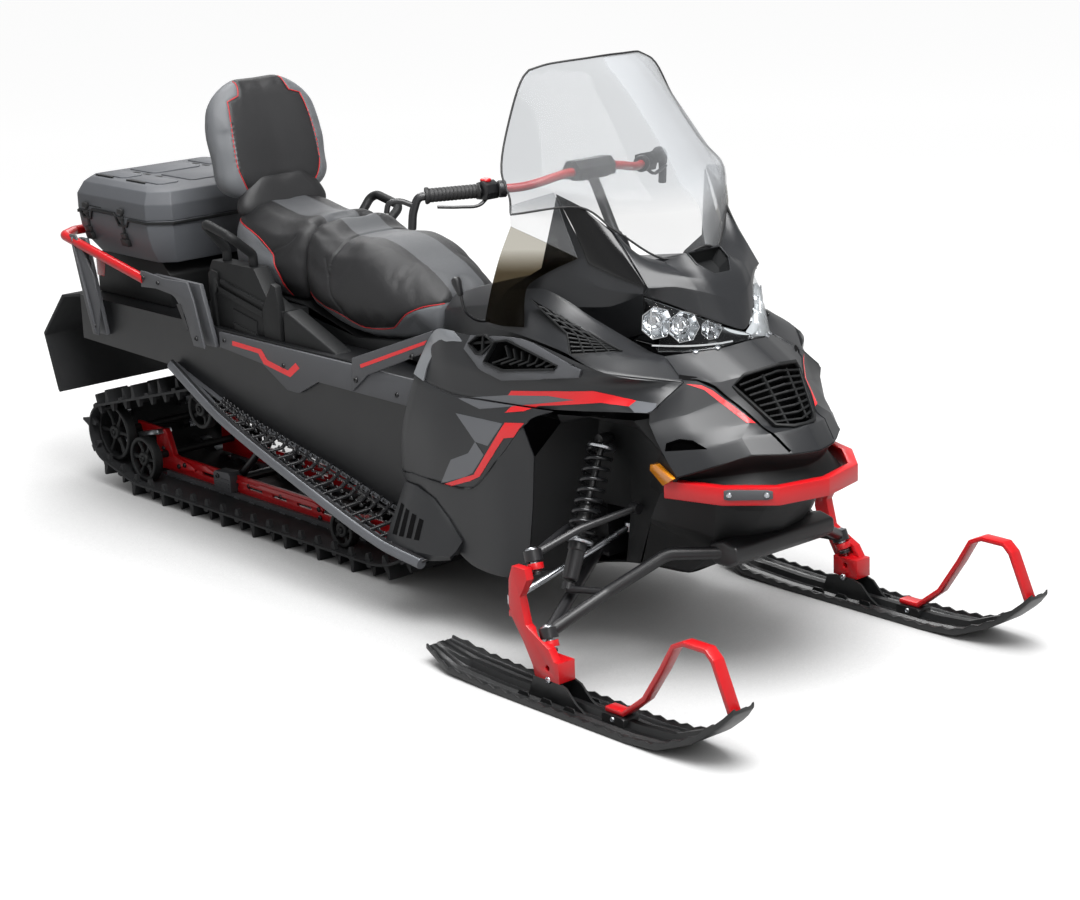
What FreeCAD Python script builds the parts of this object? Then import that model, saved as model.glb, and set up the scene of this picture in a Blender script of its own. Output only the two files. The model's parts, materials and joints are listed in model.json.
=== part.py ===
import FreeCAD, Part
import math
import os

V = FreeCAD.Vector
os.makedirs("parts", exist_ok=True)

# Snowmobile, millimetres. +X points forward, +Y to the rider's left, +Z up.
# The origin is on the ground, midway between the snow flap and the ski tips.

# Fits and walls shared by many pieces
SEAT = 0.3
PANEL_WALL = 5.0
SHEET = 4.0
OVERRUN = 60.0

# Track and its wheels
TRACK_WIDTH = 500.0
LUG_HEIGHT = 38.0
BELT = 8.0
LUG_PITCH = 76.0
LUG_FOOT = 34.0
LUG_TIP = 16.0
GROUND_RUN = LUG_HEIGHT + BELT
REAR_WHEEL_X = -1341.0
REAR_WHEEL_Z = 173.0
REAR_WHEEL_R = 88.0
SECOND_WHEEL_X = -1185.0
SECOND_WHEEL_R = 70.0
FRONT_WHEEL_X = -188.0
FRONT_WHEEL_R = 52.0
UPPER_WHEEL_X = -850.0
UPPER_WHEEL_Z = 330.0
UPPER_WHEEL_R = 60.0
RAIL_CURVE_X = -40.0
RAIL_CURVE_R = 300.0
DRIVE_X = 335.0
DRIVE_Z = 315.0
DRIVE_R = 105.0
WHEEL_Y = 205.0
WHEEL_WIDTH = 32.0
AXLE_R = 11.0

# Tunnel
TRACK_SIDE_GAP = 18.0
TUNNEL_WIDTH = TRACK_WIDTH + 2 * (TRACK_SIDE_GAP + SHEET)
TUNNEL_TOP = 612.0
TUNNEL_REAR_X = -1380.0
TUNNEL_FRONT_X = 540.0
TUNNEL_NOSE_DROP = 62.0
TUNNEL_SLOPE_SHARE = 0.70

# Slide rails
RAIL_Y = 120.0
RAIL_THICKNESS = 8.0
RAIL_HEIGHT = 52.0
SLIDER_HEIGHT = 16.0
SLIDER_WIDTH = 30.0

# Running boards
BOARD_FRONT_X = 400.0
BOARD_LENGTH = 1268.0
BOARD_LOW_Z = 178.0
BOARD_RISE = 299.0
BOARD_REACH = 130.0
BOARD_INNER_RISE = 32.0
BOARD_PLATE = 6.0
BOARD_TUBE_R = 15.0

# Front suspension and steering
STANCE = 1020.0
STEER_TOP_X = 940.0
STEER_TOP_Z = 322.0
STEER_TOP_Y = 490.0
STEER_LOW_X = 1003.0
STEER_LOW_Z = 150.0
STEER_LOW_Y = 506.0
SKI_BOLT_X = 1030.0
SKI_BOLT_Z = 92.0


def mirror_y(shape):
    """The same shape on the other side of the centre plane."""
    return shape.mirror(V(0, 0, 0), V(0, 1, 0))


def save(name, shape):
    """One STEP file per sub-part."""
    shape.exportStep("parts/" + name + ".step")


def save_pair(stem, right_shape):
    """The right-hand piece and its mirror image."""
    save(stem + "_right", right_shape)
    save(stem + "_left", mirror_y(right_shape))


def save_both(name, right_shape):
    """One node with the right-hand piece and its mirror image as separate solids."""
    save(name, Part.makeCompound([right_shape, mirror_y(right_shape)]))


def face_of(points):
    return Part.Face(Part.makePolygon(points + [points[0]]))


def plate_y(points, y_low, y_high):
    """A flat plate: an outline of (x, z) points carried from y_low to y_high."""
    face = face_of([V(x, y_low, z) for x, z in points])
    return face.extrude(V(0, y_high - y_low, 0))


def plate_z(points, z_low, z_high):
    face = face_of([V(x, y, z_low) for x, y in points])
    return face.extrude(V(0, 0, z_high - z_low))


def block(x_low, x_high, y_low, y_high, z_low, z_high):
    return Part.makeBox(x_high - x_low, y_high - y_low, z_high - z_low, V(x_low, y_low, z_low))


def rod(start, end, radius):
    run = end.sub(start)
    return Part.makeCylinder(radius, run.Length, start, run)


def drum_y(x, z, y_low, y_high, radius):
    return Part.makeCylinder(radius, y_high - y_low, V(x, y_low, z), V(0, 1, 0))


def joined(shapes):
    whole = shapes[0]
    for shape in shapes[1:]:
        whole = whole.fuse(shape)
    return whole.removeSplitter()


def tube(points, radius, bend):
    """A round tube along straight runs joined by tangent arcs of one bend radius."""
    edges = []
    here = points[0]
    for before, corner, after in zip(points, points[1:], points[2:]):
        back = before.sub(corner).normalize()
        ahead = after.sub(corner).normalize()
        half_turn = (math.pi - back.getAngle(ahead)) / 2
        cut = bend * math.tan(half_turn)
        start = corner.add(V(back).multiply(cut))
        end = corner.add(V(ahead).multiply(cut))
        inward = back.add(ahead).normalize()
        depth = bend / math.cos(half_turn) - bend
        middle = corner.add(inward.multiply(depth))
        edges.append(Part.LineSegment(here, start).toShape())
        edges.append(Part.Arc(start, middle, end).toShape())
        here = end
    edges.append(Part.LineSegment(here, points[-1]).toShape())
    path = Part.Wire(edges)
    run = points[1].sub(points[0])
    ring = Part.Wire([Part.makeCircle(radius, points[0], run)])
    return path.makePipeShell([ring], True, False)


def solid_of(triangles):
    """A closed solid from its boundary triangles."""
    shell = Part.makeShell([face_of(list(corners)) for corners in triangles])
    solid = Part.makeSolid(shell)
    if solid.Volume < 0:
        solid.reverse()
    return solid


def split_quad(a, b, c, d):
    """Two triangles across the shorter diagonal, so both sides of the body match."""
    if a.distanceToPoint(c) <= b.distanceToPoint(d):
        return [(a, b, c), (a, c, d)]
    return [(a, b, d), (b, c, d)]


def ring_loft(rings):
    """A closed solid through rings of equally many points; the two end rings are flat."""
    triangles = []
    count = len(rings[0])
    for low, high in zip(rings, rings[1:]):
        for i in range(count):
            j = (i + 1) % count
            triangles += split_quad(low[i], low[j], high[j], high[i])
    return solid_of(triangles + [tuple(rings[0]), tuple(rings[-1])])


# Bodywork shell: every panel is a piece of one outer surface, and its wall is laid
# towards the spine of the body, so neighbouring panels meet edge to edge.
SPINE_REAR_X = 450.0
SPINE_FRONT_X = 1040.0
SPINE_Z = 520.0


def inward(point):
    x = min(max(point.x, SPINE_REAR_X), SPINE_FRONT_X)
    return V(x, 0, SPINE_Z).sub(point).normalize()


def inset_grid(grid, gap):
    """The grid with its border drawn in by a gap, for a seam between panels."""
    rows = [[V(p) for p in row] for row in grid]
    last_row = len(rows) - 1
    last_col = len(rows[0]) - 1
    for i, row in enumerate(grid):
        step = row[1].sub(row[0]).normalize().multiply(gap)
        rows[i][0] = rows[i][0].add(step)
        step = row[last_col - 1].sub(row[last_col]).normalize().multiply(gap)
        rows[i][last_col] = rows[i][last_col].add(step)
    for j in range(last_col + 1):
        step = grid[1][j].sub(grid[0][j]).normalize().multiply(gap)
        rows[0][j] = rows[0][j].add(step)
        step = grid[last_row - 1][j].sub(grid[last_row][j]).normalize().multiply(gap)
        rows[last_row][j] = rows[last_row][j].add(step)
    return rows


def skin(grid, wall, lay=inward, skip=()):
    """A closed panel: outer grid, inner grid laid in by the wall, and rims at every border."""
    outer = grid
    inner = [[p.add(lay(p).multiply(wall)) for p in row] for row in grid]
    triangles = []
    border = {}
    for i in range(len(grid) - 1):
        for j in range(len(grid[0]) - 1):
            if (i, j) in skip:
                continue
            cells = ((i, j), (i, j + 1), (i + 1, j + 1), (i + 1, j))
            triangles += split_quad(*[outer[a][b] for a, b in cells])
            triangles += split_quad(*[inner[a][b] for a, b in cells])
            for k in range(len(cells)):
                edge = tuple(sorted((cells[k], cells[(k + 1) % len(cells)])))
                border[edge] = border.get(edge, 0) + 1
    for (first, second), uses in border.items():
        if uses > 1:
            continue
        a = outer[first[0]][first[1]]
        b = outer[second[0]][second[1]]
        c = inner[second[0]][second[1]]
        d = inner[first[0]][first[1]]
        triangles += split_quad(a, b, c, d)
    return solid_of(triangles)


def both_halves(half):
    """A full-width grid from rows that run from the centre plane outwards on the right."""
    rows = []
    for row in half:
        left = [V(p.x, -p.y, p.z) for p in reversed(row[1:])]
        rows.append(left + row)
    return rows


def placed(shares, low, size):
    """Grid rows given as shares of a box: x from low.x, y out to the right, z from low.z."""
    return [[V(low.x + size.x * u, -(low.y + size.y * v), low.z + size.z * w)
             for u, v, w in row] for row in shares]


# Track

def belt_circles():
    """Wheels that the belt runs round, counter-clockwise from the second wheel."""
    return ((SECOND_WHEEL_X, GROUND_RUN + SECOND_WHEEL_R, SECOND_WHEEL_R),
            (RAIL_CURVE_X, GROUND_RUN + RAIL_CURVE_R, RAIL_CURVE_R),
            (DRIVE_X, DRIVE_Z, DRIVE_R),
            (UPPER_WHEEL_X, UPPER_WHEEL_Z, UPPER_WHEEL_R),
            (REAR_WHEEL_X, REAR_WHEEL_Z, REAR_WHEEL_R))


def belt_normals(circles):
    """Outward normal angle of each tangent run from one circle to the next."""
    angles = []
    for (x0, z0, r0), (x1, z1, r1) in zip(circles, circles[1:] + circles[:1]):
        run = math.hypot(x1 - x0, z1 - z0)
        heading = math.atan2(z1 - z0, x1 - x0)
        angles.append(heading - math.acos((r0 - r1) / run))
    return angles


def belt_course(offset):
    """Arcs and runs of the loop at an offset outside the wheels, as (length, kind, data)."""
    circles = belt_circles()
    normals = belt_normals(circles)
    course = []
    for k, (x, z, r) in enumerate(circles):
        turn = (normals[k] - normals[k - 1]) % (2 * math.pi)
        course.append(((r + offset) * turn, "arc", (x, z, r + offset, normals[k - 1])))
        x1, z1, r1 = circles[(k + 1) % len(circles)]
        c, s = math.cos(normals[k]), math.sin(normals[k])
        start = (x + (r + offset) * c, z + (r + offset) * s)
        end = (x1 + (r1 + offset) * c, z1 + (r1 + offset) * s)
        length = math.hypot(end[0] - start[0], end[1] - start[1])
        course.append((length, "run", (start, end, normals[k])))
    return course


def course_point(course, distance, height):
    """The point a height outside the loop, at a distance along it."""
    total = sum(step[0] for step in course)
    left = distance % total
    for length, kind, data in course:
        if left <= length:
            break
        left -= length
    if kind == "arc":
        x, z, radius, start = data
        angle = start + left / radius
        return (x + (radius + height) * math.cos(angle), z + (radius + height) * math.sin(angle))
    (x0, z0), (x1, z1), angle = data
    part = left / length
    return (x0 + (x1 - x0) * part + height * math.cos(angle),
            z0 + (z1 - z0) * part + height * math.sin(angle))


def track_outline(course, count, height):
    """The belt's outer outline with one lug on each pitch."""
    pitch = sum(step[0] for step in course) / count
    points = []
    for k in range(count):
        middle = k * pitch
        points.append(course_point(course, middle - LUG_FOOT / 2, 0))
        points.append(course_point(course, middle - LUG_TIP / 2, height))
        points.append(course_point(course, middle + LUG_TIP / 2, height))
        points.append(course_point(course, middle + LUG_FOOT / 2, 0))
        points.append(course_point(course, middle + pitch / 2, 0))
    return points


def belt_hole():
    """The space inside the belt, wider than the track."""
    edges = []
    for length, kind, data in belt_course(0):
        if kind == "arc":
            x, z, radius, start = data
            turn = length / radius
            ends = [V(x + radius * math.cos(start + turn * part), 0,
                      z + radius * math.sin(start + turn * part)) for part in (0, 1 / 2, 1)]
            edges.append(Part.Arc(*ends).toShape())
        else:
            (x0, z0), (x1, z1), angle = data
            edges.append(Part.LineSegment(V(x0, 0, z0), V(x1, 0, z1)).toShape())
    hole = Part.Face(Part.Wire(edges)).extrude(V(0, TRACK_WIDTH + 2 * OVERRUN, 0))
    hole.translate(V(0, -TRACK_WIDTH / 2 - OVERRUN, 0))
    return hole


def track():
    course = belt_course(BELT)
    count = round(sum(step[0] for step in course) / LUG_PITCH)
    body = plate_y(track_outline(course, count, LUG_HEIGHT), -TRACK_WIDTH / 2, TRACK_WIDTH / 2)
    return body.cut(belt_hole())


# Wheels, axles and rails inside the track

WHEEL_RIM = 14.0
WHEEL_WEB = 10.0


def wheel_set(x, z, radius, half_span):
    """An axle with a wheel near each end: a rim, a thin web and a hub, one turned solid."""
    shapes = [drum_y(x, z, -half_span, half_span, AXLE_R)]
    for side in (-1, 1):
        y = side * WHEEL_Y
        wheel = drum_y(x, z, y - WHEEL_WIDTH / 2, y + WHEEL_WIDTH / 2, radius - SEAT)
        for face in (-1, 1):
            low = y + face * WHEEL_WEB / 2
            high = y + face * WHEEL_WIDTH
            pocket = drum_y(x, z, min(low, high), max(low, high), radius - WHEEL_RIM)
            wheel = wheel.cut(pocket)
        shapes.append(wheel)
        shapes.append(drum_y(x, z, y - WHEEL_WIDTH / 2, y + WHEEL_WIDTH / 2, 2 * AXLE_R))
    return joined(shapes)


def wheel_sets():
    half_span = WHEEL_Y + WHEEL_WIDTH / 2
    save("rear_wheels", wheel_set(REAR_WHEEL_X, REAR_WHEEL_Z, REAR_WHEEL_R, half_span))
    second = wheel_set(SECOND_WHEEL_X, GROUND_RUN + SECOND_WHEEL_R, SECOND_WHEEL_R, half_span)
    front = wheel_set(FRONT_WHEEL_X, GROUND_RUN + FRONT_WHEEL_R, FRONT_WHEEL_R, half_span)
    upper = wheel_set(UPPER_WHEEL_X, UPPER_WHEEL_Z, UPPER_WHEEL_R, half_span)
    save("idler_wheels", Part.makeCompound([second, front, upper]))


SPROCKET_WIDTH = 30.0
SPROCKET_Y = 150.0
DRIVE_SHAFT_R = 20.0


def drive_axle():
    half = TUNNEL_WIDTH / 2 - SHEET - SEAT
    shapes = [drum_y(DRIVE_X, DRIVE_Z, -half, half, DRIVE_SHAFT_R)]
    for side in (-1, 1):
        y = side * SPROCKET_Y
        shapes.append(drum_y(DRIVE_X, DRIVE_Z, y - SPROCKET_WIDTH / 2, y + SPROCKET_WIDTH / 2,
                             DRIVE_R - SEAT))
    return joined(shapes)


RAIL_TAIL_X = -1250.0
SLIDER_TAIL_X = -1190.0
RAIL_TAIL_HEIGHT = 130.0
RAIL_LENGTH = RAIL_CURVE_X - RAIL_TAIL_X
RAIL_TIP_TURN = math.radians(32)
RAIL_SLOTS = 7
RAIL_SLOT_LENGTH = 70.0
RAIL_SLOT_HEIGHT = 16.0
RAIL_HORN_SHARES = ((0.0, 0.10), (0.0, 0.75), (-0.055, 0.75), (-0.082, 0.90), (-0.082, 1.0),
                    (-0.05, 1.0), (0.03, 0.98), (0.045, 0.85), (0.045, 0.42), (0.08, 0.0))


def rail_arc(radius, part):
    angle = -math.pi / 2 + RAIL_TIP_TURN * part
    return (RAIL_CURVE_X + radius * math.cos(angle),
            GROUND_RUN + RAIL_CURVE_R + radius * math.sin(angle))


def rail_outline(tail_x, low, high):
    """A bar that lies on the belt and curls up at the front, from low to high above the belt."""
    steps = [k / 4 for k in range(5)]
    under = [rail_arc(RAIL_CURVE_R - low, part) for part in steps]
    over = [rail_arc(RAIL_CURVE_R - high, part) for part in reversed(steps)]
    return [(tail_x, GROUND_RUN + low)] + under + over + [(tail_x, GROUND_RUN + high)]


def axle_holes(body):
    sets = ((REAR_WHEEL_X, REAR_WHEEL_Z), (SECOND_WHEEL_X, GROUND_RUN + SECOND_WHEEL_R),
            (FRONT_WHEEL_X, GROUND_RUN + FRONT_WHEEL_R))
    for x, z in sets:
        body = body.cut(drum_y(x, z, -TRACK_WIDTH, TRACK_WIDTH, AXLE_R + SEAT))
    return body


def slide_rail():
    y_low = -RAIL_Y - RAIL_THICKNESS / 2
    y_high = y_low + RAIL_THICKNESS
    top = SLIDER_HEIGHT + RAIL_HEIGHT
    bar = plate_y(rail_outline(RAIL_TAIL_X, SLIDER_HEIGHT, top), y_low, y_high)
    base = GROUND_RUN + SLIDER_HEIGHT
    horn = [(RAIL_TAIL_X + RAIL_LENGTH * u, base + RAIL_TAIL_HEIGHT * w)
            for u, w in RAIL_HORN_SHARES]
    bar = bar.fuse(plate_y(horn, y_low, y_high))
    boss = drum_y(FRONT_WHEEL_X, GROUND_RUN + FRONT_WHEEL_R, y_low, y_high, 2 * AXLE_R)
    bar = bar.fuse(boss)
    step = RAIL_LENGTH / (RAIL_SLOTS + 3)
    for k in range(RAIL_SLOTS):
        x = RAIL_TAIL_X + step * (k + 2)
        z = base + RAIL_HEIGHT / 2 - RAIL_SLOT_HEIGHT / 2
        slot = block(x, x + RAIL_SLOT_LENGTH, y_low - OVERRUN, y_high + OVERRUN,
                     z, z + RAIL_SLOT_HEIGHT)
        bar = bar.cut(slot)
    return axle_holes(bar).removeSplitter()


def rail_sliders():
    low = plate_y(rail_outline(SLIDER_TAIL_X, SEAT, SLIDER_HEIGHT - SEAT),
                  -RAIL_Y - SLIDER_WIDTH / 2, -RAIL_Y + SLIDER_WIDTH / 2)
    return Part.makeCompound([low, mirror_y(low)])


ARM_TUBE_R = 14.0
ARM_LEG_R = 11.2
FRONT_ARM_X = 60.0
FRONT_ARM_Z = 384.0
FRONT_ARM_FOOT_X = -330.0
REAR_ARM_X = -560.0
REAR_ARM_Z = 358.0
REAR_ARM_FOOT_X = -860.0
ARM_EYE = 22.0


def swing_arm(top_x, top_z, foot_x):
    """A frame of tubes from a cross tube under the tunnel down to the inside of the rails."""
    half = TUNNEL_WIDTH / 2 - SHEET - SEAT
    foot_y = RAIL_Y - RAIL_THICKNESS / 2 - SEAT
    foot_z = GROUND_RUN + SLIDER_HEIGHT + RAIL_HEIGHT / 2
    leg_y = foot_y - ARM_EYE
    shapes = [drum_y(top_x, top_z, -half, half, ARM_TUBE_R),
              drum_y(foot_x, foot_z, -foot_y, foot_y, ARM_TUBE_R)]
    for side in (-1, 1):
        shapes.append(rod(V(top_x, side * leg_y, top_z), V(foot_x, side * leg_y, foot_z),
                          ARM_LEG_R))
    return joined(shapes)


COIL_TURNS = 8
SPRING_SPAN = (0.22, 0.90)
COIL_SHARES = ((0.25, 1.0), (0.6, 1.0), (0.85, 0.8))
DAMPER_SHARE = 0.45
ROD_SHARE = 0.35


def shock_outline(length, radius):
    """Half of a damper with its coils' wavy outline, as (radius, height) points."""
    start = length * SPRING_SPAN[0]
    end = length * SPRING_SPAN[1]
    pitch = (end - start) / COIL_TURNS
    body = radius * DAMPER_SHARE
    points = [(0, 0), (body, 0), (body, start), (radius * COIL_SHARES[-1][1], start)]
    for k in range(COIL_TURNS):
        for rise, swell in COIL_SHARES:
            points.append((radius * swell, start + pitch * (k + rise)))
    return points + [(body, end), (radius * ROD_SHARE, length), (0, length)]


def coil_shock(low, high, radius):
    """A damper with a corrugated spring outline between two points."""
    run = high.sub(low)
    outline = face_of([V(r, 0, h) for r, h in shock_outline(run.Length, radius)])
    solid = outline.revolve(V(0, 0, 0), V(0, 0, 1), 360)
    solid.Placement = FreeCAD.Placement(low, FreeCAD.Rotation(V(0, 0, 1), run))
    return solid


def front_shock():
    """The shock on the lower arm's perch, hung from the fender by a cross pin."""
    pin_end = V(SHOCK_TOP.x, SHOCK_PIN_END_Y, SHOCK_TOP.z)
    return coil_shock(SHOCK_FOOT, SHOCK_TOP, SHOCK_R).fuse(rod(SHOCK_TOP, pin_end, SHOCK_PIN_R))


SKID_SHOCK_R = 30.0


def skid_shock(low_x, low_z, high_x, high_z):
    """A shock between two cross tubes of the swing arms."""
    low, high = V(low_x, 0, low_z), V(high_x, 0, high_z)
    step = high.sub(low).normalize().multiply(ARM_TUBE_R + SEAT)
    return coil_shock(low.add(step), high.sub(step), SKID_SHOCK_R)


def skid_shocks():
    """One shock inside the front arm, and one from its foot up to the rear arm."""
    foot_z = GROUND_RUN + SLIDER_HEIGHT + RAIL_HEIGHT / 2
    return Part.makeCompound([skid_shock(FRONT_ARM_FOOT_X, foot_z, FRONT_ARM_X, FRONT_ARM_Z),
                              skid_shock(FRONT_ARM_FOOT_X, foot_z, REAR_ARM_X, REAR_ARM_Z)])


# Tunnel, boards and foot wells

def board_point(u, w, reach):
    return V(BOARD_FRONT_X - BOARD_LENGTH * u, -TUNNEL_WIDTH / 2 - BOARD_REACH * reach,
             BOARD_LOW_Z + BOARD_RISE * w)


BOARD_SHARES = ((0.0, 0.0, 1.0, 1.0), (0.11, 0.047, 1.0, 1.0), (0.425, 0.344, 0.83, 0.85),
                (0.77, 0.672, 0.45, 0.35), (1.0, 1.0, 0.14, 0.0))


def board_inner_z(share, inner_share):
    return BOARD_LOW_Z + BOARD_RISE * share + BOARD_INNER_RISE * inner_share


def tunnel_outline():
    """Side outline of the tunnel, with its lower edge just under the running boards."""
    slope_x = TUNNEL_REAR_X + (TUNNEL_FRONT_X - TUNNEL_REAR_X) * TUNNEL_SLOPE_SHARE
    lower = [(BOARD_FRONT_X - BOARD_LENGTH * u, board_inner_z(w, i) - 2 * BOARD_PLATE)
             for u, w, reach, i in BOARD_SHARES]
    front_low = (TUNNEL_FRONT_X, lower[0][1])
    rear_low = (TUNNEL_REAR_X, lower[-1][1] + 2 * BOARD_PLATE)
    return [front_low] + lower + [rear_low, (TUNNEL_REAR_X, TUNNEL_TOP), (slope_x, TUNNEL_TOP),
                                  (TUNNEL_FRONT_X, TUNNEL_TOP - TUNNEL_NOSE_DROP)]


def tunnel_top(x):
    """Height of the tunnel's upper face at a place along it."""
    slope_x = TUNNEL_REAR_X + (TUNNEL_FRONT_X - TUNNEL_REAR_X) * TUNNEL_SLOPE_SHARE
    part = max(x - slope_x, 0) / (TUNNEL_FRONT_X - slope_x)
    return TUNNEL_TOP - TUNNEL_NOSE_DROP * part


def tunnel():
    half = TUNNEL_WIDTH / 2
    slope_x = TUNNEL_REAR_X + (TUNNEL_FRONT_X - TUNNEL_REAR_X) * TUNNEL_SLOPE_SHARE
    body = plate_y(tunnel_outline(), -half, half)
    inside = [(TUNNEL_FRONT_X - SHEET, -OVERRUN), (TUNNEL_FRONT_X - SHEET, TUNNEL_TOP
               - TUNNEL_NOSE_DROP - SHEET), (slope_x, TUNNEL_TOP - SHEET),
              (TUNNEL_REAR_X - OVERRUN, TUNNEL_TOP - SHEET), (TUNNEL_REAR_X - OVERRUN, -OVERRUN)]
    return body.cut(plate_y(inside, -half + SHEET, half - SHEET))


def running_board():
    """A sloping tread plate beside the tunnel with a round tube along its outer edge."""
    rings = []
    path = []
    for u, w, reach, inner in BOARD_SHARES:
        outer = board_point(u, w, reach)
        near = V(outer.x, -TUNNEL_WIDTH / 2 - SEAT, board_inner_z(w, inner))
        drop = V(0, 0, -BOARD_PLATE)
        rings.append([near, outer, outer.add(drop), near.add(drop)])
        path.append(outer.add(V(0, 0, -BOARD_PLATE / 2)))
    plate = ring_loft(rings)
    edge = tube(path, BOARD_TUBE_R, BOARD_REACH)
    return plate.fuse(edge)


TRIM_Z = 606.0
TRIM_HEIGHT = 120.0
TRIM_LENGTH = 925.0
TRIM_FRONT_X = 300.0
TRIM_THICKNESS = 10.0
TRIM_SHARES = ((0.0, -0.35), (0.03, 0.0), (1.0, 0.0), (1.0, -0.35), (0.78, -0.55),
               (0.66, -1.0), (0.60, -1.0), (0.50, -0.62), (0.0, -0.62))


def tunnel_trim():
    """A moulded strip along the tunnel's upper edge, outside its wall."""
    points = [(TRIM_FRONT_X - TRIM_LENGTH * u, TRIM_Z + TRIM_HEIGHT * w) for u, w in TRIM_SHARES]
    half = TUNNEL_WIDTH / 2 + SEAT
    return plate_y(points, -half - TRIM_THICKNESS, -half)


WELL_TOP_SHARE = 0.5


def foot_well():
    """The toe end of the foot well: a floor that curls up from the running board."""
    outer_y = -TUNNEL_WIDTH / 2 - BOARD_REACH * WELL_TOP_SHARE
    inner_y = -TUNNEL_WIDTH / 2 - SEAT
    floor_z = board_inner_z(0, 1) + BOARD_PLATE
    points = [(BOARD_FRONT_X - 2 * BOARD_TUBE_R, floor_z), (BOARD_FRONT_X + BOARD_TUBE_R, floor_z),
              (BOARD_FRONT_X + 4 * BOARD_TUBE_R, floor_z + BOARD_REACH),
              (BOARD_FRONT_X + 3 * BOARD_TUBE_R, floor_z + 2 * BOARD_REACH)]
    thick = [(x - BOARD_PLATE, z + BOARD_PLATE) for x, z in reversed(points)]
    return plate_y(points + thick, outer_y, inner_y)


# Bodywork

SIDE_LOW_X = 250.0
SIDE_LOW_Y = 300.0
SIDE_LOW_Z = 188.0
SIDE_LOW = V(SIDE_LOW_X, SIDE_LOW_Y, SIDE_LOW_Z)
SIDE_SIZE_X = 614.0
SIDE_SIZE_Y = 62.0
SIDE_SIZE_Z = 454.0
SIDE_SIZE = V(SIDE_SIZE_X, SIDE_SIZE_Y, SIDE_SIZE_Z)
SIDE_PANEL_SHARES = (
    ((0.0, 0.55, 0.42), (0.245, 0.90, 0.435), (0.52, 1.0, 0.467), (0.70, 1.0, 0.687),
     (0.835, 0.95, 0.892)),
    ((0.013, 0.60, 0.577), (0.28, 1.0, 0.62), (0.54, 1.0, 0.687), (0.72, 1.0, 0.84),
     (0.895, 0.90, 0.946)),
    ((0.033, 0.58, 0.718), (0.295, 0.97, 0.786), (0.555, 0.95, 0.83), (0.765, 0.93, 0.907),
     (0.95, 0.85, 0.975)),
    ((0.112, 0.50, 0.995), (0.378, 0.84, 0.956), (0.606, 0.88, 0.971), (0.80, 0.85, 0.987),
     (1.0, 0.75, 1.0)))
LOWER_SIDE_SHARES = (
    ((0.068, 0.50, 0.302), (0.275, 0.80, 0.15), (0.48, 0.92, 0.008), (0.694, 0.92, 0.0),
     (0.79, 0.58, 0.03)),
    ((0.03, 0.52, 0.357), (0.26, 0.90, 0.30), (0.50, 1.0, 0.27), (0.715, 0.98, 0.35),
     (0.845, 0.66, 0.42)),
    ((0.0, 0.55, 0.42), (0.245, 0.90, 0.435), (0.52, 1.0, 0.467), (0.70, 1.0, 0.687),
     (0.875, 0.74, 0.72)),
    ((0.002, 0.551, 0.4205), (0.247, 0.90, 0.4355), (0.521, 1.0, 0.4675), (0.701, 1.0, 0.688),
     (0.835, 0.95, 0.892)))

SHOULDER_LOW_X = 319.0
SHOULDER_LOW_Y = 200.0
SHOULDER_LOW_Z = 622.0
SHOULDER_LOW = V(SHOULDER_LOW_X, SHOULDER_LOW_Y, SHOULDER_LOW_Z)
SHOULDER_SIZE_X = 840.0
SHOULDER_SIZE_Y = 150.0
SHOULDER_SIZE_Z = 180.0
SHOULDER_SIZE = V(SHOULDER_SIZE_X, SHOULDER_SIZE_Y, SHOULDER_SIZE_Z)
SHOULDER_SHARES = (
    ((0.0, 0.87, 0.10), (0.193, 0.98, 0.0), (0.36, 1.0, 0.042), (0.50, 0.98, 0.08),
     (0.65, 0.90, 0.11), (0.97, 0.60, 0.27)),
    ((0.013, 0.77, 0.30), (0.16, 0.95, 0.42), (0.32, 1.0, 0.45), (0.50, 1.0, 0.50),
     (0.69, 0.92, 0.52), (0.985, 0.32, 0.45)),
    ((0.026, 0.67, 0.52), (0.132, 0.87, 0.84), (0.27, 0.85, 0.86), (0.50, 0.87, 0.97),
     (0.8321, 0.7987, 0.7278), (1.0, 0.0, 0.6055)))

VENT_LOW_X = 606.0
VENT_LOW_Y = 160.0
VENT_LOW_Z = 753.0
VENT_LOW = V(VENT_LOW_X, VENT_LOW_Y, VENT_LOW_Z)
VENT_SIZE_X = 553.0
VENT_SIZE_Y = 170.0
VENT_SIZE_Z = 161.0
VENT_SIZE = V(VENT_SIZE_X, VENT_SIZE_Y, VENT_SIZE_Z)
VENT_SHARES = (
    ((0.0, 0.97, 0.34), (0.24, 1.0, 0.31), (0.50, 0.99, 0.20), (0.745, 0.94, 0.0),
     (1.0, 0.235, -0.137)),
    ((0.045, 0.90, 0.66), (0.26, 0.88, 0.66), (0.52, 0.72, 0.45), (0.745, 0.50, 0.18),
     (0.881, 0.114, 0.05)),
    ((0.092, 0.82, 0.92), (0.28, 0.62, 1.0), (0.50, 0.42, 0.62), (0.74, 0.06, 0.155),
     (0.826, 0.056, 0.133)))

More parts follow.
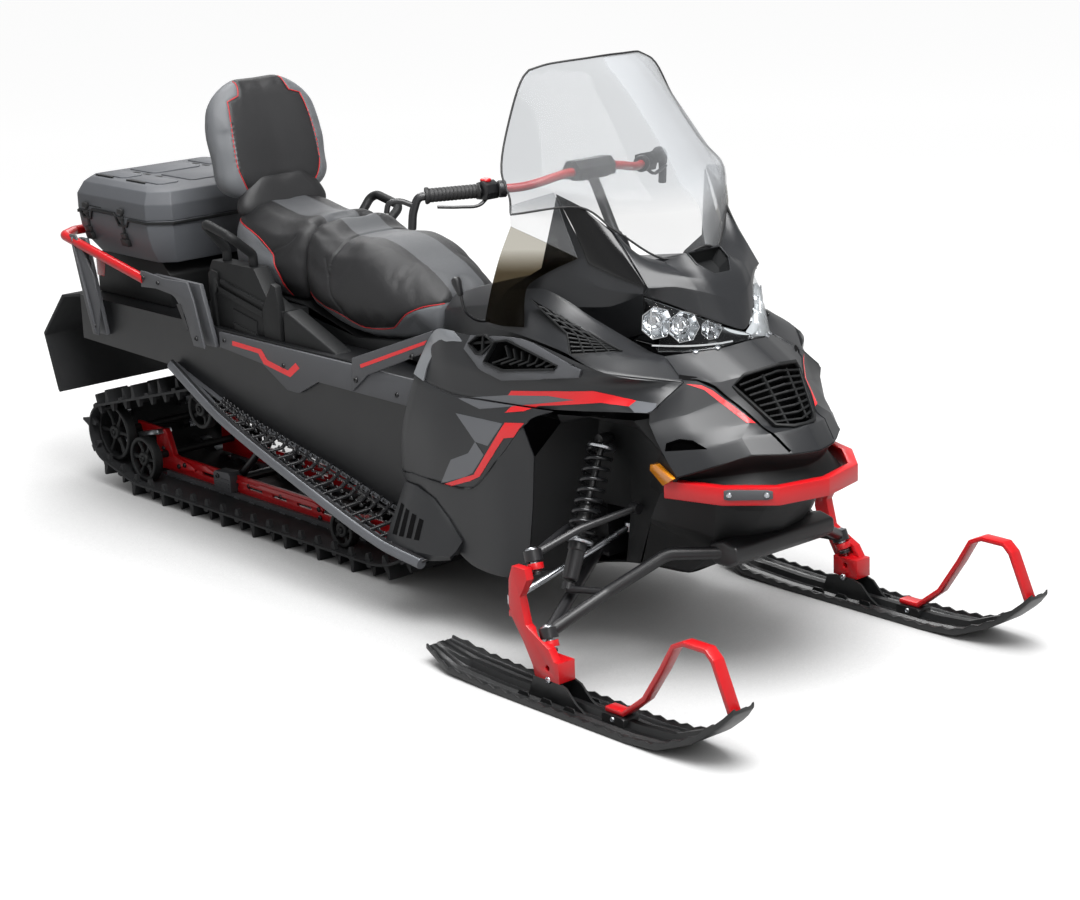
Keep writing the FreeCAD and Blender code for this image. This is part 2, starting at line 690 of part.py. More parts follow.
HOOD_LOW_X = 1018.0
HOOD_LOW_Z = 525.0
HOOD_LOW = V(HOOD_LOW_X, 0, HOOD_LOW_Z)
HOOD_SIZE_X = 375.0
HOOD_SIZE_Y = 320.0
HOOD_SIZE_Z = 290.0
HOOD_SIZE = V(HOOD_SIZE_X, HOOD_SIZE_Y, HOOD_SIZE_Z)
HOOD_SHARES = (
    ((1.0, 0.0, 0.16), (0.952, 0.22, 0.165), (0.808, 0.47, 0.18), (0.65, 0.67, 0.093),
     (0.472, 0.84, 0.0)),
    ((0.91, 0.0, 0.335), (0.845, 0.235, 0.32), (0.725, 0.47, 0.30), (0.57, 0.695, 0.217),
     (0.40, 0.865, 0.14)),
    ((0.82, 0.0, 0.40), (0.773, 0.203, 0.345), (0.70, 0.36, 0.39), (0.50, 0.69, 0.335),
     (0.345, 0.89, 0.28)),
    ((0.71, 0.0, 0.66), (0.65, 0.22, 0.62), (0.56, 0.39, 0.575), (0.42, 0.67, 0.465),
     (0.30, 0.91, 0.42)),
    ((0.655, 0.0, 0.78), (0.60, 0.23, 0.74), (0.51, 0.42, 0.70), (0.376, 0.625, 0.71),
     (0.31, 0.906, 0.503)),
    ((0.43, 0.0, 0.95), (0.36, 0.25, 0.91), (0.25, 0.42, 0.89), (0.12, 0.53, 0.86),
     (0.376, 0.625, 0.7105)))

HOOD_NOTCHES = ((4, 0), (4, 7))

NOSE_LOW_X = 1000.0
NOSE_LOW_Z = 249.0
NOSE_LOW = V(NOSE_LOW_X, 0, NOSE_LOW_Z)
NOSE_SIZE_X = 385.0
NOSE_SIZE_Y = 252.0
NOSE_SIZE_Z = 237.0
NOSE_SIZE = V(NOSE_SIZE_X, NOSE_SIZE_Y, NOSE_SIZE_Z)
NOSE_SHARES = (
    ((0.364, 0.0, 0.055), (0.338, 0.32, 0.038), (0.286, 0.60, 0.0), (0.0, 0.80, 0.055)),
    ((0.60, 0.0, 0.211), (0.584, 0.32, 0.236), (0.52, 0.60, 0.29), (0.156, 0.90, 0.55)),
    ((0.68, 0.0, 0.405), (0.65, 0.36, 0.426), (0.558, 0.675, 0.49), (0.22, 1.0, 0.637)),
    ((0.83, 0.0, 0.72), (0.78, 0.36, 0.743), (0.623, 0.754, 0.806), (0.286, 0.952, 0.93)),
    ((1.0, 0.0, 0.966), (0.935, 0.476, 0.975), (0.68, 0.794, 0.983), (0.364, 0.937, 1.0)))


def bodywork():
    seam = SEAT / 2
    save_both("side_panels", skin(inset_grid(placed(SIDE_PANEL_SHARES, SIDE_LOW, SIDE_SIZE), seam),
                                 PANEL_WALL))
    save_both("lower_sides", skin(inset_grid(placed(LOWER_SIDE_SHARES, SIDE_LOW, SIDE_SIZE), seam),
                                 PANEL_WALL))
    save_both("shoulder_panels", skin(inset_grid(placed(SHOULDER_SHARES, SHOULDER_LOW,
                                                       SHOULDER_SIZE), seam), PANEL_WALL))
    save_both("vent_panels", skin(inset_grid(placed(VENT_SHARES, VENT_LOW, VENT_SIZE), SEAT),
                                 PANEL_WALL))
    hood = both_halves(placed(HOOD_SHARES, HOOD_LOW, HOOD_SIZE))
    save("hood", skin(inset_grid(hood, seam), PANEL_WALL, inward, HOOD_NOTCHES))
    nose = both_halves(placed(NOSE_SHARES, NOSE_LOW, NOSE_SIZE))
    save("lower_nose", skin(inset_grid(nose, seam), PANEL_WALL))


COWL_LOW_X = 657.0
COWL_LOW_Z = 825.0
COWL_LOW = V(COWL_LOW_X, 0, COWL_LOW_Z)
COWL_SIZE_X = 508.0
COWL_SIZE_Y = 300.0
COWL_SIZE_Z = 316.0
COWL_SIZE = V(COWL_SIZE_X, COWL_SIZE_Y, COWL_SIZE_Z)
COWL_SHARES = (
    ((0.988, 0.0, 0.022), (0.97, 0.133, 0.022), (0.94, 0.267, 0.019), (0.90, 0.35, 0.013),
     (0.866, 0.40, 0.0)),
    ((1.0, 0.0, 0.237), (0.98, 0.167, 0.222), (0.93, 0.30, 0.19), (0.845, 0.433, 0.15),
     (0.793, 0.50, 0.11)),
    ((0.97, 0.0, 0.427), (0.93, 0.20, 0.411), (0.862, 0.35, 0.364), (0.764, 0.50, 0.275),
     (0.655, 0.627, 0.20)),
    ((0.793, 0.0, 0.57), (0.744, 0.233, 0.554), (0.655, 0.40, 0.522), (0.577, 0.60, 0.396),
     (0.537, 0.697, 0.003)),
    ((0.577, 0.0, 0.617), (0.528, 0.30, 0.633), (0.478, 0.55, 0.585), (0.439, 0.767, 0.503),
     (0.37, 0.805, 0.148)),
    ((0.36, 0.0, 0.554), (0.34, 0.367, 0.649), (0.281, 0.667, 0.79), (0.213, 0.817, 1.0),
     (0.205, 0.885, 0.2815)),
    ((0.232, 0.0, 0.506), (0.222, 0.40, 0.506), (0.173, 0.667, 0.443), (0.085, 0.85, 0.364),
     (0.0, 0.998, 0.241)))

LAMP_DEPTH = 45.0
LAMP_LOW_X = 930.0
LAMP_LOW_Z = 774.0
LAMP_LOW = V(LAMP_LOW_X, 0, LAMP_LOW_Z)
LAMP_SIZE_X = 255.0
LAMP_SIZE_Y = 210.0
LAMP_SIZE_Z = 114.0
LAMP_SIZE = V(LAMP_SIZE_X, LAMP_SIZE_Y, LAMP_SIZE_Z)
LAMP_BULGE_SHARES = (
    (1.0, 0.0, 0.38), (0.97, 0.19, 0.37), (0.92, 0.395, 0.345), (0.85, 0.53, 0.33),
    (0.765, 0.67, 0.32), (0.59, 0.82, 0.47), (0.24, 0.90, 0.60))
LAMP_SEAM = 0.5

MOUTH_LOW_X = 1140.0
MOUTH_LOW_Z = 478.0
MOUTH_LOW = V(MOUTH_LOW_X, 0, MOUTH_LOW_Z)
MOUTH_SIZE_X = 253.0
MOUTH_SIZE_Y = 269.0
MOUTH_SIZE_Z = 99.0
MOUTH_SIZE = V(MOUTH_SIZE_X, MOUTH_SIZE_Y, MOUTH_SIZE_Z)
MOUTH_SHARES = (
    ((0.968, 0.0, 0.0), (0.919, 0.223, 0.01), (0.87, 0.446, 0.02), (0.482, 0.7435, 0.04),
     (0.0, 0.877, 0.081)),
    ((0.83, 0.0, 0.475), (0.771, 0.223, 0.475), (0.632, 0.465, 0.475), (0.375, 0.706, 0.374),
     (0.08, 0.862, 0.293)),
    ((1.0, 0.0, 0.93), (0.929, 0.26, 0.95), (0.715, 0.558, 0.99), (0.482, 0.796, 0.74),
     (0.217, 1.0, 0.465)))

PAN_LOW_X = 548.0
PAN_LOW_Z = 180.0
PAN_LOW = V(PAN_LOW_X, 0, PAN_LOW_Z)
PAN_SIZE_X = 592.0
PAN_SIZE_Y = 345.0
PAN_SIZE_Z = 82.0
PAN_SIZE = V(PAN_SIZE_X, PAN_SIZE_Y, PAN_SIZE_Z)
PAN_SHARES = (
    ((0.0, 0.0, 0.07), (0.0, 0.319, 0.07), (0.0, 0.652, 0.10), (0.0, 0.986, 0.134)),
    ((0.223, 0.0, 0.0), (0.223, 0.319, 0.01), (0.223, 0.667, 0.05), (0.216, 1.0, 0.10)),
    ((0.36, 0.0, 0.12), (0.355, 0.319, 0.13), (0.34, 0.638, 0.19), (0.318, 0.971, 0.28)),
    ((0.49, 0.0, 0.28), (0.485, 0.174, 0.29), (0.465, 0.36, 0.34), (0.427, 0.583, 0.43)),
    ((0.70, 0.0, 0.55), (0.68, 0.174, 0.56), (0.65, 0.377, 0.63), (0.61, 0.56, 0.73)),
    ((1.0, 0.0, 0.98), (0.981, 0.232, 0.92), (0.948, 0.436, 0.81), (0.764, 0.583, 0.98)))

FENDER_LOW_X = 737.0
FENDER_LOW_Y = 185.0
FENDER_LOW_Z = 204.0
FENDER_LOW = V(FENDER_LOW_X, FENDER_LOW_Y, FENDER_LOW_Z)
FENDER_SIZE_X = 458.0
FENDER_SIZE_Y = 161.0
FENDER_SIZE_Z = 467.0
FENDER_SIZE = V(FENDER_SIZE_X, FENDER_SIZE_Y, FENDER_SIZE_Z)
FENDER_SHARES = (
    ((0.0, 0.93, 0.0), (0.14, 0.10, 0.024), (0.44, 0.066, 0.091), (0.56, 0.096, 0.118)),
    ((0.07, 0.97, 0.375), (0.18, 0.05, 0.377), (0.46, 0.0, 0.377), (0.69, 0.20, 0.377)),
    ((0.11, 1.0, 0.666), (0.225, 0.06, 0.634), (0.465, 0.0, 0.61), (0.80, 0.29, 0.56)),
    ((0.22, 0.73, 0.85), (0.29, 0.12, 0.86), (0.57, 0.12, 0.84), (0.88, 0.45, 0.78)),
    ((0.27, 0.93, 0.915), (0.46, 0.84, 0.93), (0.75, 0.66, 0.945), (0.83, 0.57, 0.965)))
FENDER_WINDOW = ((0, 1),)

SCREEN_AIM_X = 600.0
SCREEN_AIM_Z = 1000.0
SCREEN_AIM = V(SCREEN_AIM_X, 0, SCREEN_AIM_Z)
SCREEN_LOW_X = 640.0
SCREEN_LOW_Z = 1088.0
SCREEN_LOW = V(SCREEN_LOW_X, 0, SCREEN_LOW_Z)
SCREEN_SIZE_X = 370.0
SCREEN_SIZE_Y = 357.0
SCREEN_SIZE_Z = 350.0
SCREEN_SIZE = V(SCREEN_SIZE_X, SCREEN_SIZE_Y, SCREEN_SIZE_Z)
SCREEN_WALL = 4.0
SCREEN_SEAT = 4.0
SCREEN_SHARES = (
    ((1.0, 0.0, 0.0), (0.932, 0.252, 0.02), (0.784, 0.504, 0.034), (0.54, 0.756, 0.05),
     (0.292, 1.0, 0.057)),
    ((0.797, 0.0, 0.263), (0.735, 0.28, 0.269), (0.595, 0.546, 0.269), (0.365, 0.77, 0.263),
     (0.135, 0.924, 0.263)),
    ((0.527, 0.0, 0.606), (0.473, 0.238, 0.608), (0.365, 0.462, 0.611), (0.203, 0.63, 0.614),
     (0.04, 0.756, 0.617)),
    ((0.284, 0.0, 0.891), (0.257, 0.196, 0.894), (0.189, 0.35, 0.897), (0.095, 0.476, 0.897),
     (0.014, 0.594, 0.891)),
    ((0.195, 0.0, 1.0), (0.173, 0.168, 0.994), (0.122, 0.308, 0.983), (0.06, 0.42, 0.966),
     (0.0, 0.53, 0.934)))

DEFLECTOR_LOW_X = 625.0
DEFLECTOR_LOW_Y = 230.0
DEFLECTOR_LOW_Z = 835.0
DEFLECTOR_LOW = V(DEFLECTOR_LOW_X, DEFLECTOR_LOW_Y, DEFLECTOR_LOW_Z)
DEFLECTOR_SIZE_X = 255.0
DEFLECTOR_SIZE_Y = 142.0
DEFLECTOR_SIZE_Z = 265.0
DEFLECTOR_SIZE = V(DEFLECTOR_SIZE_X, DEFLECTOR_SIZE_Y, DEFLECTOR_SIZE_Z)
DEFLECTOR_SHARES = (
    ((0.459, 0.944, 0.992), (0.718, 0.514, 0.758), (0.961, 0.054, 0.528)),
    ((0.294, 0.951, 0.66), (0.647, 0.577, 0.49), (0.929, 0.086, 0.34)),
    ((0.118, 0.901, 0.302), (0.47, 0.704, 0.208), (0.824, 0.268, 0.189)),
    ((0.0, 0.803, 0.0), (0.294, 0.732, 0.011), (0.588, 0.62, 0.094)))


def toward_screen_aim(point):
    return SCREEN_AIM.sub(point).normalize()


def sideways_in(point):
    return V(0, -math.copysign(1, point.y), 0)


def windscreen(cowl_half):
    """A bubble screen whose foot follows the cowl's crest."""
    middle = cowl_half[3][2].add(cowl_half[4][3]).multiply(1 / 2)
    foot = [cowl_half[3][0], cowl_half[3][1], cowl_half[3][2], middle, cowl_half[4][3]]
    foot = [p.add(V(0, 0, SCREEN_SEAT)) for p in foot]
    rows = [foot] + placed(SCREEN_SHARES, SCREEN_LOW, SCREEN_SIZE)
    return skin(both_halves(rows), SCREEN_WALL, toward_screen_aim)


def headlamp(cowl_half, hood_half, vent):
    """One lens: its brow follows the cowl, its foot follows the hood and the vent panel."""
    brow = cowl_half[0] + [cowl_half[1][-1], cowl_half[2][-1]]
    bulge = placed((LAMP_BULGE_SHARES,), LAMP_LOW, LAMP_SIZE)[0]
    rear = hood_half[-1]
    between = [rear[0].add(rear[1]).multiply(1 / 2), rear[1].add(rear[2]).multiply(1 / 2)]
    foot = [rear[0], between[0], rear[1], between[1], rear[2], rear[3], vent[-1][-2]]
    rows = inset_grid([brow, bulge, foot], LAMP_SEAM)
    return skin(rows, LAMP_DEPTH)


def front_covers():
    seam = SEAT / 2
    cowl_half = placed(COWL_SHARES, COWL_LOW, COWL_SIZE)
    save("cowl", skin(inset_grid(both_halves(cowl_half), seam), PANEL_WALL))
    save("windscreen", windscreen(cowl_half))
    save_both("headlamps", headlamp(cowl_half, placed(HOOD_SHARES, HOOD_LOW, HOOD_SIZE),
                                    placed(VENT_SHARES, VENT_LOW, VENT_SIZE)))
    mouth = both_halves(placed(MOUTH_SHARES, MOUTH_LOW, MOUTH_SIZE))
    save("front_mesh", skin(inset_grid(mouth, seam), PANEL_WALL))
    pan = both_halves(placed(PAN_SHARES, PAN_LOW, PAN_SIZE))
    save("belly_pan", skin(inset_grid(pan, seam), PANEL_WALL))
    fender = placed(FENDER_SHARES, FENDER_LOW, FENDER_SIZE)
    save_both("inner_fenders", skin(inset_grid(fender, seam), PANEL_WALL, inward, FENDER_WINDOW))
    deflector = placed(DEFLECTOR_SHARES, DEFLECTOR_LOW, DEFLECTOR_SIZE)
    save_both("deflectors", skin(deflector, SHEET, sideways_in))


BUMPER_Z = 466.0
BUMPER_HEIGHT = 44.0
BUMPER_DEPTH = 24.0
BUMPER_REAR_X = 1150.0
BUMPER_LENGTH = 272.0
BUMPER_HALF_WIDTH = 268.0
BUMPER_ARM_SHARE = 0.4
BUMPER_SHARES = ((1.0, 0.0), (0.885, 0.50), (0.53, 0.83), (0.0, 1.0))


def front_bumper():
    """A flat bar bent to a shallow V in front, with both arms running back."""
    right = [(BUMPER_REAR_X + BUMPER_LENGTH * u, -BUMPER_HALF_WIDTH * v) for u, v in BUMPER_SHARES]
    outer = right[::-1] + [(x, -y) for x, y in right[1:]]
    grow = 1 - BUMPER_ARM_SHARE
    inner = [(x - BUMPER_DEPTH * (BUMPER_ARM_SHARE + grow * (x - BUMPER_REAR_X) / BUMPER_LENGTH),
              y * (1 - BUMPER_DEPTH / BUMPER_HALF_WIDTH)) for x, y in reversed(outer)]
    return plate_z(outer + inner, BUMPER_Z, BUMPER_Z + BUMPER_HEIGHT)


FRAME_REAR_X = 760.0
FRAME_LENGTH = 400.0
FRAME_LOW_Z = 236.0
FRAME_HEIGHT = 400.0
FRAME_HALF_WIDTH = 168.0
FRAME_SHARES = ((0.0, 0.0), (0.22, 0.0), (0.22, 0.46), (0.60, 0.46), (0.60, 0.10),
                (0.85, 0.14), (1.0, 0.30), (0.97, 0.68), (0.62, 1.0), (0.0, 1.0))
ENGINE_REAR_X = TUNNEL_FRONT_X + SEAT
ENGINE_LENGTH = 200.0
ENGINE_HALF_WIDTH = 180.0
ENGINE_LOW_Z = 197.0
ENGINE_HEIGHT = 360.0


def front_frame():
    """The bulkhead that carries the front suspension, with a channel for the tie rods."""
    points = [(FRAME_REAR_X + FRAME_LENGTH * u, FRAME_LOW_Z + FRAME_HEIGHT * w)
              for u, w in FRAME_SHARES]
    return plate_y(points, -FRAME_HALF_WIDTH, FRAME_HALF_WIDTH)


def engine():
    return block(ENGINE_REAR_X, ENGINE_REAR_X + ENGINE_LENGTH, -ENGINE_HALF_WIDTH, ENGINE_HALF_WIDTH,
                 ENGINE_LOW_Z, ENGINE_LOW_Z + ENGINE_HEIGHT)


# Front suspension, right-hand side

STEER_TOP = V(STEER_TOP_X, -STEER_TOP_Y, STEER_TOP_Z)
STEER_LOW = V(STEER_LOW_X, -STEER_LOW_Y, STEER_LOW_Z)
EYE_R = 22.0
EYE_HEIGHT = 26.0
EAR_R = 20.0
EAR_HEIGHT = 15.0
STUD_R = 7.0
STUD_CLEARANCE = 0.4
EAR_GAP = 5.5
UPPER_TUBE_R = 9.0
LOWER_TUBE_R = 15.0
UPPER_FRONT_FOOT_X = 1006.0
UPPER_FRONT_FOOT_Y = 222.7
UPPER_FRONT_FOOT_Z = 404.0
UPPER_FRONT_FOOT = V(UPPER_FRONT_FOOT_X, -UPPER_FRONT_FOOT_Y, UPPER_FRONT_FOOT_Z)
UPPER_PIVOT_R = 13.0
UPPER_PIVOT_REACH = 12.0
UPPER_REAR_FOOT_X = 833.0
UPPER_REAR_FOOT_Z = 352.0
UPPER_REAR_FOOT = V(UPPER_REAR_FOOT_X, -FRAME_HALF_WIDTH - UPPER_PIVOT_R - SEAT, UPPER_REAR_FOOT_Z)
UPPER_KNEE_SHARE = 0.55
UPPER_KNEE_RISE = 12.0
LOWER_FRONT_FOOT_X = 1242.0
LOWER_FRONT_FOOT_Y = 150.0
LOWER_FRONT_FOOT_Z = 326.5
LOWER_FRONT_FOOT = V(LOWER_FRONT_FOOT_X, -LOWER_FRONT_FOOT_Y, LOWER_FRONT_FOOT_Z)
LOWER_FRONT_KNEE_X = 1125.0
LOWER_FRONT_KNEE_Y = 235.0
LOWER_FRONT_KNEE_Z = 318.0
LOWER_FRONT_KNEE = V(LOWER_FRONT_KNEE_X, -LOWER_FRONT_KNEE_Y, LOWER_FRONT_KNEE_Z)
LOWER_FRONT_BEND_X = 1050.0
LOWER_FRONT_BEND_Y = 360.0
LOWER_FRONT_BEND_Z = 238.0
LOWER_FRONT_BEND = V(LOWER_FRONT_BEND_X, -LOWER_FRONT_BEND_Y, LOWER_FRONT_BEND_Z)
LOWER_PIVOT_R = 16.0
LOWER_PIVOT_REACH = 22.0
LOWER_REAR_FOOT_X = 838.0
LOWER_REAR_FOOT_Z = 268.0
LOWER_REAR_FOOT = V(LOWER_REAR_FOOT_X, -FRAME_HALF_WIDTH - LOWER_PIVOT_R - SEAT, LOWER_REAR_FOOT_Z)
SHOCK_TOP_X = 903.0
SHOCK_TOP_Y = 226.0
SHOCK_TOP_Z = 556.0
SHOCK_TOP = V(SHOCK_TOP_X, -SHOCK_TOP_Y, SHOCK_TOP_Z)
SHOCK_FOOT_X = 949.0
SHOCK_FOOT_Y = 392.0
SHOCK_FOOT_Z = 246.0
SHOCK_FOOT = V(SHOCK_FOOT_X, -SHOCK_FOOT_Y, SHOCK_FOOT_Z)
SHOCK_R = 36.0
PERCH_HEIGHT = 16.0
SHOCK_PIN_R = 9.0
SHOCK_PIN_END_Y = -198.24
LINK_R = 9.0
UPPER_BEND = 204.0
LOWER_BEND = 64.0


def steer_direction():
    return STEER_TOP.sub(STEER_LOW).normalize()


def on_steer_axis(base, height):
    return base.add(steer_direction().multiply(height))


def ball_joint(base, reach):
    """The eye at an arm's end, with its stud pointing down through the spindle's ear."""
    axis = steer_direction()
    eye = Part.makeCylinder(EYE_R, EYE_HEIGHT, base, axis)
    stud = Part.makeCylinder(STUD_R, EYE_HEIGHT / 2 + reach, on_steer_axis(base, -reach), axis)
    nut = Part.makeCylinder(2 * STUD_R, STUD_R, on_steer_axis(base, -reach - STUD_R), axis)
    return eye.fuse(stud).fuse(nut)


def pivot(foot, radius, reach):
    """The barrel at an arm's foot, along the machine."""
    return rod(foot.sub(V(reach, 0, 0)), foot.add(V(reach, 0, 0)), radius)


def eye_centre(base):
    return on_steer_axis(base, EYE_HEIGHT / 2)


def upper_arm():
    reach = EAR_HEIGHT + 2 * EAR_GAP
    centre = eye_centre(STEER_TOP)
    shapes = [ball_joint(STEER_TOP, reach)]
    for foot in (UPPER_FRONT_FOOT, UPPER_REAR_FOOT):
        knee = foot.add(centre.sub(foot).multiply(UPPER_KNEE_SHARE)).add(V(0, 0, UPPER_KNEE_RISE))
        shapes.append(tube([foot, knee, centre], UPPER_TUBE_R, UPPER_BEND))
        shapes.append(pivot(foot, UPPER_PIVOT_R, UPPER_PIVOT_REACH))
    return joined(shapes)


def lower_arm():
    reach = EAR_HEIGHT + 2 * EAR_GAP
    centre = eye_centre(STEER_LOW)
    front = tube([LOWER_FRONT_FOOT, LOWER_FRONT_KNEE, LOWER_FRONT_BEND, centre],
                 LOWER_TUBE_R, LOWER_BEND)
    rear = rod(LOWER_REAR_FOOT, centre, LOWER_TUBE_R)
    lean = SHOCK_TOP.sub(SHOCK_FOOT).normalize()
    perch_low = SHOCK_FOOT.sub(V(lean).multiply(SEAT + PERCH_HEIGHT))
    perch = rod(perch_low, SHOCK_FOOT.sub(V(lean).multiply(SEAT)), LOWER_TUBE_R)
    link = rod(LOWER_FRONT_BEND, perch_low, LINK_R)
    feet = [pivot(foot, LOWER_PIVOT_R, LOWER_PIVOT_REACH) for foot in (LOWER_FRONT_FOOT, LOWER_REAR_FOOT)]
    return joined([ball_joint(STEER_LOW, reach), front, rear, link, perch] + feet)


# Steered pieces, right-hand side

SPINDLE_WEB = 22.0
SPINDLE_FOOT = 40.0
EAR_BITE = 0.6
SPINDLE_LOW_X = 900.0
SPINDLE_LOW_Z = 62.0
SPINDLE_LOW = V(SPINDLE_LOW_X, 0, SPINDLE_LOW_Z)
SPINDLE_SIZE_X = 170.0
SPINDLE_SIZE_Z = 255.0
SPINDLE_SIZE = V(SPINDLE_SIZE_X, 0, SPINDLE_SIZE_Z)
SPINDLE_SHARES = ((0.10, 1.0), (0.36, 1.0), (0.40, 0.90), (0.24, 0.72), (0.34, 0.46), (0.62, 0.36),
                  (0.80, 0.30), (1.0, 0.10), (0.94, 0.0), (0.50, 0.0), (0.46, 0.10),
                  (0.28, 0.30), (0.06, 0.50), (0.0, 0.62), (0.02, 0.86))
TIE_OUTER_X = 868.0
TIE_OUTER_Y = 498.0
TIE_OUTER_Z = 214.0
TIE_OUTER = V(TIE_OUTER_X, -TIE_OUTER_Y, TIE_OUTER_Z)
TIE_INNER_X = 908.0
TIE_INNER_Y = 150.0
TIE_INNER_Z = 322.0
TIE_INNER = V(TIE_INNER_X, -TIE_INNER_Y, TIE_INNER_Z)
TIE_R = 8.0
TIE_EYE_R = 14.0
TIE_EYE_HEIGHT = 22.0
TIE_STUD_R = 6.0
TIE_ARM_HEIGHT = 13.0
BOLT_R = 7.0


def spindle():
    """The forged upright: a web outside both ball joints, two ears and a forked foot."""
    outline = [(SPINDLE_LOW.x + SPINDLE_SIZE.x * u, SPINDLE_LOW.z + SPINDLE_SIZE.z * w)
               for u, w in SPINDLE_SHARES]
    web_in = -STEER_LOW_Y - EAR_R * EAR_BITE
    body = plate_y(outline, web_in - SPINDLE_WEB, web_in)
    foot_y = -STANCE / 2
    foot = block(SKI_BOLT_X - SPINDLE_FOOT, SKI_BOLT_X + SPINDLE_FOOT, web_in - SPINDLE_WEB,
                 foot_y + SPINDLE_FOOT / 2, SPINDLE_LOW.z, SKI_BOLT_Z + SPINDLE_FOOT / 2)
    shapes = [body, foot]
    axis = steer_direction()
    for base in (STEER_TOP, STEER_LOW):
        low = on_steer_axis(base, -EAR_GAP - EAR_HEIGHT)
        shapes.append(Part.makeCylinder(EAR_R, EAR_HEIGHT, low, axis))
    arm_top = TIE_OUTER.z - TIE_EYE_HEIGHT / 2 - SEAT
    arm = plate_z([(TIE_OUTER.x - TIE_EYE_R, TIE_OUTER.y + TIE_EYE_R),
                   (TIE_OUTER.x + TIE_EYE_R, TIE_OUTER.y + TIE_EYE_R),
                   (SPINDLE_LOW.x + SPINDLE_FOOT, web_in), (SPINDLE_LOW.x + SPINDLE_FOOT,
                                                            web_in - SPINDLE_WEB),
                   (SPINDLE_LOW.x, web_in - SPINDLE_WEB)], arm_top - TIE_ARM_HEIGHT, arm_top)
    shapes.append(arm)
    whole = joined(shapes)
    whole = whole.cut(Part.makeCylinder(TIE_STUD_R + STUD_CLEARANCE, 2 * TIE_EYE_HEIGHT,
                                        V(TIE_OUTER.x, TIE_OUTER.y, arm_top - TIE_EYE_HEIGHT)))
    for base in (STEER_TOP, STEER_LOW):
        low = on_steer_axis(base, -2 * EAR_HEIGHT - EYE_HEIGHT)
        bore = Part.makeCylinder(STUD_R + STUD_CLEARANCE, 2 * EYE_HEIGHT + EAR_HEIGHT, low, axis)
        whole = whole.cut(bore)
        room = Part.makeCylinder(EYE_R + EAR_GAP, EYE_HEIGHT + 2 * EAR_GAP,
                                 on_steer_axis(base, -EAR_GAP), axis)
        whole = whole.cut(room)
        room = Part.makeCylinder(2 * STUD_R + EAR_GAP, 2 * STUD_R + EAR_GAP,
                                 on_steer_axis(base, -EAR_GAP - EAR_HEIGHT - 2 * STUD_R - EAR_GAP),
                                 axis)
        whole = whole.cut(room)
    bolt = drum_y(SKI_BOLT_X, SKI_BOLT_Z, -STANCE, 0, BOLT_R + SEAT)
    return whole.cut(bolt)


SKI_TAIL_X = 597.0
SKI_LENGTH = 1037.0
SKI_HALF_WIDTH = 72.0
SKI_PLATE = 8.0
SKI_RIM = 20.0
SKI_RIM_WALL = 7.0
SKI_RISE = 138.0
SKI_SHARES = ((0.0, 0.25, 0.62), (0.10, 0.05, 0.95), (0.25, 0.0, 1.0), (0.70, 0.0, 1.0),
              (0.80, 0.06, 0.97), (0.90, 0.36, 0.82), (0.97, 0.76, 0.62), (1.0, 1.0, 0.45))
SADDLE_HALF_WIDTH = 62.0
SADDLE_WALL = 6.0


LOOP_REAR_X = 1242.0
LOOP_LENGTH = 372.0
LOOP_HEIGHT = 218.0
LOOP_BAR = 13.0
CLAMP_HEIGHT = 22.0
CLAMP_HALF_WIDTH = 24.0
CLAMP_REACH = 34.0
LOOP_LOW_Z = SKI_PLATE + CLAMP_HEIGHT + SEAT + LOOP_BAR
LOOP_WIDTH = 34.0
LOOP_SHARES = ((-0.09, 0.0), (0.06, 0.0), (0.24, 0.24), (0.40, 0.64), (0.50, 0.92), (0.60, 1.0),
               (0.79, 1.0), (0.86, 0.90))
LOOP_TOE_LIFT = 1.6


def ski_top(x):
    """Height of the ski plate's upper face at a place along it."""
    part = (x - SKI_TAIL_X) / SKI_LENGTH
    for (u0, w0, v0), (u1, w1, v1) in zip(SKI_SHARES, SKI_SHARES[1:]):
        if u0 <= part <= u1:
            return SKI_RISE * (w0 + (w1 - w0) * (part - u0) / (u1 - u0)) + SKI_PLATE
    return SKI_RISE + SKI_PLATE


def ski():
    """A moulded ski: plate, raised rims, a centre rib and the saddle that holds the spindle."""
    y0 = -STANCE / 2
    rings = []
    for u, w, v in SKI_SHARES:
        x = SKI_TAIL_X + SKI_LENGTH * u
        z = SKI_RISE * w
        half = SKI_HALF_WIDTH * v
        inner = half - SKI_RIM_WALL
        profile = ((-half, SKI_RIM), (-half, 0), (half, 0), (half, SKI_RIM), (inner, SKI_RIM),
                   (inner, SKI_PLATE), (-inner, SKI_PLATE), (-inner, SKI_RIM))
        rings.append([V(x, y0 + y, z + h) for y, h in profile])
    body = ring_loft(rings)
    for side in (-1, 1):
        low = side * (SPINDLE_FOOT / 2 + SEAT)
        high = side * (SPINDLE_FOOT / 2 + SEAT + SADDLE_WALL)
        body = body.fuse(block(SKI_BOLT_X - SADDLE_HALF_WIDTH, SKI_BOLT_X + SADDLE_HALF_WIDTH,
                               y0 + min(low, high), y0 + max(low, high), 0,
                               SPINDLE_LOW.z - SEAT))
    return body.fuse(block(LOOP_REAR_X - CLAMP_REACH, LOOP_REAR_X + CLAMP_REACH, y0 - CLAMP_HALF_WIDTH,
                           y0 + CLAMP_HALF_WIDTH, 0, SKI_PLATE + CLAMP_HEIGHT))


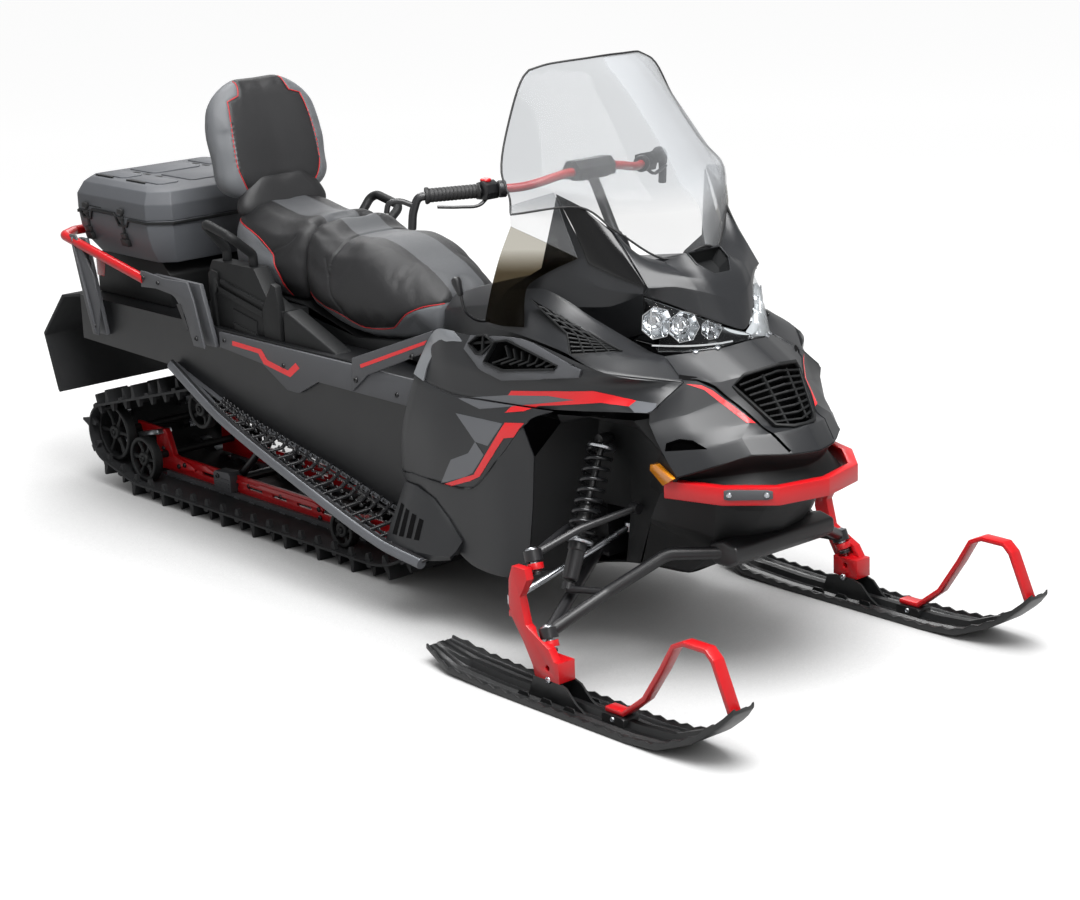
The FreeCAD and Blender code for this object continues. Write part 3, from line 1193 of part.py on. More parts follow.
def ski_loop():
    """The bow-shaped flat bar on the ski's front, standing on its plate."""
    outer = [(LOOP_REAR_X + LOOP_LENGTH * u, LOOP_LOW_Z + LOOP_HEIGHT * w)
             for u, w in LOOP_SHARES]
    toe_x = LOOP_REAR_X + LOOP_LENGTH
    outer.append((toe_x, ski_top(toe_x) + LOOP_TOE_LIFT))
    inner = []
    for k, (x, z) in enumerate(outer):
        x0, z0 = outer[max(k - 1, 0)]
        x1, z1 = outer[min(k + 1, len(outer) - 1)]
        run = math.hypot(x1 - x0, z1 - z0)
        inner.append((x + LOOP_BAR * (z1 - z0) / run, z - LOOP_BAR * (x1 - x0) / run))
    y0 = -STANCE / 2
    return plate_y(outer + inner[::-1], y0 - LOOP_WIDTH / 2, y0 + LOOP_WIDTH / 2)


def tie_rod():
    run = TIE_INNER.sub(TIE_OUTER).normalize()
    half = V(0, 0, TIE_EYE_HEIGHT / 2)
    inner_eye = Part.makeCylinder(TIE_EYE_R, TIE_EYE_HEIGHT, TIE_INNER.sub(half))
    outer_eye = Part.makeCylinder(TIE_EYE_R, TIE_EYE_HEIGHT, TIE_OUTER.sub(half))
    stud_low = TIE_OUTER.sub(V(0, 0, TIE_EYE_HEIGHT / 2 + SEAT + TIE_ARM_HEIGHT))
    stud = Part.makeCylinder(TIE_STUD_R, TIE_EYE_HEIGHT, stud_low)
    start = TIE_OUTER.add(V(run).multiply(TIE_STUD_R))
    return joined([rod(start, TIE_INNER, TIE_R), inner_eye, outer_eye, stud])


# Handlebar

BAR_R = 11.0
BAR_TOP_X = 638.0
BAR_TOP_Z = 1150.0
BAR_TOP = V(BAR_TOP_X, 0, BAR_TOP_Z)
COLUMN_FOOT_X = 728.0
COLUMN_FOOT_Z = 986.0
COLUMN_FOOT = V(COLUMN_FOOT_X, 0, COLUMN_FOOT_Z)
COLUMN_R = 17.0
PIVOT_R = 10.0
PIVOT_DEPTH = 40.0
PIVOT_CLEARANCE = 0.08
POST_R = 24.0
POST_LENGTH = 120.0
BAR_FLAT_Y = 70.0
BAR_BEND_X = 588.0
BAR_BEND_Y = 215.0
BAR_BEND_Z = 1128.0
BAR_BEND = V(BAR_BEND_X, BAR_BEND_Y, BAR_BEND_Z)
BAR_END_X = 478.0
BAR_END_Y = 392.0
BAR_END_Z = 1122.0
BAR_END = V(BAR_END_X, BAR_END_Y, BAR_END_Z)
GRIP_R = 17.0
GRIP_LENGTH = 130.0


def column_direction():
    return BAR_TOP.sub(COLUMN_FOOT).normalize()


def handlebar():
    """The bar with its riser, pivot pin, grips and forward hooks."""
    ends = []
    for side in (-1, 1):
        ends.append([V(BAR_END.x, side * BAR_END.y, BAR_END.z),
                     V(BAR_BEND.x, side * BAR_BEND.y, BAR_BEND.z),
                     V(BAR_TOP.x, side * BAR_FLAT_Y, BAR_TOP.z)])
    bar = tube(ends[0] + ends[1][::-1], BAR_R, BAR_FLAT_Y)
    shapes = [bar]
    for end, bend, flat in ends:
        run = bend.sub(end).normalize()
        grip_end = end.add(V(run).multiply(GRIP_LENGTH))
        shapes.append(rod(end, grip_end, GRIP_R))
    axis = column_direction()
    shapes.append(Part.makeCylinder(COLUMN_R, BAR_TOP.sub(COLUMN_FOOT).Length, COLUMN_FOOT, axis))
    pin_foot = COLUMN_FOOT.sub(V(axis).multiply(PIVOT_DEPTH))
    shapes.append(Part.makeCylinder(PIVOT_R, PIVOT_DEPTH, pin_foot, axis))
    clamp = rod(V(BAR_TOP.x, -BAR_FLAT_Y, BAR_TOP.z), V(BAR_TOP.x, BAR_FLAT_Y, BAR_TOP.z),
                2 * BAR_R)
    shapes.append(clamp)
    return joined(shapes)


def steering_post():
    """The fixed post under the bar, with the blind bore that the pivot pin turns in."""
    axis = column_direction()
    top = COLUMN_FOOT.sub(V(axis).multiply(SEAT))
    foot = top.sub(V(axis).multiply(POST_LENGTH))
    post = Part.makeCylinder(POST_R, POST_LENGTH, foot, axis)
    bore_foot = COLUMN_FOOT.sub(V(axis).multiply(PIVOT_DEPTH + SEAT))
    return post.cut(Part.makeCylinder(PIVOT_R + PIVOT_CLEARANCE, 2 * PIVOT_DEPTH, bore_foot, axis))


# Console, seats and backrest

CUSHION_SHARES = ((-0.88, 0.0), (-1.0, 0.45), (-0.93, 0.82), (-0.6, 1.0), (0.6, 1.0),
                  (0.93, 0.82), (1.0, 0.45), (0.88, 0.0))
SEAT_REAR_X = -372.0
SEAT_LENGTH = 532.0
SEAT_LOW_Z = 640.0
SEAT_HEIGHT = 292.0
SEAT_HALF_WIDTH = 200.0
SEAT_SHARES = ((0.0, 0.80, 0.20, 1.0), (0.14, 0.95, 0.14, 0.93), (0.44, 0.95, 0.0, 0.87),
               (0.76, 0.78, 0.04, 0.69), (1.0, 0.55, 0.07, 0.52))
PILLION_REAR_X = -702.0
PILLION_LENGTH = 324.0
PILLION_LOW_Z = 700.0
PILLION_HEIGHT = 240.0
PILLION_HALF_WIDTH = 195.0
PILLION_SHARES = ((0.0, 0.85, 0.08, 0.98), (0.20, 0.97, 0.08, 1.0), (0.62, 1.0, 0.04, 0.90),
                  (1.0, 0.85, 0.0, 0.97))
CONSOLE_REAR_X = 168.0
CONSOLE_LENGTH = 652.0
CONSOLE_LOW_Z = 640.0
CONSOLE_HEIGHT = 300.0
CONSOLE_HALF_WIDTH = 235.0
CONSOLE_SHARES = ((0.0, 0.47, None, 0.48), (0.20, 0.64, None, 0.62), (0.43, 0.80, None, 0.76),
                  (0.68, 0.92, 0.20, 0.90), (1.0, 1.0, 0.40, 1.0))


def saddle_loft(shares, rear_x, length, low_z, height, half):
    """A crowned body through cross-sections of (place, width, bottom, top) shares.

    A bottom of None rests on the tunnel."""
    rings = []
    for u, v, low, high in shares:
        x = rear_x + length * u
        z_low = tunnel_top(x) + SEAT if low is None else low_z + height * low
        z_high = low_z + height * high
        rings.append([V(x, half * v * a, z_low + (z_high - z_low) * b)
                      for a, b in CUSHION_SHARES])
    return ring_loft(rings)


def console():
    body = saddle_loft(CONSOLE_SHARES, CONSOLE_REAR_X, CONSOLE_LENGTH, CONSOLE_LOW_Z,
                       CONSOLE_HEIGHT, CONSOLE_HALF_WIDTH)
    axis = column_direction()
    foot = COLUMN_FOOT.sub(V(axis).multiply(POST_LENGTH + 2 * SEAT))
    return body.cut(Part.makeCylinder(POST_R + SEAT, 2 * POST_LENGTH, foot, axis))


POD_REAR_X = -698.0
POD_LENGTH = 341.0
POD_HALF_WIDTH = 250.0
POD_INNER_Y = 201.0
POD_TOP_Z = 800.0
POD_SHELF_Z = 694.0
POD_SHARES = ((0.0, 0.0), (0.0, 0.86), (0.05, 1.0), (0.64, 1.0), (0.80, 0.60), (1.0, 0.44),
              (1.0, 0.0))


def storage_pod():
    """The storage bin beside the seat base: a shelf under the seat and a raised outer wall."""
    low_z = TUNNEL_TOP + SEAT
    inner = SEAT_HALF_WIDTH * SEAT_SHARES[0][1]
    shelf = block(POD_REAR_X, POD_REAR_X + POD_LENGTH, -POD_HALF_WIDTH, -inner, low_z, POD_SHELF_Z)
    points = [(POD_REAR_X + POD_LENGTH * u, low_z + (POD_TOP_Z - low_z) * w)
              for u, w in POD_SHARES]
    return shelf.fuse(plate_y(points, -POD_HALF_WIDTH, -POD_INNER_Y))


def seat_base():
    """The closed box under both seats with a storage bin on each side."""
    top = []
    for u, v, low, high in reversed(SEAT_SHARES):
        top.append((SEAT_REAR_X + SEAT_LENGTH * u, SEAT_LOW_Z + SEAT_HEIGHT * low - SEAT))
    for u, v, low, high in reversed(PILLION_SHARES):
        top.append((PILLION_REAR_X + PILLION_LENGTH * u, PILLION_LOW_Z + PILLION_HEIGHT * low
                    - SEAT))
    floor = TUNNEL_TOP + SEAT
    points = [(top[0][0], floor)] + top + [(top[-1][0], floor)]
    half = SEAT_HALF_WIDTH * SEAT_SHARES[0][1]
    pod = storage_pod()
    return joined([plate_y(points, -half, half), pod, mirror_y(pod)])


BACK_LOW_Z = 948.0
BACK_HEIGHT = 345.0
BACK_HALF_WIDTH = 202.0
BACK_X = -800.0
BACK_DEPTH = 145.0
BACK_FACE_SHARE = 0.8
BACK_SHARES = ((0.0, 0.72, 0.40, 0.90), (0.12, 0.97, 0.28, 0.86), (0.60, 1.0, 0.08, 0.58),
               (0.84, 0.74, 0.02, 0.46), (1.0, 0.36, 0.0, 0.36))
POST_X = -738.0
BACK_POST_DEPTH = 30.0
BACK_POST_Y = 80.0
BACK_POST_WIDTH = 40.0


def backrest():
    rings = []
    for w, v, low, high in BACK_SHARES:
        z = BACK_LOW_Z + BACK_HEIGHT * w
        half = BACK_HALF_WIDTH * v
        rear = BACK_X + BACK_DEPTH * low
        front = BACK_X + BACK_DEPTH * high
        middle = (rear + front) / 2
        face = half * BACK_FACE_SHARE
        rings.append([V(rear, -face, z), V(middle, -half, z), V(front, -face, z),
                      V(front, face, z), V(middle, half, z), V(rear, face, z)])
    return ring_loft(rings)


def backrest_posts():
    posts = []
    for side in (-1, 1):
        y = side * BACK_POST_Y
        posts.append(block(POST_X, POST_X + BACK_POST_DEPTH, y - BACK_POST_WIDTH / 2,
                           y + BACK_POST_WIDTH / 2, TUNNEL_TOP + SEAT, BACK_LOW_Z - SEAT))
    return Part.makeCompound(posts)


GRAB_FRONT_X = -512.0
GRAB_LENGTH = 128.0
GRAB_TOP_Z = 920.0
GRAB_FOOT_Y = 226.0
GRAB_FOOT_RISE = 32.0
GRAB_Y = 300.0
GRAB_R = 13.0
GRAB_BEND = 26.0


def grab_handle():
    """A hoop beside the rear seat, its two feet on the storage bin."""
    rear_x = GRAB_FRONT_X - GRAB_LENGTH
    foot_z = POD_TOP_Z + SEAT
    knee_z = foot_z + GRAB_FOOT_RISE
    points = [V(rear_x, -GRAB_FOOT_Y, foot_z), V(rear_x, -GRAB_FOOT_Y, knee_z),
              V(rear_x, -GRAB_Y, GRAB_TOP_Z), V(GRAB_FRONT_X, -GRAB_Y, GRAB_TOP_Z - GRAB_BEND),
              V(GRAB_FRONT_X, -GRAB_FOOT_Y, knee_z), V(GRAB_FRONT_X, -GRAB_FOOT_Y, foot_z)]
    return tube(points, GRAB_R, GRAB_BEND)


# Cargo box, rack and tail

BOX_REAR_X = -1410.0
BOX_LENGTH = 482.0
BOX_HALF_WIDTH = TUNNEL_WIDTH / 2 - SHEET
BOX_FLOOR_Z = 752.0
BOX_HEIGHT = 126.0
BOX_WALL = 6.0
BOX_CORNER = 56.0
# Each ring is (height, rear end, front end, half width, corner cut).
BOX_SHARES = ((0.0, 0.17, 0.97, 0.88, 0.70), (0.30, 0.07, 0.985, 0.94, 0.85),
              (0.62, 0.012, 0.995, 0.98, 0.95), (1.0, 0.0, 1.0, 1.0, 1.0))
LID_HEIGHT = 94.0
LID_GAP = 0.4
LID_SHARES = ((0.0, 0.0, 1.0, 1.0, 1.0), (0.50, 0.0, 0.996, 1.0, 1.0),
              (0.86, 0.037, 0.955, 0.93, 0.90), (1.0, 0.08, 0.88, 0.85, 0.75))


def cargo_loft(shares, low_z, height, inset):
    """A moulded shell's outer form: eight-cornered rings, drawn in by an inset."""
    rings = []
    for w, rear, front, v, corner in shares:
        x0 = BOX_REAR_X + BOX_LENGTH * rear + inset
        x1 = BOX_REAR_X + BOX_LENGTH * front - inset
        half = BOX_HALF_WIDTH * v - inset
        cut = BOX_CORNER * corner
        z = low_z + height * w
        rings.append([V(x0 + cut, -half, z), V(x1 - cut, -half, z), V(x1, cut - half, z),
                      V(x1, half - cut, z), V(x1 - cut, half, z), V(x0 + cut, half, z),
                      V(x0, half - cut, z), V(x0, cut - half, z)])
    return ring_loft(rings)


def cargo_box():
    outer = cargo_loft(BOX_SHARES, BOX_FLOOR_Z, BOX_HEIGHT, 0)
    inside = cargo_loft(BOX_SHARES, BOX_FLOOR_Z + BOX_WALL, BOX_HEIGHT, BOX_WALL)
    return outer.cut(inside)


def cargo_lid():
    low_z = BOX_FLOOR_Z + BOX_HEIGHT + LID_GAP
    outer = cargo_loft(LID_SHARES, low_z, LID_HEIGHT, 0)
    inside = cargo_loft(LID_SHARES, low_z - BOX_WALL, LID_HEIGHT, BOX_WALL)
    return outer.cut(inside)


RACK_R = 14.0
BRACKET_WIDTH = 14.0
RACK_Y = TUNNEL_WIDTH / 2 + BRACKET_WIDTH + RACK_R + 2 * SEAT
RACK_FRONT_X = -962.0
RACK_FRONT_Z = 716.0
RACK_CORNER_X = -1396.0
RACK_REAR_X = -1444.0
RACK_REAR_Z = 796.0
RACK_CORNER_Y = 235.0
RACK_BEND = 30.0
BRACKET_LOW_X = 1340.0
BRACKET_LOW_Z = 504.0
BRACKET_LOW = V(-BRACKET_LOW_X, 0, BRACKET_LOW_Z)
BRACKET_SIZE_X = 700.0
BRACKET_SIZE_Z = 290.0
BRACKET_SIZE = V(BRACKET_SIZE_X, 0, BRACKET_SIZE_Z)
FRONT_BRACKET_SHARES = ((0.58, 0.79), (0.915, 0.79), (1.0, 0.19), (0.93, 0.19), (0.82, 0.50),
                        (0.70, 0.62), (0.49, 0.66), (0.44, 0.72))
REAR_BRACKET_SHARES = ((0.0, 1.0), (0.06, 1.0), (0.17, 0.02), (0.11, 0.02))


def rear_rack():
    """The round rail that runs back beside the box and across behind it."""
    points = [V(RACK_FRONT_X, -RACK_Y, RACK_FRONT_Z), V(RACK_CORNER_X, -RACK_Y, RACK_REAR_Z),
              V(RACK_REAR_X, -RACK_CORNER_Y, RACK_REAR_Z), V(RACK_REAR_X, RACK_CORNER_Y,
                                                             RACK_REAR_Z),
              V(RACK_CORNER_X, RACK_Y, RACK_REAR_Z), V(RACK_FRONT_X, RACK_Y, RACK_FRONT_Z)]
    return tube(points, RACK_R, RACK_BEND)


def rack_bracket():
    outer = -RACK_Y + RACK_R + SEAT
    inner = -TUNNEL_WIDTH / 2 - SEAT
    plates = []
    for shares in (FRONT_BRACKET_SHARES, REAR_BRACKET_SHARES):
        points = [(BRACKET_LOW.x + BRACKET_SIZE.x * u, BRACKET_LOW.z + BRACKET_SIZE.z * w)
                  for u, w in shares]
        plates.append(plate_y(points, outer, inner))
    return Part.makeCompound(plates)


TAIL_REAR_X = -1378.0
TAIL_LENGTH = 400.0
TAIL_HALF_WIDTH = 205.0
TAIL_SHARES = ((0.0, 0.0), (1.0, 0.0), (1.0, 0.7), (0.9, 1.0), (0.12, 1.0), (0.0, 0.5))
FLAP_WIDTH = TUNNEL_WIDTH - SHEET
FLAP_THICKNESS = 7.0
FLAP_TOP = (TUNNEL_REAR_X - SEAT, TUNNEL_TOP)
FLAP_REACH = 244.0
FLAP_DROP = 330.0
FLAP_SHARES = ((0.0, 0.0), (0.46, 0.05), (1.0, 0.47), (0.76, 1.0))


def tail_housing():
    height = BOX_FLOOR_Z - SEAT - TUNNEL_TOP - SEAT
    points = [(TAIL_REAR_X + TAIL_LENGTH * u, TUNNEL_TOP + SEAT + height * w)
              for u, w in TAIL_SHARES]
    return plate_y(points, -TAIL_HALF_WIDTH, TAIL_HALF_WIDTH)


def snow_flap():
    outer = [(FLAP_TOP[0] - FLAP_REACH * u, FLAP_TOP[1] - FLAP_DROP * w) for u, w in FLAP_SHARES]
    inner = [(x + FLAP_THICKNESS, z - FLAP_THICKNESS) for x, z in outer]
    inner[0] = (outer[0][0], inner[0][1])
    return plate_y(outer + inner[::-1], -FLAP_WIDTH / 2, FLAP_WIDTH / 2)


save("track", track())
wheel_sets()
save("drive_axle", drive_axle())
save_both("slide_rails", slide_rail())
save("rail_sliders", rail_sliders())
save("swing_arms", Part.makeCompound([swing_arm(FRONT_ARM_X, FRONT_ARM_Z, FRONT_ARM_FOOT_X),
                                      swing_arm(REAR_ARM_X, REAR_ARM_Z, REAR_ARM_FOOT_X)]))
save("skid_shocks", skid_shocks())
save("tunnel", tunnel())
save_both("running_boards", running_board())
save_both("tunnel_trims", tunnel_trim())
save_both("foot_wells", foot_well())
bodywork()
front_covers()
save("front_bumper", front_bumper())
save("front_frame", front_frame())
save("engine", engine())
save_both("upper_arms", upper_arm())
save_both("lower_arms", lower_arm())
save_both("front_shocks", front_shock())
save_pair("spindle", spindle())
save_pair("ski", ski())
save_pair("ski_loop", ski_loop())
save_pair("tie_rod", tie_rod())
save("handlebar", handlebar())
save("steering_post", steering_post())
save("console", console())
save("driver_seat", saddle_loft(SEAT_SHARES, SEAT_REAR_X, SEAT_LENGTH, SEAT_LOW_Z, SEAT_HEIGHT,
                                SEAT_HALF_WIDTH))
save("passenger_seat", saddle_loft(PILLION_SHARES, PILLION_REAR_X, PILLION_LENGTH, PILLION_LOW_Z,
                                   PILLION_HEIGHT, PILLION_HALF_WIDTH))
save("seat_base", seat_base())
save("backrest", backrest())
save("backrest_posts", backrest_posts())
save_both("grab_handles", grab_handle())
save("cargo_box", cargo_box())
save("cargo_lid", cargo_lid())
save("rear_rack", rear_rack())
save_both("rack_brackets", rack_bracket())
save("tail_housing", tail_housing())
save("snow_flap", snow_flap())
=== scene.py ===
"""Looks of a two-up touring snowmobile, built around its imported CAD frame.

Lengths are millimetres until they reach a mesh. +X is forward, +Y is the
rider's left and +Z is up. Panels that come in pairs are made on the right
(-Y) and mirrored.
"""
from __future__ import annotations

import json
import logging
import math
from collections.abc import Callable, Iterable, Iterator, Sequence
from contextlib import contextmanager
from dataclasses import dataclass, field
from enum import Enum
from typing import Any

import bmesh
import bpy
import numpy as np
from mathutils import Matrix, Vector
from mathutils.bvhtree import BVHTree

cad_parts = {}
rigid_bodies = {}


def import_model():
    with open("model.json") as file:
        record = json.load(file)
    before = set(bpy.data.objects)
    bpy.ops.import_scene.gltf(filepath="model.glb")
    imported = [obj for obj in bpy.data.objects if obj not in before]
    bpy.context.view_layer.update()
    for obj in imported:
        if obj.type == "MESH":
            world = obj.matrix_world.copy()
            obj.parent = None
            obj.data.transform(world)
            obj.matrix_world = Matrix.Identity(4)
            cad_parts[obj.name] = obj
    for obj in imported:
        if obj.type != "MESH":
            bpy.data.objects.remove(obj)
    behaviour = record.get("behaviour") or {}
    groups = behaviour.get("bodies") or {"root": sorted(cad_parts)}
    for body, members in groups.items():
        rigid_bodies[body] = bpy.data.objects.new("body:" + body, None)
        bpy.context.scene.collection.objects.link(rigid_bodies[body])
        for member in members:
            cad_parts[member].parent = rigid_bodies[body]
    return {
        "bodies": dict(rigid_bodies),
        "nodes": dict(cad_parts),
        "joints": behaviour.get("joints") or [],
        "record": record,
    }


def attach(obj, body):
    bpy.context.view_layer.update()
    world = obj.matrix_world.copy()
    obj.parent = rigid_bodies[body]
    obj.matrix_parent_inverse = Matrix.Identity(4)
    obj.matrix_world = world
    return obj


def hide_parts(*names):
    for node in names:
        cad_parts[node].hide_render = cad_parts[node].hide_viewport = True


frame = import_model()

LOG = logging.getLogger("snowmobile")
MM = 0.001
Outline = list[tuple[float, float]]
Point = tuple[float, float, float]
Rows = tuple[tuple[Point, ...], ...]
Table = tuple[tuple[float, ...], ...]
Colour = tuple[float, float, float, float]
Tree = bpy.types.NodeTree
Socket = bpy.types.NodeSocket
WHITE = (1.0, 1.0, 1.0, 1.0)
# Triangles of a CAD face meet at less than this, in degrees.
FLAT_ANGLE = 0.6
# Edges of a softened CAD node that get a bevel, and those still creased after it, in degrees.
SOFT_EDGE = 25.0
SOFT_CREASE = 32.0
# The crease angle of round and padded parts, in degrees.
NO_CREASE = 60.0
# The mesh attribute that tells the grey vinyl from the black.
GREY_PART = "grey_part"
# Turns a point on the right into its counterpart on the left.
MIRROR = np.array([1.0, -1.0, 1.0])
# How bright the pale surroundings are in the machine's own reflections.
GLOSSY_SHARE = 0.45


class Body(Enum):
    """The bodies of the record that the scene's pieces ride on."""

    CHASSIS = "chassis"
    STEERING = "steering"
    SKI_RIGHT = "ski_unit_right"
    SKI_LEFT = "ski_unit_left"
    LID = "box_lid"


def linear(code: str) -> Colour:
    """Turn an sRGB hex code into Blender's linear colour.

    Args:
        code: six hex digits, such as "1b1c1e".

    Returns:
        Linear red, green, blue and an alpha of one.
    """
    channels = [int(code[k:k + 2], 16) / 255 for k in (0, 2, 4)]
    low = [c / 12.92 if c <= 0.04045 else ((c + 0.055) / 1.055) ** 2.4 for c in channels]
    return (low[0], low[1], low[2], 1.0)


def add_node(tree: Tree, kind: str, settings: dict | None = None,
             links: dict | None = None) -> bpy.types.Node:
    """Add one shader node.

    Args:
        tree: the material's node tree.
        kind: the node's type name.
        settings: socket names or attributes with their values.
        links: names or numbers of inputs with the output sockets that feed them.

    Returns:
        The new node.
    """
    made = tree.nodes.new(kind)
    for key, value in (settings or {}).items():
        if key in made.inputs:
            made.inputs[key].default_value = value
        else:
            setattr(made, key, value)
    for key, source in (links or {}).items():
        tree.links.new(source, made.inputs[key])
    return made


def remap(tree: Tree, value: Socket, limits: dict[str, float]) -> Socket:
    """Carry values from one range to another."""
    return add_node(tree, "ShaderNodeMapRange", limits, {"Value": value}).outputs["Result"]


def combine(tree: Tree, operation: str, first: Socket, second: Socket) -> Socket:
    """Work out a product or a maximum of two values."""
    made = add_node(tree, "ShaderNodeMath", {"operation": operation}, {0: first, 1: second})
    return made.outputs["Value"]


def noise(tree: Tree, place: Socket, size: float, detail: float = 2.0) -> Socket:
    """Make a noise whose cells have a size in mm."""
    made = add_node(tree, "ShaderNodeTexNoise",
                    {"Scale": 1 / (size * MM), "Detail": detail}, {"Vector": place})
    return made.outputs["Fac"]


def blend(tree: Tree, share: Socket, low: Colour | Socket, high: Colour | Socket) -> Socket:
    """Mix two colours, each given as a value or as a socket.

    Args:
        tree: the material's node tree.
        share: the second colour's share.
        low: the first colour.
        high: the second colour.

    Returns:
        The mixed colour.
    """
    made = add_node(tree, "ShaderNodeMix", {"data_type": "RGBA"}, {"Factor": share})
    for end, tone in zip([s for s in made.inputs if s.type == "RGBA"], (low, high)):
        if isinstance(tone, Socket):
            tree.links.new(tone, end)
        else:
            end.default_value = tone
    return next(s for s in made.outputs if s.type == "RGBA")


def seen_rays(tree: Tree) -> Socket:
    """Return one for camera and transmission rays, less for glossy ones, else zero."""
    rays = add_node(tree, "ShaderNodeLightPath").outputs
    part = remap(tree, rays["Is Glossy Ray"], {"To Max": GLOSSY_SHARE})
    sharp = combine(tree, "MAXIMUM", part, rays["Is Transmission Ray"])
    return combine(tree, "MAXIMUM", rays["Is Camera Ray"], sharp)


@dataclass(frozen=True)
class Finish:
    """A moulded, painted or metal surface.

    Attributes:
        name: the material's name.
        slot: the record slot that the finish belongs to.
        colour: sRGB hex.
        roughness: middle roughness of the surface.
        metallic: zero or one.
        coat: weight of a clear layer.
        grain: size of the surface's texture in mm, zero for none.
        depth: how far that texture stands out, in mm.
        drift: share by which colour and roughness wander over the piece.
        drift_size: size of that wandering in mm.
        gloss: specular level, half for a plain dielectric.
    """

    name: str
    slot: str
    colour: str
    roughness: float
    metallic: float = 0.0
    coat: float = 0.0
    grain: float = 0.0
    depth: float = 0.0
    drift: float = 0.12
    drift_size: float = 60.0
    gloss: float = 0.5

    def build(self) -> bpy.types.Material:
        """Make the material once, and return it again after that."""
        ready = bpy.data.materials.get(self.name)
        if ready is not None:
            return ready
        made = bpy.data.materials.new(self.name)
        made.use_nodes = True
        tree = made.node_tree
        tree.nodes.clear()
        surface = self.wire(tree, add_node(tree, "ShaderNodeTexCoord").outputs["Object"])
        add_node(tree, "ShaderNodeOutputMaterial", None, {"Surface": surface})
        return made

    def wire(self, tree: Tree, place: Socket) -> Socket:
        """Lay out the shader: drifting colour and roughness, and a grain bump.

        Args:
            tree: the material's node tree.
            place: the point on the object.

        Returns:
            The shader's output.
        """
        cloud = noise(tree, place, self.drift_size, 4.0)
        base = linear(self.colour)[:3]
        deep = [c * (1 - self.drift) for c in base] + [1.0]
        light = [min(c * (1 + self.drift), 1) for c in base] + [1.0]
        rough = remap(tree, cloud, {"To Min": self.roughness * (1 - self.drift),
                                    "To Max": min(self.roughness * (1 + self.drift), 1.0)})
        shader = add_node(tree, "ShaderNodeBsdfPrincipled",
                          {"Metallic": self.metallic, "Coat Weight": self.coat,
                           "Coat Roughness": self.roughness / 3,
                           "Specular IOR Level": self.gloss},
                          {"Base Color": blend(tree, cloud, deep, light), "Roughness": rough})
        if self.grain:
            lift = add_node(tree, "ShaderNodeBump",
                            {"Strength": 1.0, "Distance": self.depth * MM},
                            {"Height": self.relief(tree, place)})
            tree.links.new(lift.outputs["Normal"], shader.inputs["Normal"])
        return shader.outputs["BSDF"]

    def relief(self, tree: Tree, place: Socket) -> Socket:
        """Height of the surface's fine texture."""
        return noise(tree, place, self.grain)


@dataclass(frozen=True)
class ClearSheet(Finish):
    """Polycarbonate sheet: mostly see-through, with gloss that grows at a slant.

    Attributes:
        tint: colour of what passes through, above the foot.
        foot_tint: the same below the foot.
        foot: height of the tint's change in mm.
        blur: half the height over which it changes.
        cover: share of the glossy skin seen square on.
        slant_cover: the same at a slant.
        index: refractive index that the slant's gloss follows.
    """

    tint: str = "f4f6f7"
    foot_tint: str = "f4f6f7"
    foot: float = 0.0
    blur: float = 30.0
    cover: float = 0.16
    slant_cover: float = 0.55
    index: float = 1.3

    def wire(self, tree: Tree, place: Socket) -> Socket:
        """Mix tinted see-through with a glossy skin by Fresnel."""
        height = add_node(tree, "ShaderNodeSeparateXYZ", None, {"Vector": place}).outputs["Z"]
        rise = remap(tree, height, {"From Min": (self.foot - self.blur) * MM,
                                    "From Max": (self.foot + self.blur) * MM})
        tone = blend(tree, rise, linear(self.foot_tint), linear(self.tint))
        through = add_node(tree, "ShaderNodeBsdfTransparent", None, {"Color": tone})
        shader = add_node(tree, "ShaderNodeBsdfPrincipled",
                          {"Base Color": linear(self.colour), "Roughness": self.roughness})
        slant = add_node(tree, "ShaderNodeFresnel", {"IOR": self.index}).outputs["Fac"]
        share = remap(tree, slant, {"To Min": self.cover, "To Max": self.slant_cover})
        skin = add_node(tree, "ShaderNodeMixShader", None,
                        {"Fac": share, 1: through.outputs["BSDF"], 2: shader.outputs["BSDF"]})
        return skin.outputs["Shader"]


@dataclass(frozen=True)
class Pebbled(Finish):
    """Upholstery vinyl, embossed with cells that meet in fine creases."""

    crease: float = 0.18

    def relief(self, tree: Tree, place: Socket) -> Socket:
        """Height of Voronoi cells of the grain's size."""
        cells = add_node(tree, "ShaderNodeTexVoronoi",
                         {"feature": "DISTANCE_TO_EDGE", "Scale": 1 / (self.grain * MM)},
                         {"Vector": place})
        return remap(tree, cells.outputs["Distance"], {"From Max": self.crease})


@dataclass(frozen=True)
class TwoTone(Pebbled):
    """Seat vinyl in two colours, which meet where the grey_part attribute is zero."""

    second: str = "5b5d60"

    def wire(self, tree: Tree, place: Socket) -> Socket:
        """Lay out the plain vinyl, then mix in the second colour by the attribute."""
        surface = super().wire(tree, place)
        shader = next(n for n in tree.nodes if n.type == "BSDF_PRINCIPLED")
        plain = shader.inputs["Base Color"].links[0].from_socket
        part = add_node(tree, "ShaderNodeAttribute", {"attribute_name": GREY_PART})
        step = remap(tree, part.outputs["Fac"], {"From Min": -0.5, "From Max": 0.5})
        tree.links.new(blend(tree, step, plain, linear(self.second)), shader.inputs["Base Color"])
        return surface


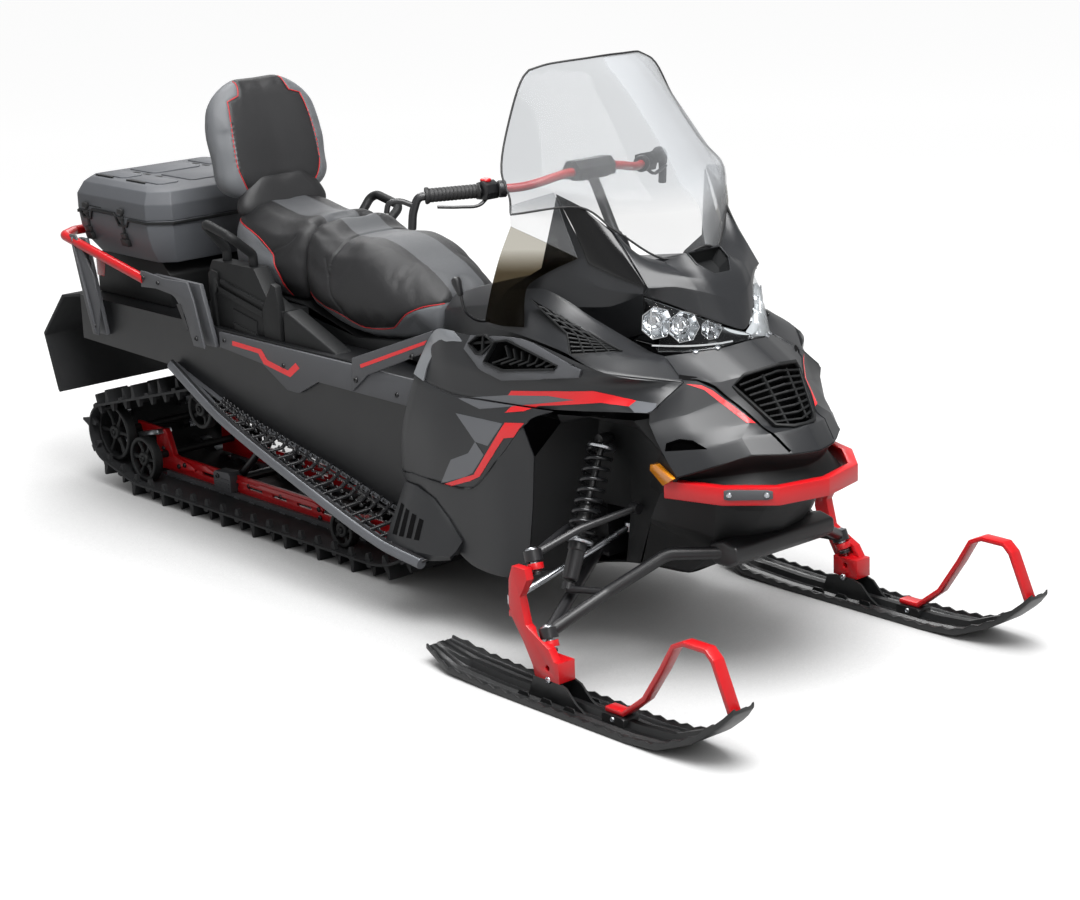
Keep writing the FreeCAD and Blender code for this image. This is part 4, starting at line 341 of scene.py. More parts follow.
@dataclass(frozen=True)
class StudioFloor(Finish):
    """Matt studio floor that reads as white, but for the shade under the machine.

    Attributes:
        glow: how bright it looks in the open.
        reach: how far the machine shades it, in metres.
        rise: how much brighter it gets far away.
        near: where that rise starts, in metres from the middle.
        far: where it ends.
    """

    glow: float = 0.78
    reach: float = 1.1
    rise: float = 1.15
    near: float = 2.5
    far: float = 9.0

    def wire(self, tree: Tree, place: Socket) -> Socket:
        """Add a glow to the matt floor for rays that show the background.

        The glow falls as the square of the open share of the sky over a point.
        """
        shade = remap(tree, noise(tree, place, self.grain),
                      {"To Min": self.glow * 0.99, "To Max": self.glow * 1.01})
        sky = add_node(tree, "ShaderNodeAmbientOcclusion",
                       {"samples": 12, "Distance": self.reach}).outputs["AO"]
        away = add_node(tree, "ShaderNodeVectorMath", {"operation": "LENGTH"}, {"Vector": place})
        rise = remap(tree, away.outputs["Value"],
                     {"From Min": self.near, "From Max": self.far, "To Min": 1.0,
                      "To Max": self.rise})
        level = combine(tree, "MULTIPLY", sky, sky)
        for factor in (rise, seen_rays(tree), shade):
            level = combine(tree, "MULTIPLY", level, factor)
        light = add_node(tree, "ShaderNodeEmission", {"Color": WHITE}, {"Strength": level})
        matt = add_node(tree, "ShaderNodeBsdfDiffuse", {"Color": linear(self.colour)})
        both = add_node(tree, "ShaderNodeAddShader", None,
                        {0: matt.outputs["BSDF"], 1: light.outputs["Emission"]})
        return both.outputs["Shader"]


# Injection-moulded ABS body panels in satin black: soft highlights, faint orange peel.
SATIN_ABS = Finish("satin_black_abs", "body_black", "202123", 0.36, grain=2.5,
                   depth=0.015, drift=0.05, drift_size=180, gloss=0.42)
# The same mould in a deeper, duller black for the parts behind the panels.
MATTE_PP = Finish("textured_black_pp", "plastic_black", "101112", 0.56, grain=1.6, depth=0.08,
                  gloss=0.3)
GLOSS_ABS = Finish("gloss_black_abs", "body_black", "0a0a0b", 0.2, drift=0.05, gloss=0.4)
# Grey moulded polypropylene of the trims, with a light spark-eroded texture.
GREY_PP = Finish("moulded_grey_pp", "plastic_grey", "4b4c4f", 0.48, grain=1.8, depth=0.06,
                 gloss=0.4)
# Silver strips on the shoulders' rear edges, a painted highlight along those edges: metallic, with
# a fine grain under a satin clear coat.
HIGHLIGHT_SILVER_PP = Finish("silver_painted_pp", "plastic_grey", "8f9296", 0.34, metallic=0.6, coat=0.3,
                   grain=0.8, depth=0.01, drift=0.05)
# Near-black for the insides of slots, trays and hollows, darker than the moulded black: painted
# shade.
SHADOW_PP = Finish("shadow_black_pp", "plastic_black", "050506", 0.8, gloss=0.1)
# Powder coat over steel and aluminium: even red with a soft shine.
RED_COAT = Finish("red_powder_coat", "red_metal", "b80c14", 0.34, coat=0.25, grain=1.2,
                  depth=0.02, drift=0.05)
BLACK_COAT = Finish("black_powder_coat", "steel_black", "141416", 0.42, coat=0.1, grain=1.2,
                    depth=0.03)
TUNNEL_COAT = Finish("tunnel_black_coat", "tunnel_black", "0d0e10", 0.40, grain=1.4, depth=0.03)
BOARD_ALLOY = Finish("bead_blasted_alloy", "aluminium_grey", "6e7074", 0.46, metallic=0.8,
                     grain=1.0, depth=0.05)
BRIGHT_ALLOY = Finish("machined_alloy", "aluminium_grey", "b9bcc0", 0.28, metallic=1.0)
CHROME = Finish("polished_chrome", "lamp_lens", "e6e8ea", 0.08, metallic=1.0, drift=0.03)
SPRING_STEEL = Finish("black_spring_steel", "steel_black", "1c1d1f", 0.30, metallic=0.4,
                      coat=0.3)
TRACK_RUBBER = Finish("track_rubber", "rubber_black", "17181a", 0.72, grain=2.2, depth=0.15,
                      drift=0.2)
GRIP_RUBBER = Finish("grip_rubber", "rubber_black", "101011", 0.62, grain=2.0, depth=0.12)
RED_FILM = Finish("red_graphic_film", "red_metal", "e3121b", 0.30, coat=0.2, drift=0.02)
GREY_FILM = Finish("grey_graphic_film", "plastic_grey", "5d5f63", 0.34, coat=0.1, drift=0.02)
BOX_PP = Finish("rotomoulded_grey_pe", "box_grey", "4c4e52", 0.55, grain=2.6, depth=0.12,
                drift=0.10)
# Low-friction polyethylene of the skis: black with a waxy shine.
SKI_PE = Finish("ski_black_pe", "plastic_black", "111213", 0.42, coat=0.1, grain=3.0, depth=0.08)
SEAT_VINYL = TwoTone("two_tone_vinyl", "seat_vinyl", "101012", 0.5, grain=2.4, depth=0.16)
RED_CORD = Finish("red_piping", "red_metal", "b3121a", 0.5)
SCREEN_PC = ClearSheet("clear_screen_pc", "clear_screen", "c4c6c8", 0.04, tint="e6e7e8",
                       foot_tint="f4f4f4", foot=1120, cover=0.05)
SMOKE_PC = ClearSheet("smoked_deflector_pc", "smoke_plastic", "3a342b", 0.06, tint="dedcd6",
                      foot_tint="8a8272", foot=985, cover=0.05)
LENS_PC = ClearSheet("clear_lamp_pc", "lamp_lens", "c4c9cc", 0.03, tint="fbfbfb",
                     foot_tint="fbfbfb", cover=0.0)
AMBER = Finish("amber_reflector", "red_metal", "d8861c", 0.22, coat=0.6, grain=3.0, depth=0.25)
RED_LENS = Finish("red_reflector", "red_metal", "8f0b12", 0.2, coat=0.6, grain=3.0, depth=0.25)
FLOOR = StudioFloor("studio_floor", "floor", "969696", 0.9, grain=3.0)


SIDE_PANEL: Rows = (
    ((250, -334, 379), (400, -356, 385), (569, -362, 400), (680, -362, 500), (763, -359, 593)),
    ((258, -337, 450), (422, -362, 469), (582, -362, 500), (692, -362, 569), (800, -356, 617)),
    ((270, -336, 514), (431, -360, 545), (591, -359, 565), (720, -358, 600), (833, -353, 631)),
    ((319, -331, 640), (482, -352, 622), (622, -355, 629), (741, -353, 636), (864, -346, 642)))
LOWER_SIDE: Rows = (
    ((292, -331, 325), (419, -350, 256), (545, -357, 192), (676, -357, 188), (735, -336, 202)),
    ((268, -332, 350), (410, -356, 324), (557, -362, 311), (689, -361, 347), (769, -341, 379)),
    ((250, -334, 379), (400, -356, 385), (569, -362, 400), (680, -362, 500), (787, -346, 515)),
    ((251, -334, 379), (402, -356, 386), (570, -362, 400), (680, -362, 500), (763, -359, 593)))
SHOULDER: Rows = (
    ((319, -330, 640), (481, -347, 622), (621, -350, 630), (739, -347, 636), (865, -335, 642),
     (1134, -290, 671)),
    ((330, -316, 676), (453, -342, 698), (588, -350, 703), (739, -350, 712), (899, -338, 716),
     (1146, -248, 703)),
    ((341, -300, 716), (430, -330, 773), (546, -328, 777), (739, -330, 797), (1018, -320, 753),
     (1159, -200, 731)))
VENT_PANEL: Rows = (
    ((606, -325, 808), (739, -330, 803), (882, -328, 785), (1018, -320, 753), (1159, -200, 731)),
    ((631, -313, 859), (750, -310, 859), (894, -282, 825), (1018, -245, 782), (1093, -179, 761)),
    ((657, -299, 901), (761, -265, 914), (882, -231, 853), (1015, -170, 778), (1063, -170, 774)))
HOOD: Rows = (
    ((1393, 0, 571), (1375, -70, 573), (1321, -150, 577), (1262, -214, 552), (1195, -269, 525)),
    ((1359, 0, 622), (1335, -75, 618), (1290, -150, 612), (1232, -222, 588), (1168, -277, 566)),
    ((1326, 0, 641), (1308, -65, 625), (1280, -115, 638), (1206, -221, 622), (1147, -285, 606)),
    ((1284, 0, 716), (1262, -70, 705), (1228, -125, 692), (1176, -214, 660), (1130, -291, 647)),
    ((1264, 0, 751), (1243, -74, 740), (1209, -134, 728), (1159, -200, 731), (1134, -290, 671)),
    ((1179, 0, 800), (1153, -80, 789), (1112, -134, 783), (1063, -170, 774), (1159, -200, 731)))
NOSE: Rows = (
    ((1140, 0, 262), (1130, -81, 258), (1110, -151, 249), (1000, -202, 262)),
    ((1231, 0, 299), (1225, -81, 305), (1200, -151, 318), (1060, -227, 379)),
    ((1262, 0, 345), (1250, -91, 350), (1215, -170, 365), (1085, -252, 400)),
    ((1320, 0, 420), (1300, -91, 425), (1240, -190, 440), (1110, -240, 469)),
    ((1385, 0, 478), (1360, -120, 480), (1262, -200, 482), (1140, -236, 486)))
COWL: Rows = (
    ((1157, 0, 820), (1139, -40, 835), (1107, -85, 858), (1061, -130, 885), (1010, -186, 914)),
    ((1127, 0, 890), (1118, -50, 905), (1096, -88, 920), (1064, -131, 932), (1029, -187, 933)),
    ((1102, 0, 936), (1094, -58, 941), (1068, -95, 950), (1030, -140, 962), (992, -187, 976)),
    ((1070, 0, 974), (1058, -60, 970), (1028, -94, 965), (990, -140, 984), (955, -187, 1016)),
    ((1035, 0, 1003), (1020, -60, 995), (984, -92, 976), (949, -141, 998), (918, -188, 1055)))
BLADE: Rows = (
    ((1029, -188, 933), (950, -212, 955), (874, -230, 978)),
    ((973, -190, 994), (905, -218, 1032), (836, -242, 1062)),
    ((918, -189, 1055), (858, -227, 1110), (788, -253, 1141)))
CHIN: Rows = (
    ((1010, -187, 914), (930, -214, 880), (845, -243, 872), (657, -299, 901)),
    ((1018, -191, 918), (942, -217, 920), (872, -236, 934), (752, -272, 960)),
    ((1016, -183, 948), (944, -203, 976), (862, -224, 1010), (790, -249, 1134)))
MOUTH: Rows = (
    ((1385, 0, 478), (1373, -60, 479), (1360, -120, 480), (1262, -200, 482), (1140, -236, 486)),
    ((1350, 0, 525), (1335, -60, 525), (1300, -125, 525), (1235, -190, 515), (1160, -232, 507)),
    ((1393, 0, 570), (1375, -70, 572), (1321, -150, 576), (1262, -214, 551), (1195, -269, 524)))
PAN: Rows = (
    ((548, 0, 186), (548, -110, 186), (548, -225, 188), (548, -340, 191)),
    ((680, 0, 180), (680, -110, 181), (680, -230, 184), (676, -345, 188)),
    ((761, 0, 190), (758, -110, 191), (749, -220, 196), (736, -335, 203)),
    ((838, 0, 203), (835, -60, 204), (823, -124, 208), (801, -201, 215)),
    ((962, 0, 225), (951, -60, 226), (933, -130, 232), (909, -193, 240)),
    ((1140, 0, 260), (1129, -80, 255), (1109, -150, 246), (1000, -201, 260)))
FENDER: Rows = (
    ((737, -335, 204), (801, -201, 215), (939, -196, 246), (993, -200, 259)),
    ((769, -341, 379), (819, -193, 380), (948, -185, 380), (1053, -217, 380)),
    ((787, -346, 515), (840, -195, 500), (950, -185, 489), (1103, -232, 466)),
    ((838, -303, 601), (870, -204, 606), (998, -204, 596), (1140, -257, 568)),
    ((861, -335, 631), (948, -320, 638), (1080, -291, 645), (1117, -277, 655)))
SCREEN: Rows = (
    ((1033, 0, 1006), (986, -90, 982), (921, -187, 1058), (855, -236, 1112), (748, -357, 1100)),
    ((1010, 0, 1088), (985, -90, 1095), (925, -182, 1115), (838, -264, 1145), (740, -350, 1135)),
    ((935, 0, 1180), (912, -100, 1182), (860, -195, 1182), (775, -275, 1185), (690, -330, 1190)),
    ((835, 0, 1300), (815, -85, 1301), (775, -165, 1302), (715, -225, 1303), (655, -270, 1304)),
    ((745, 0, 1400), (735, -70, 1401), (710, -125, 1402), (675, -170, 1402), (645, -212, 1400)),
    ((712, 0, 1434), (704, -60, 1432), (685, -110, 1429), (662, -150, 1424), (640, -189, 1413)))
SCREEN_WING: Rows = (
    ((748, -360, 1121), (770, -310, 1133), (790, -256, 1143)),
    ((751, -362, 1096), (790, -312, 1085), (822, -252, 1068)),
    ((752, -362, 1073), (807, -310, 1036), (854, -245, 992)))
DEFLECTOR: Rows = (
    ((752, -362, 1072), (807, -310, 1035), (854, -245, 991)),
    ((711, -364, 997), (756, -320, 977), (784, -272, 956)),
    ((675, -362, 921), (708, -338, 916), (740, -306, 919)),
    ((623, -345, 825), (676, -338, 820), (747, -332, 826)))
FOOT_GUARD: Rows = (
    ((262, -334, 352), (330, -352, 356), (410, -360, 340), (470, -363, 300), (520, -364, 250)),
    ((246, -362, 268), (312, -376, 270), (384, -380, 262), (448, -380, 246), (508, -374, 226)),
    ((231, -390, 186), (292, -395, 190), (360, -395, 196), (430, -392, 202), (492, -382, 208)),
    ((236, -386, 162), (292, -390, 166), (360, -390, 174), (430, -386, 184), (486, -376, 196)))
LAMP_BULGE = ((1180, 0, 812), (1160, -42, 816), (1130, -88, 828), (1098, -132, 838),
              (1052, -176, 850))
# A seat's cross-section, in shares of its half width and its height.
SEAT_SECTION = ((-0.86, 0.0), (-0.97, 0.2), (-1.0, 0.45), (-0.97, 0.68), (-0.88, 0.86),
                (-0.66, 0.97), (-0.33, 1.0), (0.0, 1.0), (0.33, 1.0), (0.66, 0.97), (0.88, 0.86),
                (0.97, 0.68), (1.0, 0.45), (0.97, 0.2), (0.86, 0.0), (0.4, 0.0), (0.0, 0.0),
                (-0.4, 0.0))


@dataclass
class Shape:
    """Points in mm with faces that index them."""

    points: np.ndarray
    faces: list[tuple[int, ...]]

    def moved(self, offset: Point) -> "Shape":
        """Return the shape shifted by an offset in mm."""
        return Shape(self.points + np.asarray(offset, float), self.faces)

    def turned(self) -> "Shape":
        """Return the shape with its faces turned over."""
        return Shape(self.points, [f[::-1] for f in self.faces])

    def mirrored(self) -> "Shape":
        """Return the shape reflected to the other side, faces still outwards."""
        return Shape(self.points * MIRROR, self.faces).turned()

    def with_mirror(self) -> "Shape":
        """Return the shape together with its reflection."""
        return join(self, self.mirrored())

    def triangles(self) -> "Shape":
        """Return the shape with each quad cut along its first diagonal."""
        faces = []
        for f in self.faces:
            faces += [(f[0], f[1], f[2]), (f[0], f[2], f[3])] if len(f) == 4 else [f]
        return Shape(self.points, faces)


def join(*shapes: Shape) -> Shape:
    """Put several shapes into one."""
    points, faces, start = [], [], 0
    for one in shapes:
        points.append(one.points)
        faces += [tuple(k + start for k in f) for f in one.faces]
        start += len(one.points)
    return Shape(np.vstack(points), faces)


def grid_faces(rows: int, columns: int, round_rows: bool = False,
               round_columns: bool = False) -> list[tuple[int, ...]]:
    """List the quads of a grid of points.

    Args:
        rows: points along the first parameter.
        columns: points along the second parameter.
        round_rows: join the last row to the first.
        round_columns: join the last column to the first.

    Returns:
        Four indices for each quad.
    """
    r = np.arange(rows if round_rows else rows - 1)
    c = np.arange(columns if round_columns else columns - 1)
    i, j = (a.ravel() for a in np.meshgrid(r, c, indexing="ij"))
    i1, j1 = (i + 1) % rows, (j + 1) % columns
    quads = np.stack([i * columns + j, i1 * columns + j, i1 * columns + j1, i * columns + j1], 1)
    return [tuple(int(k) for k in q) for q in quads]


def sheet_of(points: np.ndarray, round_rows: bool = False,
             round_columns: bool = False) -> Shape:
    """Make an open surface from a grid of points (rows, columns, 3)."""
    faces = grid_faces(points.shape[0], points.shape[1], round_rows, round_columns)
    return Shape(points.reshape(-1, 3), faces)


def end_caps(rings: np.ndarray) -> list[tuple[int, ...]]:
    """List the two faces that close a skin over rings of points (rings, columns, 3)."""
    count, total = rings.shape[1], rings.shape[0] * rings.shape[1]
    return [tuple(range(count))[::-1], tuple(range(total - count, total))]


def loft(rings: np.ndarray) -> Shape:
    """Make a closed skin over rings of points (rings, columns, 3)."""
    return Shape(rings.reshape(-1, 3), sheet_of(rings, round_columns=True).faces + end_caps(rings))


def prism(first: np.ndarray, second: np.ndarray) -> Shape:
    """Join two rings of as many corners by flat sides and close both ends."""
    n = len(first)
    sides = [(k, (k + 1) % n, n + (k + 1) % n, n + k) for k in range(n)]
    return Shape(np.vstack([first, second]), sides + end_caps(np.stack([first, second])))


def plate(outline: Outline, low: float, high: float, across: str = "y") -> Shape:
    """Give a flat outline a thickness.

    Args:
        outline: corners in the plane, as (x, z) for "y", (x, y) for "z" or (y, z) for "x".
        low: lower limit along the thickness.
        high: upper limit along the thickness.
        across: the axis of the thickness.

    Returns:
        A closed prism.
    """
    flat = np.asarray(outline, float)
    first, second = (np.insert(flat, "xyz".index(across), level, axis=1) for level in (low, high))
    body = prism(first, second)
    area = np.sum(flat[:, 0] * np.roll(flat[:, 1], -1) - np.roll(flat[:, 0], -1) * flat[:, 1])
    return body.turned() if (area < 0) != (across == "y") else body


def plates(outlines: Iterable[Outline], low: float, high: float) -> Shape:
    """Give several outlines in (x, z) the same thickness along y."""
    return join(*[plate(outline, low, high) for outline in outlines])


def spots_along(line: np.ndarray, share: np.ndarray) -> np.ndarray:
    """Find points at shares of the way through a list of points, from 0 to 1."""
    place = np.linspace(0, 1, len(line))
    return np.stack([np.interp(share, place, line[:, k]) for k in range(3)], 1)


def unit(way: Sequence[float] | np.ndarray) -> np.ndarray:
    """Scale a direction to length one."""
    return np.asarray(way, float) / np.linalg.norm(way)


def frames_along(path: np.ndarray, up: Point) -> tuple[np.ndarray, np.ndarray]:
    """Find two directions across a path at each of its points.

    The tangent is the central difference of the points; the first direction is
    the part of up that is square to it, and the second their cross product.
    """
    tangent = np.gradient(path, axis=0)
    tangent /= np.linalg.norm(tangent, axis=1, keepdims=True)
    lift = np.asarray(up, float) - tangent * (tangent @ np.asarray(up, float))[:, None]
    lift /= np.linalg.norm(lift, axis=1, keepdims=True)
    return np.cross(tangent, lift), lift


def sweep(path: np.ndarray, profile: np.ndarray, up: Point = (0, 0, 1),
          scale: np.ndarray | None = None, closed: bool = False) -> Shape:
    """Carry a closed profile along a path.

    Args:
        path: points (n, 3) in mm.
        profile: points (k, 2), first across and then up.
        up: the direction that the profile's second coordinate leans to.
        scale: a factor for the profile at each point.
        closed: join the path's end to its start.

    Returns:
        A tube with flat ends, or a ring.
    """
    path = np.asarray(path, float)
    side, lift = frames_along(path, up)
    if closed:
        wrapped = np.vstack([path[-1:], path, path[:1]])
        side, lift = (a[1:-1] for a in frames_along(wrapped, up))
    size = np.ones(len(path)) if scale is None else np.asarray(scale, float)
    ring = profile[None, :, 0, None] * side[:, None, :] + profile[None, :, 1, None] * lift[:, None]
    points = path[:, None, :] + ring * size[:, None, None]
    if closed:
        return sheet_of(points, round_rows=True, round_columns=True).turned()
    return loft(points).turned()


def circle(radius: float, sides: int) -> np.ndarray:
    """Points of a circle (sides, 2)."""
    turn = np.arange(sides) / sides * 2 * math.pi
    return np.stack([radius * np.cos(turn), radius * np.sin(turn)], 1)


def rectangle(width: float, height: float, corner: float = 0.0) -> np.ndarray:
    """Points of a rectangle about its centre, its corners cut when corner is given."""
    w, h, c = width / 2, height / 2, corner
    if not c:
        return np.array([(-w, -h), (w, -h), (w, h), (-w, h)])
    return np.array([(-w + c, -h), (w - c, -h), (w, -h + c), (w, h - c), (w - c, h),
                     (-w + c, h), (-w, h - c), (-w, -h + c)])


def eased(points: np.ndarray, per: int, sharp: set[int] | None = None,
          crown: float = 1.0) -> np.ndarray:
    """Refine control points along their first axis with cubic spans.

    Each span is a cubic whose end slopes are the chord-weighted mean of the two
    spans beside each point, or its own chord at the ends and at sharp points.
    The result is mixed with the straight chords by crown.

    Args:
        points: control points (n, ..., 3).
        per: divisions in each span.
        sharp: indices at which the slope may break.
        crown: one for the full cubic, zero for straight chords.

    Returns:
        Points ((n - 1) * per + 1, ..., 3).
    """
    def spread(values: np.ndarray) -> np.ndarray:
        """Shape one number per span or point so that it multiplies their points."""
        return values.reshape(values.shape + (1,) * (points.ndim - 1))

    n = len(points)
    step = np.diff(points, axis=0)
    size = np.linalg.norm(step, axis=-1).reshape(n - 1, -1).mean(1)
    size = np.maximum(size, 1e-6)
    slope = step / spread(size)
    inner = np.concatenate([slope[:1], slope], 0)
    outer = np.concatenate([slope, slope[-1:]], 0)
    before = spread(np.concatenate([size[:1], size]))
    after = spread(np.concatenate([size, size[-1:]]))
    mean = (inner * after + outer * before) / (before + after)
    keep = np.zeros(n, bool)
    keep[[0, n - 1]] = True
    keep[[k % n for k in sharp or ()]] = True
    leave = np.where(spread(keep), outer, mean)[:-1]
    arrive = np.where(spread(keep), inner, mean)[1:]
    t = spread(np.linspace(0, 1, per, endpoint=False)[None])
    a, b = points[:-1][:, None], points[1:][:, None]
    chord = spread(size[:, None])
    cubic = ((2 * t ** 3 - 3 * t ** 2 + 1) * a + (t ** 3 - 2 * t ** 2 + t) * chord * leave[:, None]
             + (3 * t ** 2 - 2 * t ** 3) * b + (t ** 3 - t ** 2) * chord * arrive[:, None])
    straight = a + (b - a) * t
    mixed = straight + (cubic - straight) * crown
    flat = mixed.reshape((-1,) + points.shape[1:])
    return np.concatenate([flat, points[-1:]], 0)


def eased_both(points: np.ndarray, per: int, crown: float, sharp_rows: set[int] | None = None,
               sharp_columns: set[int] | None = None) -> np.ndarray:
    """Refine a grid of points (rows, columns, 3) along both of its directions."""
    fine = eased(points, per, sharp_rows, crown).swapaxes(0, 1)
    return eased(fine, per, sharp_columns, crown).swapaxes(0, 1)


def tube(path: Sequence[Point] | np.ndarray, radius: float, per: int = 8) -> Shape:
    """Make a round bar through some points, as a circle carried along the eased path."""
    line = np.asarray(path, float)
    if len(line) > 2:
        line = eased(line, per)
    return sweep(line, circle(radius, 20))


def lathe(profile: Outline, base: Point, axis: Point, steps: int = 32) -> Shape:
    """Turn a profile of (radius, height) about an axis.

    The first and last points lie on the axis or are closed by a flat face, unless
    they are the same point, which makes a ring.
    """
    prof = np.asarray(profile, float)
    z = unit(axis)
    x = unit(np.cross(z, (0.3, 0.9, 0.1)))
    y = np.cross(z, x)
    turn = np.arange(steps) / steps * 2 * math.pi
    ring = np.cos(turn)[:, None] * x + np.sin(turn)[:, None] * y
    points = (np.asarray(base, float) + prof[:, None, 1, None] * z
              + prof[:, None, 0, None] * ring[None])
    if np.allclose(prof[0], prof[-1]):
        return sheet_of(points[:-1], round_rows=True, round_columns=True).turned()
    body = sheet_of(points, round_columns=True).turned()
    return Shape(body.points, body.faces + end_caps(points))


def screw(base: Point | np.ndarray, axis: Point | np.ndarray, radius: float = 8.0) -> Shape:
    """Turn a domed hexagon-socket screw head with its socket sunk in."""
    r = radius
    profile = [(0.0, 0), (r, 0), (r, 0.25 * r), (0.86 * r, 0.5 * r), (0.55 * r, 0.62 * r),
               (0.5 * r, 0.3 * r), (0.0, 0.3 * r)]
    return lathe(profile, base, axis, 18)


def side_screws(y: float, spots: Iterable[tuple[float, float]], radius: float = 8.0) -> Shape:
    """Put screws at places (x, z) on a wall at y, facing the machine's right."""
    return join(*[screw((x, y, z), (0, -1, 0), radius) for x, z in spots])


@contextmanager
def edited(mesh: bpy.types.Mesh) -> Iterator[bmesh.types.BMesh]:
    """Open a mesh for editing and write the result back."""
    work = bmesh.new()
    work.from_mesh(mesh)
    yield work
    work.to_mesh(mesh)
    work.free()


def new_object(name: str, shape: Shape, merge: float = 0.0,
               recalculate: bool = True) -> bpy.types.Object:
    """Make an object from a shape.

    Args:
        name: the name of the object and its mesh.
        shape: points in mm, and faces.
        merge: points closer than this become one, in mm; zero leaves them.
        recalculate: turn the faces outwards.

    Returns:
        The object, linked to the scene.
    """
    mesh = bpy.data.meshes.new(name)
    mesh.from_pydata((shape.points * MM).tolist(), [], shape.faces)
    with edited(mesh) as work:
        if merge:
            bmesh.ops.remove_doubles(work, verts=work.verts, dist=merge * MM)
            bmesh.ops.dissolve_degenerate(work, edges=work.edges, dist=merge * MM / 10)
        if recalculate:
            bmesh.ops.recalc_face_normals(work, faces=work.faces)
    made = bpy.data.objects.new(name, mesh)
    bpy.context.scene.collection.objects.link(made)
    return made


def modifier(made: bpy.types.Object, kind: str, **settings: Any) -> bpy.types.Modifier:
    """Add a modifier with its settings."""
    held = made.modifiers.new(kind.lower(), kind)
    for key, value in settings.items():
        setattr(held, key, value)
    return held


def round_edges(made: bpy.types.Object, width: float, parts: int, angle: float,
                miter: str = "MITER_SHARP") -> None:
    """Bevel the edges sharper than an angle in degrees, to a width in mm."""
    modifier(made, "BEVEL", width=width * MM, segments=parts, limit_method="ANGLE",
             angle_limit=math.radians(angle), miter_outer=miter)


def hang(made: bpy.types.Object, body: Body, slot: str, stands_for: tuple[str, ...]) -> None:
    """Put a finished object on its body and in the place of CAD nodes."""
    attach(made, body.value)
    if stands_for:
        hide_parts(*stands_for)
    LOG.info("%s: %d faces", made.name, len(made.data.polygons))


@dataclass
class Piece:
    """What one visible piece of the machine needs.

    Attributes:
        name: the piece's name.
        shape: its points and faces.
        finish: its material.
        body: the body that it rides on.
        stands_for: the CAD nodes that it stands for.
        bevel: width of the rounded edges in mm.
        bevel_parts: segments of the rounding.
        bevel_angle: edges sharper than this are rounded, in degrees.
        wall: thickness given to an open surface, in mm.
        smooth: edges sharper than this stay creased in the shading, in degrees.
        cuts: closed shapes that are cut out of it.
        merge: points closer than this become one, in mm.
        recalculate: turn the faces outwards first.
    """

    name: str
    shape: Shape
    finish: Finish
    body: Body = Body.CHASSIS
    stands_for: tuple[str, ...] = ()
    bevel: float = 0.0
    bevel_parts: int = 2
    bevel_angle: float = 28.0
    wall: float = 0.0
    smooth: float = 35.0
    cuts: tuple[Shape, ...] = ()
    merge: float = 0.01
    recalculate: bool = False

    def build(self) -> None:
        """Make the mesh, finish it with modifiers and hang it on its body."""
        made = new_object(self.name, self.shape, self.merge, self.recalculate)
        made.data.materials.append(self.finish.build())
        if self.wall:
            modifier(made, "SOLIDIFY", thickness=self.wall * MM, offset=-1,
                     use_quality_normals=True)
        for cutter in self.cuts:
            cut_with(made, cutter)
        if self.bevel:
            round_edges(made, self.bevel, self.bevel_parts, self.bevel_angle, "MITER_ARC")
        settle(made, self.smooth)
        hang(made, self.body, self.finish.slot, self.stands_for)


def add_solid(name: str, finish: Finish, *shapes: Shape, **more: Any) -> None:
    """Make one piece of closed shapes, with more of what a Piece takes."""
    Piece(name, join(*shapes), finish, recalculate=True, **more).build()


def add_pair(name: str, finish: Finish, *shapes: Shape, **more: Any) -> None:
    """Make one piece of closed shapes and their reflections."""
    add_solid(name, finish, join(*shapes).with_mirror(), **more)


def cut_with(made: bpy.types.Object, cutter: Shape) -> None:
    """Cut one closed shape out of an object by an exact boolean."""
    tool = new_object("cutter", cutter)
    mesh = tool.data
    modifier(made, "BOOLEAN", operation="DIFFERENCE", solver="EXACT", object=tool)
    apply_modifiers(made)
    bpy.data.objects.remove(tool)
    bpy.data.meshes.remove(mesh)


def apply_modifiers(made: bpy.types.Object) -> None:
    """Replace an object's mesh by what its modifiers make of it."""
    graph = bpy.context.evaluated_depsgraph_get()
    done = bpy.data.meshes.new_from_object(made.evaluated_get(graph))
    old = made.data
    made.modifiers.clear()
    made.data = done
    done.name = made.name
    if old.users == 0:
        bpy.data.meshes.remove(old)


def settle(made: bpy.types.Object, angle: float) -> None:
    """Apply the modifiers and shade smooth, but for edges sharper than an angle."""
    if made.modifiers:
        apply_modifiers(made)
    mesh = made.data
    mesh.polygons.foreach_set("use_smooth", np.ones(len(mesh.polygons), bool))
    mesh.set_sharp_from_angle(angle=math.radians(angle))


def softened(frame: dict, node: str, finish: Finish, body: Body = Body.CHASSIS,
             bevel: float = 2.0, bevel_parts: int = 2) -> None:
    """Copy a CAD node, merge its loose triangles and round its edges.

    Args:
        node: the node's name, which the copy stands for.
        finish: the copy's finish.
        body: the body that it rides on.
        bevel: width of the rounded edges in mm.
        bevel_parts: segments of the rounding.
    """
    mesh = frame["nodes"][node].data.copy()
    with edited(mesh) as work:
        bmesh.ops.remove_doubles(work, verts=work.verts, dist=0.01 * MM)
        bmesh.ops.dissolve_limit(work, angle_limit=math.radians(FLAT_ANGLE), verts=work.verts,
                                 edges=work.edges)
    for name in [a.name for a in mesh.attributes if a.name.startswith(("custom_normal", "sharp"))]:
        mesh.attributes.remove(mesh.attributes[name])
    made = bpy.data.objects.new(f"{node}_formed", mesh)
    bpy.context.scene.collection.objects.link(made)
    mesh.materials.clear()
    mesh.materials.append(finish.build())
    round_edges(made, bevel, bevel_parts, SOFT_EDGE)
    settle(made, SOFT_CREASE)
    hang(made, body, finish.slot, (node,))


def dress(frame: dict, finish: Finish, *nodes: str) -> None:
    """Give CAD nodes that keep their shape their finish."""
    for node in nodes:
        held = frame["nodes"][node].data.materials
        held.clear()
        held.append(finish.build())


def both_halves(rows: np.ndarray) -> np.ndarray:
    """Put the reflection of rows that start on the middle line before them."""
    return np.concatenate([rows[:, :0:-1] * MIRROR, rows], axis=1)


